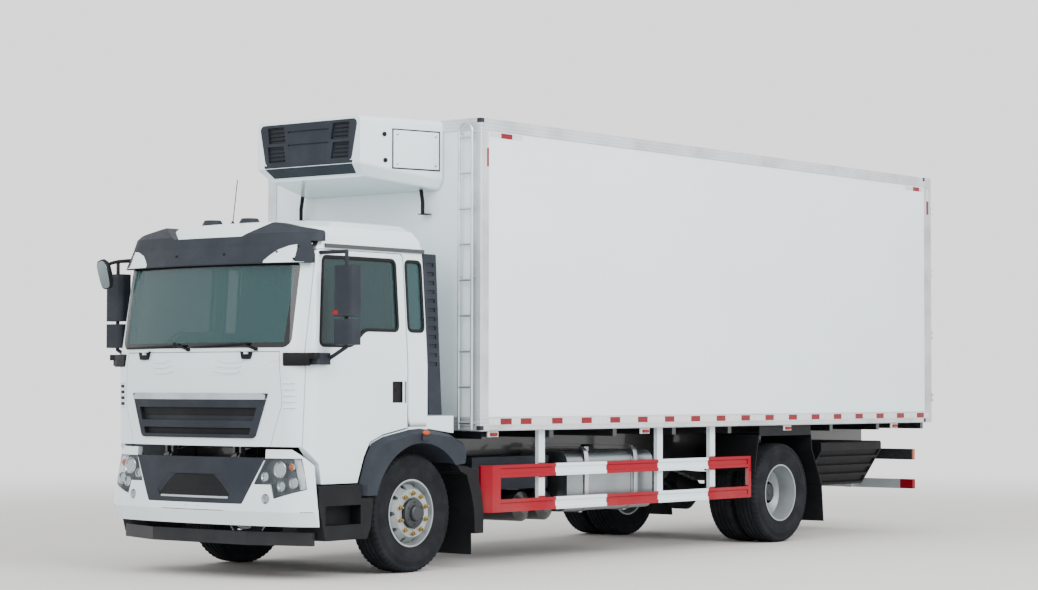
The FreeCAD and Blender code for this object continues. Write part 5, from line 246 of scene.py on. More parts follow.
class Mix:
    """A finish being mixed: short calls that add shader nodes and return their output sockets."""

    def __init__(self, name, colour, roughness, metallic=0.0, coat=0.0, specular=0.5):
        self.material = bpy.data.materials.new(name)
        self.material.use_nodes = True
        self.tree = self.material.node_tree
        self.shader = self.tree.nodes["Principled BSDF"]
        self.shader.inputs["Base Color"].default_value = (*colour, 1)
        self.shader.inputs["Roughness"].default_value = roughness
        self.shader.inputs["Metallic"].default_value = metallic
        self.shader.inputs["Coat Weight"].default_value = coat
        self.shader.inputs["Coat Roughness"].default_value = 0.06
        self.shader.inputs["Specular IOR Level"].default_value = specular
        self.colour = tuple(colour)
        self.place = self.add("ShaderNodeTexCoord").outputs["Object"]
        split = self.add("ShaderNodeSeparateXYZ", Vector=self.place)
        self.x, self.y, self.z = split.outputs

    def add(self, kind, **values):
        """New node with its inputs set or joined by name."""
        node = self.tree.nodes.new(kind)
        for name, value in values.items():
            self.put(node.inputs[name.replace("_", " ")], value)
        return node

    def put(self, socket, value):
        """Set a socket, or join an output to it."""
        if isinstance(value, bpy.types.NodeSocket):
            self.tree.links.new(value, socket)
        elif isinstance(value, tuple) and len(value) == 3 and socket.type == "RGBA":
            socket.default_value = (*value, 1)
        else:
            socket.default_value = value

    def sum(self, operation, first, second=0.0, third=0.5):
        """Result of one arithmetic step; the third value is what MULTIPLY_ADD adds."""
        node = self.tree.nodes.new("ShaderNodeMath")
        node.operation = operation
        self.put(node.inputs[0], first)
        self.put(node.inputs[1], second)
        self.put(node.inputs[2], third)
        return node.outputs[0]

    def without(self, mask):
        """1 less a mask."""
        return self.sum("SUBTRACT", 1.0, mask)

    def noise(self, scale, detail=3.0, stretch=(1, 1, 1)):
        """Cloudy noise between 0 and 1 in the piece's own coordinates."""
        spread = self.add("ShaderNodeMapping", Vector=self.place, Scale=stretch)
        return self.add("ShaderNodeTexNoise", Vector=spread.outputs[0], Scale=scale,
                        Detail=detail).outputs["Fac"]

    def cells(self, scale):
        """Distance to the nearest point of a scatter."""
        return self.add("ShaderNodeTexVoronoi", Vector=self.place, Scale=scale).outputs["Distance"]

    def fade(self, value, low, high):
        """0 below low, 1 above high and smooth between."""
        node = self.add("ShaderNodeMapRange", Value=value)
        node.interpolation_type = "SMOOTHSTEP"
        node.inputs["From Min"].default_value = low
        node.inputs["From Max"].default_value = high
        return node.outputs[0]

    def between(self, value, low, high):
        """1 where a value lies between two limits."""
        edge = 0.002
        return self.both(self.fade(value, low - edge, low + edge),
                         self.without(self.fade(value, high - edge, high + edge)))

    def both(self, first, second):
        """Product of two masks."""
        return self.sum("MULTIPLY", first, second)

    def either(self, first, second):
        """Larger of two masks."""
        return self.sum("MAXIMUM", first, second)

    def blend(self, first, second, factor):
        """Colour between two colours."""
        node = self.tree.nodes.new("ShaderNodeMix")
        node.data_type = "RGBA"
        self.put(node.inputs["Factor"], factor)
        self.put(node.inputs[6], first)
        self.put(node.inputs[7], second)
        return node.outputs[2]

    def waves(self, value, pitch):
        """Round ridges across a value, one for each pitch, between 0 and 1."""
        turn = self.sum("MULTIPLY", value, 2 * math.pi / pitch)
        return self.sum("MULTIPLY_ADD", self.sum("SINE", turn), 0.5, 0.5)

    def finish(self, colour=None, roughness=None, height=None, depth=0.001, strength=1.0, fine=None,
               fine_depth=0.0002, metallic=None):
        """Join what was mixed to the shader and return the material."""
        if colour is not None:
            self.put(self.shader.inputs["Base Color"], colour)
        if roughness is not None:
            self.put(self.shader.inputs["Roughness"], roughness)
        if metallic is not None:
            self.put(self.shader.inputs["Metallic"], metallic)
        normal = None
        for layer, distance in ((height, depth), (fine, fine_depth)):
            if layer is None:
                continue
            bump = self.add("ShaderNodeBump", Height=layer, Distance=distance, Strength=strength)
            if normal is not None:
                self.put(bump.inputs["Normal"], normal)
            normal = bump.outputs[0]
        if normal is not None:
            self.put(self.shader.inputs["Normal"], normal)
        return self.material

    def grime(self, colour, top, amount, tint=(0.33, 0.29, 0.24)):
        """Colour with road dust that grows towards the ground from a height in metres."""
        low = self.without(self.fade(self.z, 0.15, top))
        patchy = self.fade(self.noise(3.0, 6.0), 0.25, 0.75)
        dust = self.both(self.both(low, patchy), amount)
        tint = tuple(min(t, 2.6 * c + 0.006) for t, c in zip(tint, self.colour))
        return self.blend(colour, tint, dust)


WHITE = (0.70, 0.80, 0.84)
GUARD_RED = (0.26, 0.0, 0.010)
SCREEN_TINT = (0.025, 0.070, 0.075)


def scaled(colour, share, lift=0.0):
    """Colour with each part multiplied by a share and lifted, to 1 at most."""
    return tuple(min(1.0, c * share + lift) for c in colour)


def gloss_paint(name, colour, dust=0.10):
    """Smooth gloss paint: faint orange peel under a clear coat, a little tone variation and road dust."""
    mix = Mix(name, colour, 0.32, coat=0.55)
    tone = mix.blend(colour, scaled(colour, 0.94), mix.fade(mix.noise(0.9, 2.0), 0.3, 0.7))
    rough = mix.sum("MULTIPLY_ADD", mix.noise(14.0, 4.0), 0.10, 0.25)
    return mix.finish(mix.grime(tone, 1.3, dust), rough, fine=mix.noise(260.0, 2.0), fine_depth=0.00006)


def laminate(name, colour):
    """Flat laminate of the insulated panels: slow waves in the sheet and a soft sheen."""
    mix = Mix(name, colour, 0.34, coat=0.2)
    cloud = mix.fade(mix.noise(0.45, 3.0, (1, 1, 1.6)), 0.35, 0.65)
    tone = mix.blend(colour, scaled(colour, 0.965), cloud)
    sheet = mix.noise(1.3, 2.0, (1, 1, 1.8))
    return mix.finish(mix.grime(tone, 1.7, 0.05), height=sheet, depth=0.004, strength=0.25,
                      fine=mix.noise(420.0, 2.0), fine_depth=0.00004)


def plain_metal(name, colour, roughness, pitch=0.0, grain=(1, 30, 30), dust=0.15, metallic=1.0):
    """Bare metal: fine grain along the bar and cloudy oxide.

    With a pitch it also has shallow rolled ribs, on the box's rails but not between them.
    """
    mix = Mix(name, colour, roughness, metallic)
    tone = mix.blend(colour, scaled(colour, 0.72), mix.fade(mix.noise(2.6, 6.0), 0.35, 0.8))
    rough = mix.sum("MULTIPLY_ADD", mix.noise(40.0, 4.0, grain), 0.22, roughness - 0.08)
    ridges = None
    if pitch:
        ridges = mix.both(mix.waves(mix.z, pitch), mix.without(mix.between(mix.z, 1.345, 3.79)))
    return mix.finish(mix.grime(tone, 1.3, dust), rough, height=ridges, depth=0.003, strength=0.6,
                      fine=mix.noise(300.0, 3.0, grain), fine_depth=0.00008)


def grained_plastic(name, colour, roughness=0.55, grain=700.0, dust=0.25):
    """Moulded plastic: leathery grain of small cells, slightly faded in patches, dusty low down."""
    mix = Mix(name, colour, roughness, specular=0.18)
    tone = mix.blend(colour, scaled(colour, 1.3, 0.002), mix.fade(mix.noise(4.0, 6.0), 0.35, 0.75))
    rough = mix.sum("MULTIPLY_ADD", mix.noise(30.0, 4.0), 0.18, roughness - 0.09)
    return mix.finish(mix.grime(tone, 1.2, dust), rough, fine=mix.cells(grain), fine_depth=0.00025)


def rubber(name, colour):
    """Black rubber: dull, finely pitted, brown-grey with dust."""
    mix = Mix(name, colour, 0.85, specular=0.12)
    tone = mix.blend(colour, scaled(colour, 1.7, 0.003), mix.fade(mix.noise(7.0, 6.0), 0.35, 0.8))
    return mix.finish(mix.grime(tone, 1.1, 0.22, (0.16, 0.14, 0.12)), height=mix.noise(60.0, 5.0),
                      depth=0.0006, fine=mix.noise(500.0, 2.0), fine_depth=0.0002)


def tinted_glass(name, colour, alpha):
    """Tinted sheet glass: alpha is the share that its tint hides; its gloss softens in faint patches."""
    mix = Mix(name, colour, 0.03, specular=0.45)
    mix.shader.inputs["Alpha"].default_value = alpha
    mix.material.surface_render_method = "DITHERED"
    return mix.finish(roughness=mix.sum("MULTIPLY", mix.noise(5.0, 4.0), 0.07))


def lens(name, colour, glow=0.0):
    """Moulded lens: fine prisms in a square pattern under a glossy skin."""
    mix = Mix(name, colour, 0.3, coat=0.15, specular=0.2)
    mix.shader.inputs["Emission Color"].default_value = (*colour, 1)
    mix.shader.inputs["Emission Strength"].default_value = glow
    prisms = mix.both(mix.waves(mix.sum("ADD", mix.x, mix.y), 0.006), mix.waves(mix.z, 0.006))
    tone = mix.blend(colour, scaled(colour, 0.55), mix.noise(30.0, 3.0))
    return mix.finish(tone, height=prisms, depth=0.0015, strength=0.6)


def cloth(name, colour, stripe):
    """Woven seat cloth: crossed threads with a paler fleck."""
    mix = Mix(name, colour, 0.92, specular=0.2)
    mix.shader.inputs["Sheen Weight"].default_value = 0.25
    threads = mix.sum("ADD", mix.waves(mix.sum("ADD", mix.x, mix.z), 0.0035), mix.waves(mix.y, 0.0035))
    tone = mix.blend(colour, stripe, mix.fade(mix.noise(220.0, 2.0), 0.45, 0.7))
    return mix.finish(tone, height=threads, depth=0.0006, strength=0.5)


def built_finishes():
    """All finishes, by the names that the pieces use."""
    dark = (0.016, 0.020, 0.027)
    return {
        "cab paint": gloss_paint("cab paint", WHITE),
        "box laminate": laminate("box laminate", (0.76, 0.855, 0.89)),
        "door laminate": laminate("door laminate", (0.74, 0.83, 0.86)),
        "extrusion": plain_metal("ribbed extrusion", (0.62, 0.66, 0.69), 0.42, 0.031, metallic=0.55),
        "plain aluminium": plain_metal("plain aluminium", (0.50, 0.54, 0.56), 0.40, metallic=0.9),
        "tank aluminium": plain_metal("rolled tank aluminium", (0.34, 0.37, 0.39), 0.30, metallic=1.0),
        "stainless": plain_metal("brushed stainless steel", (0.63, 0.66, 0.68), 0.28, grain=(30, 30, 1)),
        "chrome": plain_metal("bright chrome", (0.46, 0.52, 0.55), 0.07, dust=0.05),
        "dark plastic": grained_plastic("slate plastic", dark),
        "black plastic": grained_plastic("black plastic", (0.0035, 0.004, 0.005)),
        "trim plastic": grained_plastic("cab trim plastic", (0.045, 0.05, 0.056), 0.6, 500.0, 0.0),
        "chassis paint": gloss_paint("chassis paint", (0.009, 0.0095, 0.011), 0.30),
        "cast iron": plain_metal("painted castings", (0.018, 0.019, 0.021), 0.6, metallic=0.3, dust=0.35),
        "rubber": rubber("black rubber", (0.008, 0.009, 0.011)),
        "wheel silver": plain_metal("wheel silver", (0.36, 0.40, 0.42), 0.36, metallic=0.55, dust=0.2),
        "brass": plain_metal("passivated nuts", (0.40, 0.30, 0.12), 0.34, dust=0.05),
        "grease cap": plain_metal("dark hub metal", (0.05, 0.055, 0.06), 0.45, metallic=0.7, dust=0.1),
        "red tape": lens("red reflective tape", (0.24, 0.002, 0.010)),
        "white tape": lens("white reflective tape", (0.80, 0.83, 0.82)),
        "amber lens": lens("amber lens", (0.55, 0.075, 0.003), 0.04),
        "red lens": lens("red lens", (0.26, 0.002, 0.004), 0.02),
        "clear lens": tinted_glass("clear lens", (0.20, 0.23, 0.25), 0.10),
        "door glass": tinted_glass("tinted door glass", (0.012, 0.035, 0.038), 0.70),
        "lamp chrome": plain_metal("lamp housing", (0.050, 0.058, 0.065), 0.30, dust=0.0),
        "mirror glass": plain_metal("mirror glass", (0.22, 0.27, 0.29), 0.03, dust=0.0),
        "seat cloth": cloth("seat cloth", (0.020, 0.024, 0.032), (0.045, 0.050, 0.060)),
        "curtain cloth": cloth("curtain cloth", (0.07, 0.10, 0.115), (0.10, 0.14, 0.16)),
    }


# What a user would change

class TruckSizes(bpy.types.PropertyGroup):
    """Sizes of the fittings, in metres."""
    tape_height: bpy.props.FloatProperty(name="Tape height", description="Height of the reflective tape",
                                         default=0.054, unit="LENGTH")
    tape_pitch: bpy.props.FloatProperty(name="Tape pitch", description="Distance between red tape blocks",
                                        default=0.4424, unit="LENGTH")
    nut_radius: bpy.props.FloatProperty(name="Wheel nut", description="Radius of a wheel nut",
                                        default=0.019, unit="LENGTH")
    tread_depth: bpy.props.FloatProperty(name="Tread depth", description="Depth of the tyre grooves",
                                         default=0.012, unit="LENGTH")
    lens_focal: bpy.props.FloatProperty(name="Camera lens", description="Focal length of the camera",
                                        default=85.515, unit="CAMERA")


class TruckColours(bpy.types.PropertyGroup):
    """Colours of the stage."""
    floor: bpy.props.FloatVectorProperty(name="Floor", description="Colour of the plain floor", size=3,
                                         subtype="COLOR", default=(0.60, 0.585, 0.57), min=0, max=1)
    light: bpy.props.FloatVectorProperty(name="Light", description="Colour of the soft light", size=3,
                                         subtype="COLOR", default=(1.0, 1.0, 1.0), min=0, max=1)


def sizes():
    """The scene's sizes."""
    return bpy.context.scene.truck_sizes


# Stage

def camera_matrix(place, yaw, pitch, roll):
    """Matrix of a camera at a place, looking back along its own Z after turning by yaw, pitch and roll."""
    look = Vector((-math.sin(yaw) * math.cos(pitch), -math.cos(yaw) * math.cos(pitch), math.sin(pitch)))
    right = Vector((-math.cos(yaw), math.sin(yaw), 0.0))
    up = right.cross(look)
    level = Matrix((right * math.cos(roll) + up * math.sin(roll),
                    up * math.cos(roll) - right * math.sin(roll), -look)).transposed()
    return Matrix.Translation(place) @ level.to_4x4()


class TRUCK_OT_stage(bpy.types.Operator):
    """Camera, plain floor and soft studio light"""
    bl_idname = "truck.stage"
    bl_label = "Stage"

    def execute(self, context):
        scene = context.scene
        lens_data = bpy.data.cameras.new("camera")
        lens_data.lens = scene.truck_sizes.lens_focal
        lens_data.sensor_width = 36.0
        lens_data.clip_end = 300.0
        camera = bpy.data.objects.new("camera", lens_data)
        camera.matrix_world = camera_matrix(Vector((19.535, 14.989, 1.577)), math.radians(51.430),
                                            math.radians(2.162), math.radians(0.095))
        scene.collection.objects.link(camera)
        scene.camera = camera
        self.floor(scene)
        self.lights(scene)
        return {"FINISHED"}

    def floor(self, scene):
        """Round floor whose colour fades out into the backdrop."""
        reach, rings, sides = 90, 31, 96
        radius = np.linspace(0, reach, rings)[:, None]
        angle = np.linspace(0, 2 * math.pi, sides, endpoint=False)[None, :]
        points = np.stack(np.broadcast_arrays(radius * np.cos(angle), radius * np.sin(angle),
                                              0 * radius * angle), -1)
        vertices, quads, _ = grid_surface(points[1:], wrap_columns=True)
        mesh = bpy.data.meshes.new("floor")
        middle = list(range(sides))
        mesh.from_pydata(vertices, [], quads.tolist() + [middle])
        floor = bpy.data.objects.new("floor", mesh)
        colour = tuple(scene.truck_colours.floor)
        mix = Mix("pale floor", colour, 0.85, specular=0.2)
        tone = mix.blend(colour, scaled(colour, 0.93), mix.noise(0.6, 6.0))
        mix.finish(tone, fine=mix.noise(40.0, 4.0), fine_depth=0.001)
        distance = mix.add("ShaderNodeVectorMath", Vector=mix.place)
        distance.operation = "LENGTH"
        glow = mix.add("ShaderNodeEmission", Color=(1.0, 1.0, 1.0, 1.0), Strength=1.7)
        shade = mix.tree.nodes.new("ShaderNodeMixShader")
        mix.put(shade.inputs[0], mix.fade(distance.outputs["Value"], 7.5, 24.0))
        mix.put(shade.inputs[1], mix.shader.outputs[0])
        mix.put(shade.inputs[2], glow.outputs[0])
        mix.put(mix.tree.nodes["Material Output"].inputs["Surface"], shade.outputs[0])
        mesh.materials.append(mix.material)
        scene.collection.objects.link(floor)

    def lights(self, scene):
        """Even white surroundings with a large soft light on the truck's left and one over the nose."""
        world = bpy.data.worlds.new("studio")
        world.use_nodes = True
        back = world.node_tree.nodes["Background"]
        back.inputs["Color"].default_value = (*scene.truck_colours.light, 1)
        back.inputs["Strength"].default_value = 1.7
        scene.world = world
        for name, place, aim, size, power in (
                ("side light", (4.0, 16.0, 11.0), (-1.0, 0.0, 1.5), 12.0, 3300.0),
                ("nose light", (17.0, 3.0, 9.0), (4.0, 0.0, 1.5), 9.0, 900.0)):
            light = bpy.data.lights.new(name, "AREA")
            light.shape = "DISK"
            light.size = size
            light.energy = power
            lamp = bpy.data.objects.new(name, light)
            lamp.location = place
            lamp.rotation_euler = (Vector(aim) - Vector(place)).to_track_quat("-Z", "Y").to_euler()
            scene.collection.objects.link(lamp)


# Finishes of the frame's own nodes

NODE_FINISHES = {
    "cab paint": ("cab_shell", "door_left", "door_right", "front_flap", "front_bumper",
                  "cooling_unit_housing"),
    "box laminate": ("box_walls",),
    "door laminate": ("rear_door_left", "rear_door_right"),
    "extrusion": ("box_edge_rails",),
    "plain aluminium": ("box_floor",),
    "tank aluminium": ("fuel_tank",),
    "stainless": ("ladder", "box_rear_frame"),
    "dark plastic": ("sun_visor", "wheel_arches", "air_guides", "mirror_left", "mirror_right",
                     "bumper_insert", "front_grille", "front_mirror", "roof_fittings", "battery_box",
                     "cooling_unit_grille"),
    "black plastic": ("wipers", "mudguards", "cab_steps", "under_floor_unit"),
    "trim plastic": ("dashboard", "steering_wheel"),
    "chassis paint": ("chassis_frame", "box_subframe", "leaf_springs", "propeller_shaft", "air_tanks",
                      "exhaust_silencer"),
    "cast iron": ("front_axle_beam", "rear_axle_housing", "engine_block", "knuckle_left", "knuckle_right",
                  "track_rod"),
    "wheel silver": ("wheel_front_left", "wheel_front_right", "wheels_rear_left", "wheels_rear_right"),
    "rubber": ("cooling_hoses",),
    "clear lens": ("headlamps",),
    "seat cloth": ("seats",),
    "door glass": ("door_glass_left", "door_glass_right"),
}


def striped_guard():
    """Side guard: white and red stretches along its length, red nose plate, white posts."""
    mix = Mix("side guard paint", WHITE, 0.4, coat=0.05, specular=0.15)
    red = 0.0
    for front, rear in ((-0.80, -1.841), (-2.616, -3.450), (-4.299, -5.20)):
        red = mix.either(red, mix.between(mix.x, station(rear), station(front)))
    rail = mix.either(mix.between(mix.z, 0.47, 0.605), mix.between(mix.z, 0.77, 0.905))
    nose = mix.fade(mix.x, station(-1.045), station(-1.041))
    tail = mix.fade(mix.x, station(-5.008), station(-5.012))
    outer = mix.fade(mix.sum("ABSOLUTE", mix.y), 1.196, 1.200)
    red = mix.either(mix.both(mix.both(red, outer), mix.either(rail, tail)), nose)
    tone = mix.blend(WHITE, GUARD_RED, red)
    return mix.finish(mix.grime(tone, 1.0, 0.12), fine=mix.noise(260.0, 2.0), fine_depth=0.00006)


def striped_underrun():
    """Rear underrun bar in bare metal with red ends, and the dark beam under the bumper."""
    mix = Mix("underrun finish", (0.6, 0.62, 0.64), 0.35, 0.6, specular=0.15)
    front = mix.fade(mix.x, 0.0, 0.01)
    ends = mix.both(mix.fade(mix.sum("ABSOLUTE", mix.y), 1.03, 1.034), mix.fade(mix.z, 0.44, 0.442))
    tone = mix.blend((0.42, 0.46, 0.48), GUARD_RED, ends)
    tone = mix.blend(tone, (0.012, 0.014, 0.018), front)
    bare = mix.sum("SUBTRACT", 0.6, mix.sum("MULTIPLY", front, 0.6))
    return mix.finish(mix.grime(tone, 0.9, 0.05), metallic=bare,
                      fine=mix.noise(300.0, 3.0), fine_depth=0.0001)


def shell_paint():
    """Cab paint whose inner faces are near black as painted shade for the dim inside of the cab, with dark
    drip rails and dark hinge forks under the nose.
    """
    mix = Mix("cab shell paint", WHITE, 0.32, coat=0.55)
    across = mix.sum("ABSOLUTE", mix.y)
    inner_limit = mix.sum("MULTIPLY_ADD", mix.z, -0.07, 1.246)
    # Mask of the inner faces inside the cab, which get painted shade: a near-black colour for the dim inside.
    inside = mix.without(mix.fade(mix.sum("SUBTRACT", across, inner_limit), -0.005, 0.0))
    room = mix.both(mix.between(mix.z, 1.245, 2.80), mix.between(mix.x, station(-0.12), station(1.2)))
    inside = mix.both(inside, room)
    rail = mix.both(mix.between(mix.z, 2.72, 2.79), mix.between(mix.x, station(-0.4), station(1.10)))
    drip = mix.both(mix.fade(across, 1.0838, 1.0848), rail)
    fork = mix.both(mix.fade(mix.x, station(1.2), station(1.21)),
                    mix.both(mix.without(mix.fade(mix.z, 1.085, 1.09)),
                             mix.without(mix.fade(across, 0.62, 0.63))))
    tone = mix.blend(WHITE, (0.66, 0.76, 0.80), mix.fade(mix.noise(0.9, 2.0), 0.3, 0.7))
    # One near-black colour for the painted shade on the inner faces and the real dark drip rails and hinge
    # forks.
    tone = mix.blend(tone, (0.016, 0.019, 0.021), mix.either(inside, mix.either(drip, fork)))
    return mix.finish(mix.grime(tone, 1.3, 0.05), fine=mix.noise(260.0, 2.0), fine_depth=0.00006)


def banded_glass():
    """Tinted windscreen and quarter glass with the black band that hides the glue line."""
    mix = Mix("banded screen glass", SCREEN_TINT, 0.03, specular=0.45)
    across = mix.sum("ABSOLUTE", mix.y)
    screen = mix.fade(mix.x, station(0.9), station(0.91))
    low = mix.without(mix.fade(mix.z, 1.945, 1.955))
    high = mix.fade(mix.z, 2.575, 2.585)
    side_limit = mix.sum("MULTIPLY_ADD", mix.z, 0.06, 0.81)
    side = mix.fade(mix.sum("SUBTRACT", across, side_limit), 0.0, 0.006)
    band = mix.both(screen, mix.either(mix.either(low, high), side))
    tone = mix.blend(SCREEN_TINT, (0.004, 0.005, 0.006), band)
    mix.put(mix.shader.inputs["Alpha"], mix.sum("MULTIPLY_ADD", band, 0.40, 0.60))
    rough = mix.sum("MULTIPLY", mix.noise(5.0, 4.0), 0.07)
    return mix.finish(tone, rough)


def lamp_bar():
    """Tail lamps: red over most of the bar, amber at its outer end and a clear patch between."""
    mix = Mix("tail lamp lens", (0.6, 0.02, 0.02), 0.3, coat=0.15, specular=0.2)
    across = mix.sum("ABSOLUTE", mix.y)
    amber = mix.fade(across, 1.03, 1.032)
    clear = mix.between(across, 0.62, 0.70)
    frame_part = mix.without(mix.fade(mix.z, 0.776, 0.78))
    stay = mix.fade(mix.x, -4.975, -4.970)
    tone = mix.blend((0.20, 0.002, 0.004), (0.55, 0.075, 0.003), amber)
    tone = mix.blend(tone, (0.50, 0.53, 0.55), clear)
    tone = mix.blend(tone, (0.02, 0.021, 0.023), mix.either(frame_part, stay))
    prisms = mix.both(mix.waves(mix.y, 0.008), mix.waves(mix.z, 0.008))
    return mix.finish(tone, height=prisms, depth=0.001, strength=0.5)


class TRUCK_OT_node_finishes(bpy.types.Operator):
    """Give each of the frame's own nodes its finish"""
    bl_idname = "truck.node_finishes"
    bl_label = "Frame finishes"

    def execute(self, context):
        finishes.update(built_finishes())
        special = {"side_guards": striped_guard(), "underrun_guards": striped_underrun(),
                   "cab_glass": banded_glass(), "tail_lamps": lamp_bar(), "cab_shell": shell_paint()}
        for name, nodes in NODE_FINISHES.items():
            for node in nodes:
                special.setdefault(node, finishes[name])
        for node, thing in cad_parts.items():
            if node in special:
                thing.data.materials.clear()
                thing.data.materials.append(special[node])
        return {"FINISHED"}


# Wheels

def tyre_surface(centre_y, axle_x):
    """Tyre as a ring of sections: radius is the section's height less the grooves at that angle.

    The section runs bead, wall, shoulder, tread, shoulder, wall, bead and back along the bore. Long
    grooves run round it in gentle waves and short notches cut its shoulders.
    """
    depth = sizes().tread_depth
    pitches, pitch_columns, notch_columns = 60, 5, 2
    columns = pitches * pitch_columns
    angle = np.linspace(0, 2 * math.pi, columns, endpoint=False)
    wall = np.array([(0.118, 0.2903), (0.121, 0.302), (0.119, 0.316), (0.127, 0.335), (0.134, 0.362),
                     (0.1372, 0.385), (0.1375, 0.405), (0.1392, 0.409), (0.1392, 0.415), (0.1372, 0.419),
                     (0.1345, 0.445), (0.1325, 0.448), (0.1305, 0.464), (0.1322, 0.468), (0.1265, 0.489)])
    tread_y = [0.1215, 0.113, 0.0985]
    sunk = [0.0, 0.0, 0.0]
    top_half, bottom_half = 0.0075, 0.005
    for groove in (0.072, 0.026):
        tread_y += [groove + top_half, groove + bottom_half, groove - bottom_half, groove - top_half]
        sunk += [0.0, 1.0, 1.0, 0.0]
    tread_y = np.array(tread_y + [0.0])
    sunk = np.array(sunk + [0.0])
    tread_y = np.concatenate([tread_y, -tread_y[-2::-1]])
    sunk = np.concatenate([sunk, sunk[-2::-1]])
    fall, shoulder_fall = 0.0035, 0.010
    crown = (AXLE_Z - fall * (tread_y / 0.113) ** 2
             - shoulder_fall * np.clip((np.abs(tread_y) - 0.112) / 0.010, 0, 1))
    section_y = np.concatenate([wall[:, 0], tread_y, -wall[::-1, 0]])
    section_r = np.concatenate([wall[:, 1], crown, wall[::-1, 1]])
    groove_sunk = np.concatenate([np.zeros(len(wall)), sunk, np.zeros(len(wall))])
    wall_share, notch_share, notch_inner_y = 0.6, 0.7, 0.098
    plain = np.zeros(len(wall) - 1)
    notch_row = np.concatenate([plain, [wall_share], np.where(np.abs(tread_y) > notch_inner_y, 1.0, 0.0),
                                [wall_share], plain])
    notch = (np.arange(columns) % pitch_columns < notch_columns).astype(float)
    shifted = np.roll(notch, notch_columns)
    notches = np.where(section_y[:, None] > 0, notch[None, :], shifted[None, :]) * notch_row[:, None]
    radius = section_r[:, None] - depth * np.maximum(groove_sunk[:, None], notch_share * notches)
    sway, wavy_y = 0.0022, 0.09
    wave = sway * np.sin(angle * pitches / 2)[None, :]
    y = section_y[:, None] + wave * (np.abs(section_y) < wavy_y)[:, None]
    points = np.stack([radius * np.sin(angle) + axle_x, y + centre_y + 0 * radius,
                       radius * np.cos(angle) + AXLE_Z], -1)
    return grid_surface(points, wrap_rows=True, wrap_columns=True)


class TRUCK_OT_tyres(bpy.types.Operator):
    """Six tyres with their tread"""
    bl_idname = "truck.tyres"
    bl_label = "Tyres"

    def execute(self, context):
        for name, side in SIDES:
            front = piece("tread_front_" + name, [on_side(tyre_surface(0.9725, FRONT_AXLE_X), side)],
                          "rubber", "wheel_front_" + name, 40)
            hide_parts("tyre_front_" + name)
            pair = [on_side(tyre_surface(y, REAR_AXLE_X), side) for y in (1.1275, 0.8095)]
            rear = piece("tread_rear_" + name, pair, "rubber", "wheels_rear_" + name, 40)
            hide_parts("tyres_rear_" + name)
        return {"FINISHED"}


def wheel_nut():
    """Flanged wheel nut on its stud, standing along Y."""
    radius = sizes().nut_radius
    nut = lathe([(0, radius * 0.95), (0.022, radius * 0.95), (0.027, radius * 0.72)], (0, 0, 0), 1, 6)
    washer = lathe([(0, radius * 1.25), (0.004, radius * 1.25), (0.006, radius * 1.1)], (0, 0, 0), 1, 14)
    stud = lathe([(0.02, 0.010), (0.044, 0.010), (0.047, 0.007)], (0, 0, 0), 1, 10)
    return joined([nut, washer, stud])


def ring_shifts(count, radius, axle_x, y, start=0.5):
    """Places evenly round a circle about a wheel's axle."""
    angle = (np.arange(count) + start) / count * 2 * math.pi
    return np.stack([axle_x + radius * np.cos(angle), np.full(count, y), AXLE_Z + radius * np.sin(angle)], -1)


class TRUCK_OT_wheel_fittings(bpy.types.Operator):
    """Wheel nuts, hub caps and drive flanges"""
    bl_idname = "truck.wheel_fittings"
    bl_label = "Wheel fittings"

    def execute(self, context):
        for name, side in SIDES:
            body = "wheel_front_" + name
            nuts = repeated(wheel_nut(), ring_shifts(10, 0.1725, FRONT_AXLE_X, 1.1025))
            piece("nuts_front_" + name, [on_side(nuts, side)], "brass", body, 30)
            cap = lathe([(1.105, 0.128), (1.128, 0.124), (1.134, 0.112), (1.136, 0.070), (1.158, 0.066),
                         (1.166, 0.056), (1.168, 0.030)], (FRONT_AXLE_X, 0, AXLE_Z), 1, 48)
            bolts = repeated(bolt(0.008, 0.007), ring_shifts(6, 0.096, FRONT_AXLE_X, 1.1345))
            piece("hub_cap_" + name, [on_side(cap, side), on_side(bolts, side)], "grease cap", body,
                  30)
            body = "wheels_rear_" + name
            face_y = 0.9685 + 0.014
            nuts = repeated(wheel_nut(), ring_shifts(10, 0.1675, REAR_AXLE_X, face_y))
            piece("nuts_rear_" + name, [on_side(nuts, side)], "brass", body, 30)
            hub = lathe([(face_y + 0.002, 0.1195), (1.082, 0.1195), (1.0905, 0.112), (1.0905, 0.086),
                         (1.1045, 0.0855), (1.108, 0.078), (1.109, 0.035), (1.115, 0.030)],
                        (REAR_AXLE_X, 0, AXLE_Z), 1, 48)
            bolts = repeated(bolt(0.009, 0.008), ring_shifts(8, 0.101, REAR_AXLE_X, 1.0895))
            piece("drive_flange_" + name, [on_side(hub, side), on_side(bolts, side)], "grease cap", body,
                  30)
        return {"FINISHED"}


# Markings and lamps along the box

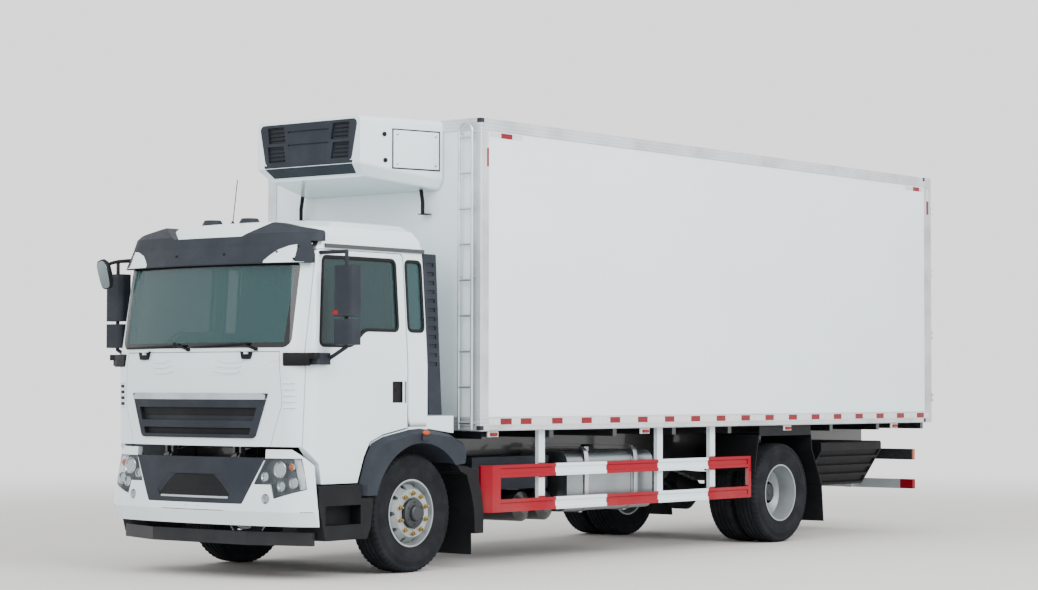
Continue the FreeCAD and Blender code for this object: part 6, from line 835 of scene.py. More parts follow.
class TRUCK_OT_markings(bpy.types.Operator):
    """Reflective tape along the lower rail and at the top corners"""
    bl_idname = "truck.markings"
    bl_label = "Reflective tape"

    def execute(self, context):
        for name, side in SIDES:
            red, white = self.strips()
            piece("red_tape_" + name, [on_side(red, side)], "red tape", "chassis")
            piece("white_tape_" + name, [on_side(white, side)], "white tape", "chassis")
        return {"FINISHED"}

    def strips(self):
        """Red and white strips of one side, each a thin rounded plate."""
        height = sizes().tape_height
        low = 1.255
        starts = [-0.953, -1.238] + [-1.693 - sizes().tape_pitch * step for step in range(16)]
        length = 0.158
        red = [self.strip(start, start - length, low, low + height, True) for start in starts]
        ends = [-0.795] + [start - length for start in starts]
        nexts = starts + [-8.60]
        joint, shortest = 0.001, 0.02
        white = [self.strip(a - joint, b + joint, low, low + height, True)
                 for a, b in zip(ends, nexts) if a - b > shortest]
        white += [self.strip(-0.815, -0.966, 3.786, 3.832), self.strip(-1.126, -1.273, 3.786, 3.832),
                  self.strip(-0.760, -0.785, 3.690, 3.824, True),
                  self.strip(-8.115, -8.281, 3.786, 3.832), self.strip(-8.425, -8.500, 3.786, 3.832),
                  self.strip(-8.563, -8.612, 3.690, 3.815, True)]
        red += [self.strip(-0.967, -1.125, 3.786, 3.832), self.strip(-0.758, -0.785, 3.523, 3.687, True),
                self.strip(-8.282, -8.424, 3.786, 3.832), self.strip(-8.563, -8.612, 3.533, 3.687, True)]
        return joined(red), joined(white)

    def strip(self, front, rear, low, high, on_rail=False):
        """One strip on the side wall, or on a rail, which stands proud of it."""
        y = 1.3004 if on_rail else 1.2904
        behind, proud, ease = 0.001, 0.0008, 0.0007
        return rounded_box((station(rear), y - behind, low), (station(front), y + proud, high), ease, 1)


class TRUCK_OT_marker_lamps(bpy.types.Operator):
    """Small side marker lamps under the lower rail"""
    bl_idname = "truck.marker_lamps"
    bl_label = "Marker lamps"

    def execute(self, context):
        for name, side in SIDES:
            bases, glows = [], []
            for ahead in (-0.878, -3.167, -5.684, -7.869):
                x = station(ahead)
                bases.append(rounded_box((x - 0.072, 1.262, 1.146), (x + 0.072, 1.280, 1.2000), 0.004))
                glows.append(rounded_box((x - 0.050, 1.276, 1.154), (x + 0.050, 1.296, 1.186), 0.008))
            piece("marker_base_" + name, [on_side(joined(bases), side)], "white tape", "chassis")
            piece("marker_lens_" + name, [on_side(joined(glows), side)], "red lens", "chassis")
        return {"FINISHED"}


# Curved fronts that trim is laid on

def three_point_arc(first, middle, last):
    """Centre and radius of the circle through three places in plan."""
    (ax, ay), (bx, by), (cx, cy) = first, middle, last
    d = 2 * (ax * (by - cy) + bx * (cy - ay) + cx * (ay - by))
    a, b, c = ax * ax + ay * ay, bx * bx + by * by, cx * cx + cy * cy
    x = (a * (by - cy) + b * (cy - ay) + c * (ay - by)) / d
    y = (a * (cx - bx) + b * (ax - cx) + c * (bx - ax)) / d
    return x, y, math.hypot(ax - x, ay - y)


def crowned_front(y, front, crown_y, corner):
    """X of a crowned front: an arc through the middle and both crowns, then a tighter corner arc."""
    centre_x, _, radius = three_point_arc((front - 0.1, -crown_y), (front, 0.0), (front - 0.1, crown_y))
    crown = centre_x + np.sqrt(radius ** 2 - np.minimum(np.abs(y), crown_y) ** 2)
    corner_x, corner_y, corner_radius = three_point_arc((front - 0.1, crown_y), *corner)
    reach = np.clip(corner_radius ** 2 - (np.abs(y) - corner_y) ** 2, 0, None)
    return np.where(np.abs(y) <= crown_y, crown, corner_x + np.sqrt(reach))


def cab_front(y, z, out=0.0):
    """X of the cab's front at places across and up it, set out by a distance.

    The front stands upright to the belt and leans back above it.
    """
    levels = (0.783, 1.75, 1.88, 2.61, 2.75, 2.985)
    front = station(1.53) - np.interp(z, levels, (0.02, 0.0, 0.01, 0.10, 0.165, 0.36)) + out
    half = 1.155 - np.interp(z, levels, (0.0, 0.003, 0.009, 0.060, 0.074, 0.2)) + out
    return np.vectorize(lambda v, f, h: float(crowned_front(
        v, f, h * 0.8, ((f - 0.17, h * 0.935), (f - 0.29, h)))))(y, front, half)


def bumper_front(y, z, out=0.0):
    """X of the bumper's front at places across and up it."""
    levels = (0.445, 0.564, 1.072)
    front = station(1.54) - np.interp(z, levels, (0.04, 0.0, 0.04)) + out
    half = 1.2 - np.interp(z, levels, (0.0, 0.0, 0.06)) + out
    return np.vectorize(lambda v, f, h: float(crowned_front(
        v, f, h * 0.8, ((f - 0.165, h * 0.935), (f - 0.225, h)))))(y, front, half)


def band(y, low, high, front, proud, behind=0.004, ease=0.002, out=0.0):
    """Strip laid on a front: a six-cornered section carried across it between two heights."""
    y, low, high = np.broadcast_arrays(*(np.asarray(v, float) for v in (y, low, high)))
    rows = [(low, -behind), (low, proud - ease), (low + ease, proud), (high - ease, proud),
            (high, proud - ease), (high, -behind)]
    points = [np.stack([front(y, z, out) + depth, y, z], -1) for z, depth in rows]
    return grid_surface(np.stack(points, 1), wrap_columns=True, cap=True)


def both_sides(surface):
    """A left-hand surface and its reflection."""
    return joined([surface, mirrored(surface)])


# Front of the cab

class TRUCK_OT_front_trim(bpy.types.Operator):
    """Bright strip, pressed ribs, hinge covers, vents, visor plates and bumper trim"""
    bl_idname = "truck.front_trim"
    bl_label = "Front trim"

    def execute(self, context):
        self.flap()
        self.visor()
        self.bumper()
        return {"FINISHED"}

    def flap(self):
        """Trim on the hinged front panel and the corners beside it."""
        y = np.linspace(-0.784, 0.784, 41)
        top = 1.533 - 0.010 * np.clip((np.abs(y) - 0.74) / 0.044, 0, 1)
        piece("bright_strip", [band(y, 1.476, top, cab_front, 0.016, 0.0, 0.004)], "chrome", "front_flap",
              40)
        ribs = []
        for z, inner, outer in ((1.800, 0.275, 0.565), (1.757, 0.262, 0.540), (1.711, 0.240, 0.520)):
            across = np.linspace(inner, outer, 15)
            slope = 0.020 * np.clip((across - inner) / 0.10, 0, 1) * np.clip((outer - across) / 0.04, 0, 1)
            ribs.append(both_sides(band(across, z - slope, z + 0.003, cab_front, 0.007, ease=0.003)))
        y = np.array([-0.905, -0.80, -0.576, -0.3, 0.0, 0.3, 0.538, 0.80, 0.901])
        crease = np.interp(y, (-0.905, -0.576, 0.538, 0.901), (1.811, 1.675, 1.681, 1.811))
        ribs.append(band(y, crease - 0.005, crease + 0.005, cab_front, 0.003, ease=0.003))
        piece("pressed_ribs", ribs, "cab paint", "front_flap", 50)
        covers = []
        low_z, high_z, ease_z = 1.812, 1.884, 0.04
        for left, right, inset in ((0.537, 0.639, 0.012), (-0.707, -0.567, 0.016)):
            y = np.linspace(left, right, 9)
            low = low_z + ease_z * (np.minimum(y - left, right - y) < inset)
            covers.append(band(y, low, high_z, cab_front, 0.024, ease=0.006))
        piece("hinge_covers", covers, "black plastic", "front_flap", 40)
        vents = []
        for z in (1.425, 1.475, 1.525, 1.575):
            y = np.linspace(0.955, 1.035, 7)
            vents.append(mirrored(band(y, z, z + 0.026, cab_front, 0.0012, ease=0.0005)))
        piece("corner_vents", vents, "black plastic", "cab")
        grilles = []
        for low, high, low_half, high_half in ((1.190, 1.240, 0.600, 0.630), (1.350, 1.455, 0.640, 0.690)):
            y = np.linspace(-high_half, high_half, 61)
            bottom = np.where(np.abs(y) > low_half,
                              low + (np.abs(y) - low_half) / (high_half - low_half) * 0.03, low)
            grilles.append(band(y, bottom, high, cab_front, -0.012, 0.020, 0.001))
        piece("grille_mesh", grilles, "black plastic", "front_flap")
        lips = []
        for z in (1.405, 1.455, 1.505, 1.555, 1.605):
            y = np.linspace(0.945, 1.045, 9)
            lips.append(both_sides(band(y, z + 0.004, z + 0.016, cab_front, 0.012, ease=0.005)))
        piece("corner_lips", lips, "cab paint", "cab", 50)

    def visor(self):
        """White corner plates and the screws of the sun visor."""
        y = np.linspace(0.700, 1.062, 21)
        top = np.interp(y, (0.70, 0.745, 0.80, 0.90, 1.062), (2.625, 2.668, 2.710, 2.745, 2.765))
        plate = band(y, 2.604, top, cab_front, 0.0035, 0.003, 0.0015, out=0.045)
        piece("visor_plates", [both_sides(plate)], "cab paint", "cab", 50)
        places = np.array([(-0.30, 2.815), (-0.31, 2.685), (0.27, 2.815), (0.26, 2.685), (-0.93, 2.83),
                           (0.93, 2.85), (0.98, 2.735), (0.80, 2.69), (0.98, 2.63), (-0.98, 2.735)])
        x = cab_front(places[:, 0], places[:, 1], 0.045)
        head = lathe([(-0.004, 0.013), (0.003, 0.013), (0.006, 0.009), (0.004, 0.006), (0.004, 0.001)],
                     (0, 0, 0), 0, 14)
        screws = repeated(head, np.column_stack([x, places]))
        piece("visor_screws", [screws], "black plastic", "cab")

    def bumper(self):
        """Split line, window and step tread of the bumper."""
        y = np.linspace(-1.19, 1.19, 61)
        split = band(y, 0.562, 0.567, bumper_front, 0.0008, 0.003, 0.0003)
        piece("bumper_split", [split], "black plastic", "chassis")
        y = np.linspace(-0.505, 0.505, 61)
        low = np.where(np.abs(y) > 0.405, 0.668 + (np.abs(y) - 0.405) * 1.9, 0.668)
        window = band(y, low, 0.858, bumper_front, -0.006, 0.030, 0.001)
        piece("bumper_window", [window], "black plastic", "chassis")
        y = np.linspace(-0.40, 0.40, 81)
        teeth = 0.006 * (np.arange(81) % 2)
        tread = band(y, 0.662, 0.676 + teeth, bumper_front, -0.004, 0.030, 0.001)
        piece("bumper_tread", [tread], "plain aluminium", "chassis")


def lamp_patch(outline, centre, rings, offset):
    """Surface inside an outline on the bumper's front: rings that shrink evenly onto a centre."""
    outline, centre = np.asarray(outline, float), np.asarray(centre, float)
    share = np.linspace(1, 0.02, rings)[:, None, None]
    flat = centre + share * (outline - centre)
    return np.stack([bumper_front(flat[..., 0], flat[..., 1]) + offset, flat[..., 0], flat[..., 1]], -1)


def shell_between(front, back):
    """Closed lens: a front patch, its edge and a back patch, joined ring to ring."""
    return grid_surface(np.concatenate([front[::-1], back]), wrap_columns=True, cap=True)


def resampled(corners, spacing):
    """Points every so far along a closed outline."""
    corners = np.asarray(corners, float)
    ends = np.roll(corners, -1, 0)
    parts = [start + (end - start) * np.linspace(0, 1, max(2, int(np.hypot(*(end - start)) / spacing)),
                                                endpoint=False)[:, None] for start, end in zip(corners, ends)]
    return np.concatenate(parts)


def bowl(radius, depth, centre):
    """Reflector: a deep dish with a rolled rim and a bulb on its axis, opening forwards."""
    share = np.linspace(1, 0.12, 9)
    dish = [(-depth * (1 - s ** 2), radius * s) for s in share]
    rim = [(-0.012, radius * 1.10), (0.000, radius * 1.12), (0.003, radius * 1.06)]
    bulb = [(-depth * 0.98, radius * 0.12), (-depth * 0.45, radius * 0.13), (-depth * 0.35, radius * 0.08)]
    return lathe(rim + dish + bulb, centre, 0, 36)


class TRUCK_OT_headlamps(bpy.types.Operator):
    """Headlamps with their bowls under clear lenses, fog lamps and lamps on the arches"""
    bl_idname = "truck.headlamps"
    bl_label = "Headlamps"

    def execute(self, context):
        corners = [(0.664, 0.789), (0.829, 0.789), (0.866, 0.674), (1.128, 0.752), (1.112, 0.860),
                   (1.070, 0.996), (0.767, 0.996)]
        spacing, rings, wall_rings = 0.02, 8, 60
        lens_front, lens_back, tray_front, wall_end, tray_back = -0.001, -0.004, -0.052, -0.058, -0.060
        outline = resampled(corners, spacing)
        centre = (0.93, 0.87)
        lens_shell = shell_between(lamp_patch(outline, centre, rings, lens_front),
                                   lamp_patch(outline, centre, rings, lens_back))
        tray = shell_between(lamp_patch(outline, centre, rings, tray_front),
                             lamp_patch(outline, centre, rings, tray_back))
        wall_front = lamp_patch(outline, centre, wall_rings, lens_back)[:2]
        wall_back = lamp_patch(outline, centre, wall_rings, wall_end)[:2]
        wall = grid_surface(np.stack([wall_front[0], wall_back[0], wall_back[1], wall_front[1]]),
                            wrap_rows=True, wrap_columns=True)
        bowls = []
        bowl_depth, bowl_set_in, fog_radius, fog_depth = 0.040, 0.016, 0.036, 0.030
        for y, z, radius in ((0.892, 0.907, 0.062), (0.752, 0.848, 0.038), (0.915, 0.772, 0.040),
                             (1.020, 0.800, 0.043)):
            bowls.append(bowl(radius, bowl_depth, self.on_bumper(y, z, bowl_set_in)))
        y, z = 0.787, 0.668
        fog = bowl(fog_radius, fog_depth, self.on_bumper(y, z, 0.004))
        fog_dome = [(-0.006, 0.035), (0.000, 0.034), (0.006, 0.026), (0.009, 0.012), (0.0095, 0.001)]
        fog_lens = lathe(fog_dome, self.on_bumper(y, z, 0.003), 0, 32)
        place = self.on_bumper(0.996, 0.930, 0.012)
        amber = lathe([(-0.02, 0.026), (0.0, 0.026), (0.007, 0.018), (0.009, 0.002)], place, 0, 28)
        ring = lathe([(-0.02, 0.030), (0.001, 0.030), (0.002, 0.0275), (-0.02, 0.0265)], place, 0, 28)
        lens_piece = piece("lamp_lenses", [both_sides(lens_shell), both_sides(fog_lens)], "clear lens",
                           "chassis", 30)
        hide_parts("headlamps")
        piece("lamp_trays", [both_sides(tray), both_sides(wall)], "lamp chrome", "chassis",
              30)
        piece("lamp_bowls", [both_sides(joined(bowls + [fog, ring]))], "chrome", "chassis",
              30)
        piece("indicators", [both_sides(amber)], "amber lens", "chassis", 30)
        side = lathe([(0, 0.024), (0.006, 0.022), (0.010, 0.014), (0.011, 0.001)], (0, 0, 0), 1, 20)
        vertices, quads, triangles = side
        stretched = (vertices * np.array([1.9, 1.0, 0.8]), quads, triangles)
        arch_lamp = moved(stretched, (station(-0.03), 1.2312, 1.195))
        piece("arch_lamps", [both_sides(arch_lamp)], "amber lens", "cab", 30)
        return {"FINISHED"}

    def on_bumper(self, y, z, set_in):
        """Place a distance behind the bumper's front."""
        return float(bumper_front(np.array(y), np.array(z))) - set_in, y, z


# Sides of the cab

def side_skin(z):
    """Y of the cab's left skin at a height."""
    return np.interp(z, (0.783, 1.75, 1.88, 2.61, 2.75, 2.985), (1.155, 1.152, 1.146, 1.095, 1.081, 0.825))


def rounded_loop(corners, radius, steps=7):
    """Closed outline with each corner eased by a curve that starts and ends a radius away from it."""
    corners = np.asarray(corners, float)
    share = np.linspace(0, 1, steps)[:, None]
    runs = []
    for before, corner, after in zip(np.roll(corners, 1, 0), corners, np.roll(corners, -1, 0)):
        start = corner + (before - corner) / np.linalg.norm(before - corner) * radius
        end = corner + (after - corner) / np.linalg.norm(after - corner) * radius
        runs.append((1 - share) ** 2 * start + 2 * share * (1 - share) * corner + share ** 2 * end)
    return np.concatenate(runs)


def window_seal(corners, radius, width=0.014, proud=0.006):
    """Rubber round a side window: a low section carried round the outline on the cab's skin."""
    loop = rounded_loop(corners, radius)
    along = np.roll(loop, -1, 0) - np.roll(loop, 1, 0)
    along /= np.linalg.norm(along, axis=1, keepdims=True)
    aside = np.column_stack([along[:, 1], -along[:, 0]])
    rows = []
    for across, out in ((-width, -0.006), (-width, proud * 0.6), (-width * 0.6, proud), (width * 0.6, proud),
                        (width, proud * 0.6), (width, -0.006)):
        flat = loop + aside * across
        rows.append(np.column_stack([flat[:, 0], side_skin(flat[:, 1]) + out, flat[:, 1]]))
    return grid_surface(np.stack(rows, 1), wrap_rows=True, wrap_columns=True)


class TRUCK_OT_cab_sides(bpy.types.Operator):
    """Window rubbers and door handles"""
    bl_idname = "truck.cab_sides"
    bl_label = "Cab sides"

    def execute(self, context):
        door = [(station(a), z) for a, z in ((1.118, 2.660), (0.225, 2.660), (0.225, 2.062), (0.640, 2.062),
                                             (0.815, 1.925), (1.200, 1.925))]
        quarter = [(station(a), z) for a, z in ((0.092, 2.660), (-0.106, 2.660), (-0.106, 2.062),
                                                (0.092, 2.062))]
        quarter_seal = window_seal(quarter, 0.05)
        piece("quarter_seals", [both_sides(quarter_seal)], "black plastic", "cab", 40)
        plate = rounded_box((station(0.137), 1.1335, 1.452), (station(0.313), 1.1385, 1.630), 0.002)
        bar = rounded_box((station(0.153), 1.130, 1.455), (station(0.189), 1.1505, 1.627), 0.006)
        lock = lathe([(1.138, 0.012), (1.143, 0.012), (1.144, 0.010)], (station(0.255), 0, 1.56), 1, 16)
        for name, side in SIDES:
            seal = window_seal(door, 0.05)
            piece("window_seal_" + name, [on_side(seal, side)], "black plastic", "door_" + name,
                  40)
            piece("door_handle_" + name, [on_side(joined([plate, bar, lock]), side)], "black plastic",
                  "door_" + name, 40)
        return {"FINISHED"}


# Mirrors

class TRUCK_OT_mirrors(bpy.types.Operator):
    """Mirror glasses, the kerb mirror on its arm and the fixed hinge blocks"""
    bl_idname = "truck.mirrors"
    bl_label = "Mirrors"

    def execute(self, context):
        for name, side in SIDES:
            glasses, rims = [], []
            margin = 0.01
            for low, high in ((2.178, 2.557), (1.943, 2.117)):
                glasses.append(rounded_box((station(1.0655), 1.282, low + margin),
                                           (station(1.0715), 1.457, high - margin), 0.0025))
                rims.append(rounded_box((station(1.0675), 1.272, low), (station(1.0745), 1.467, high), 0.003))
            piece("mirror_glass_" + name, [on_side(joined(glasses), side)], "mirror glass", "door_" + name)
            piece("mirror_rims_" + name, [on_side(joined(rims), side)], "black plastic", "door_" + name)
        corner = rounded_box((station(1.182), 1.270, 2.172), (station(1.1925), 1.33, 2.21), 0.004)
        piece("mirror_reflector", [corner], "red lens", "door_left")
        head, glass = self.kerb_mirror()
        bends = placed([(1.19, -0.985, 2.685), (1.30, -1.09, 2.680), (1.385, -1.19, 2.655),
                        (1.395, -1.228, 2.60)])
        arm = tube(smooth_path(bends, 24), 0.015)
        foot = prism([(station(1.334), 1.10), (station(1.412), 0.918), (station(1.434), 0.952),
                      (station(1.395), 1.085), (station(1.350), 1.163), (station(1.334), 1.163)],
                     1.755, 1.862, 0.006, 2)
        web = prism([(station(1.300), 1.203), (station(1.334), 1.203), (station(1.334), 1.15),
                     (station(1.350), 1.15), (station(1.352), 1.222), (station(1.344), 1.227),
                     (station(1.300), 1.227)], 1.8123, 1.862, 0.002, 2)
        pin = lathe([(1.8123, 0.0155), (1.860, 0.0155), (1.862, 0.013)], (station(1.3), 1.211, 0), 2, 20)
        feet = [foot, web, pin]
        kerb = piece("kerb_mirror", [head, arm, both_sides(joined(feet))], "black plastic", "cab",
                     40)
        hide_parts("front_mirror")
        piece("kerb_mirror_glass", [glass], "mirror glass", "cab")
        return {"FINISHED"}

    def kerb_mirror(self):
        """Bowed tapering head whose glass looks forwards, outwards and down, and the glass itself."""
        outline = np.array([(-0.062, 0.120), (0.030, 0.135), (0.075, 0.070), (0.072, -0.080), (0.040, -0.125),
                            (-0.035, -0.130), (-0.072, -0.095), (-0.085, 0.060)])
        loop = smooth_path(np.concatenate([outline, outline[:1]]), 49)[:-1]
        outward_turn, down = math.radians(-8), math.radians(14)
        turn = np.array(Matrix.Rotation(outward_turn, 3, "Z") @ Matrix.Rotation(down, 3, "Y"))
        place = (station(1.410), -1.238, 2.560)
        forms = []
        for rows in ([(0.60, -0.048), (0.86, -0.040), (0.98, -0.020), (1.0, 0.0), (0.97, 0.006),
                      (0.92, 0.005)],
                     [(0.91, 0.0055), (0.905, 0.008), (0.60, 0.011), (0.2, 0.0125)]):
            points = np.stack([np.column_stack([np.full(48, depth), loop * share]) for share, depth in rows])
            forms.append(moved(grid_surface(points, wrap_columns=True, cap=True), place, turn))
        return forms


# Cab interior

def padded_block(low, high, seams=(), plump=0.012):
    """Cushion: a box-like rounded form, plump in its faces and drawn in along its seams.

    The form is a superellipsoid of two angles; each seam draws the surface in along its normal by a
    narrow bell-shaped fall of the distance to the seam line.
    """
    low, high = np.asarray(low, float), np.asarray(high, float)
    middle, half = (low + high) / 2, (high - low) / 2
    around = np.linspace(0, 2 * math.pi, 72, endpoint=False)[None, :]
    up = np.linspace(-math.pi / 2 + 0.02, math.pi / 2 - 0.02, 36)[:, None]

    squareness, seam_depth, seam_width = 0.34, 0.011, 0.010

    def eased(value):
        return np.sign(value) * np.abs(value) ** squareness

    normal = directions(up, around)
    shape = np.stack(np.broadcast_arrays(eased(np.cos(up)) * eased(np.cos(around)),
                                         eased(np.cos(up)) * eased(np.sin(around)),
                                         eased(np.sin(up)) + 0 * around), -1)
    points = middle + shape * half
    swell = plump * np.prod(1 - 0.75 * np.clip(np.abs(shape), 0, 1) ** 4, axis=-1, keepdims=True) * 4
    points = points + normal * swell
    across = points[..., 1:2]
    points = points - normal * sum(seam_depth * np.exp(-((across - seam) / seam_width) ** 2)
                                   for seam in seams)
    return grid_surface(points, wrap_columns=True, cap=True)


class TRUCK_OT_cab_interior(bpy.types.Operator):
    """Padded seats, curtain and dashboard fittings"""
    bl_idname = "truck.cab_interior"
    bl_label = "Cab interior"

    def execute(self, context):
        cushions, frames, pipes = [], [], []
        seam_y, seat_half, back_half, head_half = 0.13, 0.25, 0.245, 0.14
        for y in (0.56, -0.56):
            seams = (y - seam_y, y + seam_y)
            cushions.append(padded_block((station(0.16), y - seat_half, 1.612),
                                         (station(0.690), y + seat_half, 1.765), seams))
            lean = np.array(Matrix.Rotation(math.radians(-8.5), 3, "Y"))
            back = padded_block((-0.065, y - back_half, 0.0), (0.065, y + back_half, 0.76), seams)
            cushions.append(moved(back, (station(0.235), 0, 1.71), lean))
            head = padded_block((-0.045, y - head_half, 0.0), (0.045, y + head_half, 0.20), plump=0.008)
            cushions.append(moved(head, (station(0.115), 0, 2.475), lean))
            frames.append(rounded_box((station(0.20), y - 0.19 if y < 0 else 0.41, 1.292),
                                      (station(0.58), -0.41 if y < 0 else y + 0.19, 1.60), 0.02))
            for post in (-0.06, 0.06):
                frames.append(tube(placed([(0.118, y + post, 2.42), (0.105, y + post, 2.56)]), 0.007))
            edge = placed([(0.670, y - 0.225, 1.745), (0.683, y, 1.752), (0.670, y + 0.225, 1.745)])
            pipes.append(tube(smooth_path(edge, 24), 0.005, 8))
        seats = piece("seat_cushions", cushions, "seat cloth", "cab", 60)
        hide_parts("seats")
        piece("seat_piping", pipes, "trim plastic", "cab")
        piece("seat_frames", frames, "black plastic", "cab")
        half_width, low, high, half_thick, count = 0.95, 1.40, 2.62, 0.004, 191
        y = np.linspace(-half_width, half_width, count)
        fold = 0.012 * np.sin(y * 2 * math.pi / 0.075) + 0.004 * np.sin(y * 2 * math.pi / 0.31)
        section = [(low, half_thick), (high, half_thick), (high, -half_thick), (low, -half_thick)]
        points = np.stack([np.column_stack([station(-0.068) + fold + depth, y, np.full(count, z)])
                           for z, depth in section], 1)
        curtain = grid_surface(points, wrap_columns=True, cap=True)
        rail = tube(placed([(-0.068, -0.97, 2.635), (-0.068, 0.97, 2.635)]), 0.010)
        piece("curtain", [curtain], "curtain cloth", "cab", 60)
        piece("curtain_rail", [rail], "trim plastic", "cab")
        self.dashboard()
        return {"FINISHED"}

    def dashboard(self):
        """Air outlets, instrument hood, screen and levers on the dashboard."""
        hood = padded_block((station(1.00), 0.36, 1.955), (station(1.22), 0.76, 2.02), plump=0.003)
        parts = [hood]
        half_width, vane_half_width, vane = 0.055, 0.045, 0.002
        for y in (-0.90, -0.10, 0.16, 0.93):
            parts.append(rounded_box((station(0.815), y - half_width, 1.86),
                                     (station(0.829), y + half_width, 1.92), 0.005))
            for z in (1.872, 1.885, 1.898, 1.910):
                parts.append(rounded_box((station(0.810), y - vane_half_width, z - vane),
                                         (station(0.826), y + vane_half_width, z + vane), 0.0015, 1))
        parts.append(rounded_box((station(0.813), -0.14, 1.70), (station(0.829), 0.20, 1.84), 0.008))
        for path, radius in (([(0.95, 0.50, 1.90), (0.88, 0.38, 1.93), (0.86, 0.32, 1.95)], 0.007),
                             ([(0.95, 0.62, 1.90), (0.88, 0.74, 1.93), (0.86, 0.80, 1.95)], 0.007),
                             ([(0.80, -0.02, 1.46), (0.66, -0.02, 1.66), (0.62, -0.02, 1.80)], 0.010)):
            parts.append(tube(smooth_path(placed(path), 16), radius))
        parts.append(padded_block((station(0.59), -0.055, 1.79), (station(0.65), 0.015, 1.86), plump=0.002))
        piece("dashboard_fittings", parts, "black plastic", "cab", 40)


# Box and cooling unit

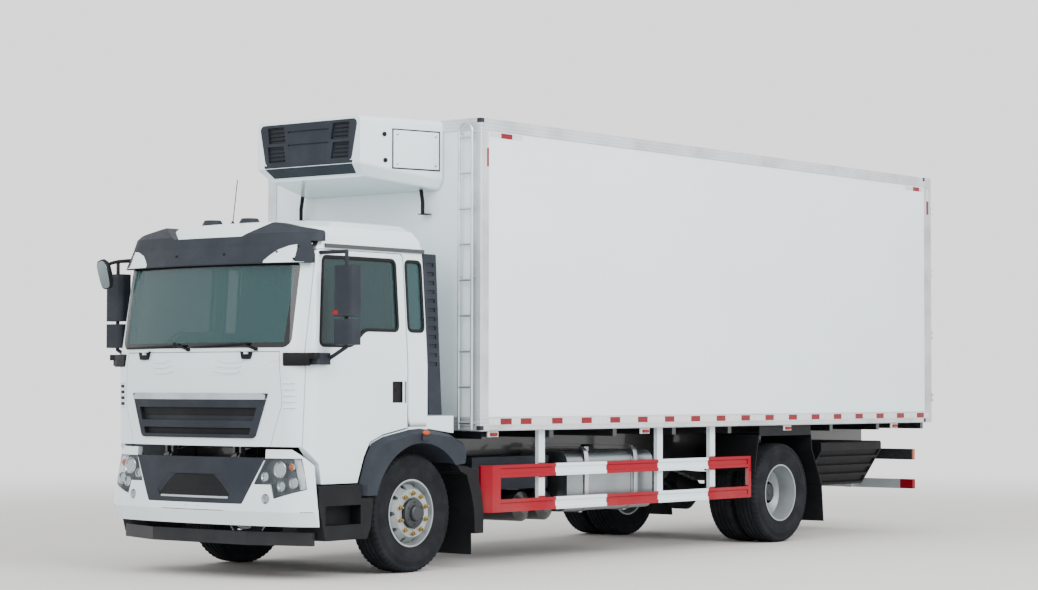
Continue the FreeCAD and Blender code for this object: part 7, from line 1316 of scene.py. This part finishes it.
class TRUCK_OT_box_fittings(bpy.types.Operator):
    """Corner castings, rivets, rear door gaskets, handles and lamps, unit panels and tank straps"""
    bl_idname = "truck.box_fittings"
    bl_label = "Box fittings"

    def execute(self, context):
        castings = []
        length, height, proud = 0.045, 0.043, 0.0008
        inner_y, outer_y = 1.250, 1.3012
        for ahead, reach in ((-0.676, -length), (-8.531, length)):
            for z in (1.205, 3.905):
                castings.append(rounded_box(
                    (station(min(ahead, ahead + reach)) - proud, inner_y, z),
                    (station(max(ahead, ahead + reach)) + proud, outer_y, z + height), 0.004))
        piece("corner_castings", [both_sides(joined(castings))], "dark plastic", "chassis")
        count, pitch, skin_y = 52, 0.148, 1.3000
        x = station(-0.80) - np.arange(count) * pitch
        head = lathe([(-0.001, 0.006), (0.001, 0.006), (0.0025, 0.003), (0.0027, 0.0005)], (0, 0, 0), 1, 8)
        rows = [repeated(head, np.column_stack([x, np.full(count, skin_y), np.full(count, z)]))
                for z in (1.228, 3.905)]
        piece("rail_rivets", [both_sides(joined(rows))], "plain aluminium", "chassis")
        self.rear()
        self.unit()
        self.tank()
        return {"FINISHED"}

    def rear(self):
        """Gaskets, lock handles, lamps and tape at the back."""
        for name, side in SIDES:
            piece("door_gasket_" + name, [on_side(joined(self.gasket()), side)], "rubber",
                  "rear_door_" + name)
            handles = self.lock_handle(0.30) + self.lock_handle(0.58)
            piece("lock_handles_" + name, [on_side(joined(handles), side)], "stainless", "rear_door_" + name,
                  40)
        rear, front, half_width = station(-8.702), station(-8.6955), 0.055
        lamps = [rounded_box((rear, y - half_width, 3.872), (front, y + half_width, 3.905), 0.003)
                 for y in (0.0, 0.55, 1.12)]
        piece("rear_top_lamps", [both_sides(joined(lamps))], "red lens", "chassis")
        length = 0.15
        for colour, start in (("red", 0.05), ("white", 0.05 + length)):
            tape = [self.rear_tape(start + 2 * length * step, length) for step in range(4)]
            piece("rear_" + colour + "_tape", [both_sides(joined(tape))], colour + " tape", "chassis")

    def gasket(self):
        """Four rubber strips round the face of one rear door."""
        outer, width, proud, behind = station(-8.6665), 0.026, 0.003, 0.007
        inner_y, outer_y, low, high = 0.008, 1.262, 1.345, 3.832
        strips = (((inner_y, low), (inner_y + width, high)), ((outer_y - width, low), (outer_y, high)),
                  ((inner_y, low), (outer_y, low + width)), ((inner_y, high - width), (outer_y, high)))
        return [rounded_box((outer - behind, *start), (outer + proud, *end), proud) for start, end in strips]

    def lock_handle(self, y):
        """Bearing block, bent lever and catch of one lock rod."""
        outer = station(-8.6665)
        block = rounded_box((outer - 0.034, y - 0.035, 2.02), (outer - 0.001, y + 0.035, 2.13), 0.005)
        bends = [(outer - 0.030, y, 2.075), (outer - 0.032, y + 0.10, 2.06),
                 (outer - 0.032, y + 0.22, 2.035), (outer - 0.031, y + 0.30, 2.030)]
        steps = 20
        lever = tube(smooth_path(bends, steps), np.linspace(0.013, 0.010, steps), 10)
        catch = rounded_box((outer - 0.028, y + 0.265, 1.995), (outer - 0.001, y + 0.305, 2.065), 0.004)
        return [block, lever, catch]

    def rear_tape(self, start, length):
        """One block of reflective tape on the rear frame's sill."""
        rear, front, low, high = station(-8.6972), station(-8.6958), 1.235, 1.285
        return rounded_box((rear, start, low), (front, start + length, high), 0.0006, 1)

    def unit(self):
        """Service door, seam and catches of the cooling unit's left side, slats and chin of its nose."""
        turn = np.array(Matrix.Rotation(math.atan2(-0.24, 0.826), 3, "Z"))
        middle = np.array([station(-0.405), 0.7830, 3.67])
        door = rounded_box((-0.238, -0.004, -0.165), (0.238, 0.0045, 0.165), 0.003)
        parts = [moved(door, middle, turn)]
        piece("unit_door", parts, "cab paint", "chassis")
        dark = [moved(rounded_box((-0.250, -0.003, -0.177), (0.250, 0.0025, 0.177), 0.001, 1), middle, turn)]
        cap = lathe([(0, 0.020), (0.010, 0.020), (0.013, 0.014)], (0, 0, 0), 1, 20)
        for along, up in ((0.262 + 0.07, 0.122), (0.262 + 0.06, -0.106)):
            dark.append(moved(moved(cap, (along, -0.001, up)), middle, turn))
        piece("unit_door_seam", dark, "black plastic", "chassis")
        catch = lathe([(0, 0.012), (0.005, 0.012), (0.006, 0.008)], (0, 0, 0), 1, 12)
        catches = [moved(moved(catch, (along, 0.004, up)), middle, turn)
                   for along in (-0.20, 0.20) for up in (-0.13, 0.13)]
        piece("unit_catches", catches, "chrome", "chassis")
        slats = []
        half_width, half_height = 0.10, 0.004
        for z in (3.60, 3.635, 3.67, 3.705, 3.78, 3.815, 3.85, 3.885):
            for y in (0.40, -0.40):
                slats.append(rounded_box((station(0.131), y - half_width, z - half_height),
                                         (station(0.146), y + half_width, z + half_height), 0.002, 1))
        piece("unit_slats", slats, "black plastic", "chassis")
        lean, bend, thick, count = math.radians(49), 0.0485, 0.008, 25
        turn_down = np.linspace(0, lean, 7)
        section = [(0.1535, 3.558)]
        section += [(0.105 + bend * math.cos(a), 3.5506 - bend * math.sin(a)) for a in turn_down]
        section += [(0.0627, 3.4486)]
        inner = [(ahead - thick * math.cos(a), z + thick * math.sin(a))
                 for (ahead, z), a in zip(section, [0, *turn_down, lean])]
        loop = section + inner[::-1]
        half = np.interp([z for _, z in loop], (3.44, 3.53, 3.56), (0.488, 0.525, 0.535))
        share = np.linspace(-1, 1, count)
        points = np.stack([np.column_stack([np.full(count, station(ahead)), h * share, np.full(count, z)])
                           for (ahead, z), h in zip(loop, half)], 1)
        chin = grid_surface(points, wrap_columns=True, cap=True)
        piece("unit_chin", [chin], "dark plastic", "chassis", 40)

    def tank(self):
        """Straps and filler cap of the fuel tank."""
        ring = []
        half_width = 0.03
        for ahead in (-2.52, -3.30):
            corners = [(1.068, 0.52), (1.068, 0.93), (1.02, 1.020), (0.95, 1.029), (0.52, 1.029),
                       (0.45, 1.029)]
            loop = smooth_path([(station(ahead), y, z) for y, z in corners], 40)
            points = np.stack([loop + np.array([a, 0, 0]) for a in (-half_width, half_width)], 1)
            thick = np.concatenate([points, points[::-1] * np.array([1, 0.9975, 0.9975])])
            ring.append(grid_surface(thick, wrap_rows=True))
        piece("tank_straps", ring, "stainless", "chassis", 60)
        cap = lathe([(1.000, 0.060), (1.035, 0.060), (1.045, 0.052), (1.047, 0.02)],
                    (station(-2.80), 0.86, 0), 2, 32)
        piece("filler_cap", [cap], "black plastic", "chassis")


# Panel

OPERATORS = (TRUCK_OT_stage, TRUCK_OT_node_finishes, TRUCK_OT_tyres, TRUCK_OT_wheel_fittings,
             TRUCK_OT_markings, TRUCK_OT_marker_lamps, TRUCK_OT_front_trim, TRUCK_OT_headlamps,
             TRUCK_OT_cab_sides, TRUCK_OT_mirrors, TRUCK_OT_cab_interior, TRUCK_OT_box_fittings)


class TRUCK_PT_panel(bpy.types.Panel):
    """Sidebar panel that lists the truck's steps and sizes"""
    bl_label = "Truck"
    bl_idname = "TRUCK_PT_panel"
    bl_space_type = "VIEW_3D"
    bl_region_type = "UI"
    bl_category = "Truck"

    def draw(self, context):
        for operator in OPERATORS:
            self.layout.operator(operator.bl_idname)
        for group in (context.scene.truck_sizes, context.scene.truck_colours):
            for name in group.__annotations__:
                self.layout.prop(group, name)


CLASSES = (TruckSizes, TruckColours, *OPERATORS, TRUCK_PT_panel)


def register():
    """Add the classes and the scene's sizes and colours."""
    for cls in CLASSES:
        bpy.utils.register_class(cls)
    bpy.types.Scene.truck_sizes = bpy.props.PointerProperty(type=TruckSizes)
    bpy.types.Scene.truck_colours = bpy.props.PointerProperty(type=TruckColours)


def unregister():
    """Take them away again."""
    del bpy.types.Scene.truck_colours
    del bpy.types.Scene.truck_sizes
    for cls in reversed(CLASSES):
        bpy.utils.unregister_class(cls)


def main():
    register()
    for operator in OPERATORS:
        group, name = operator.bl_idname.split(".")
        getattr(getattr(bpy.ops, group), name)()


if __name__ == "__main__":
    main()
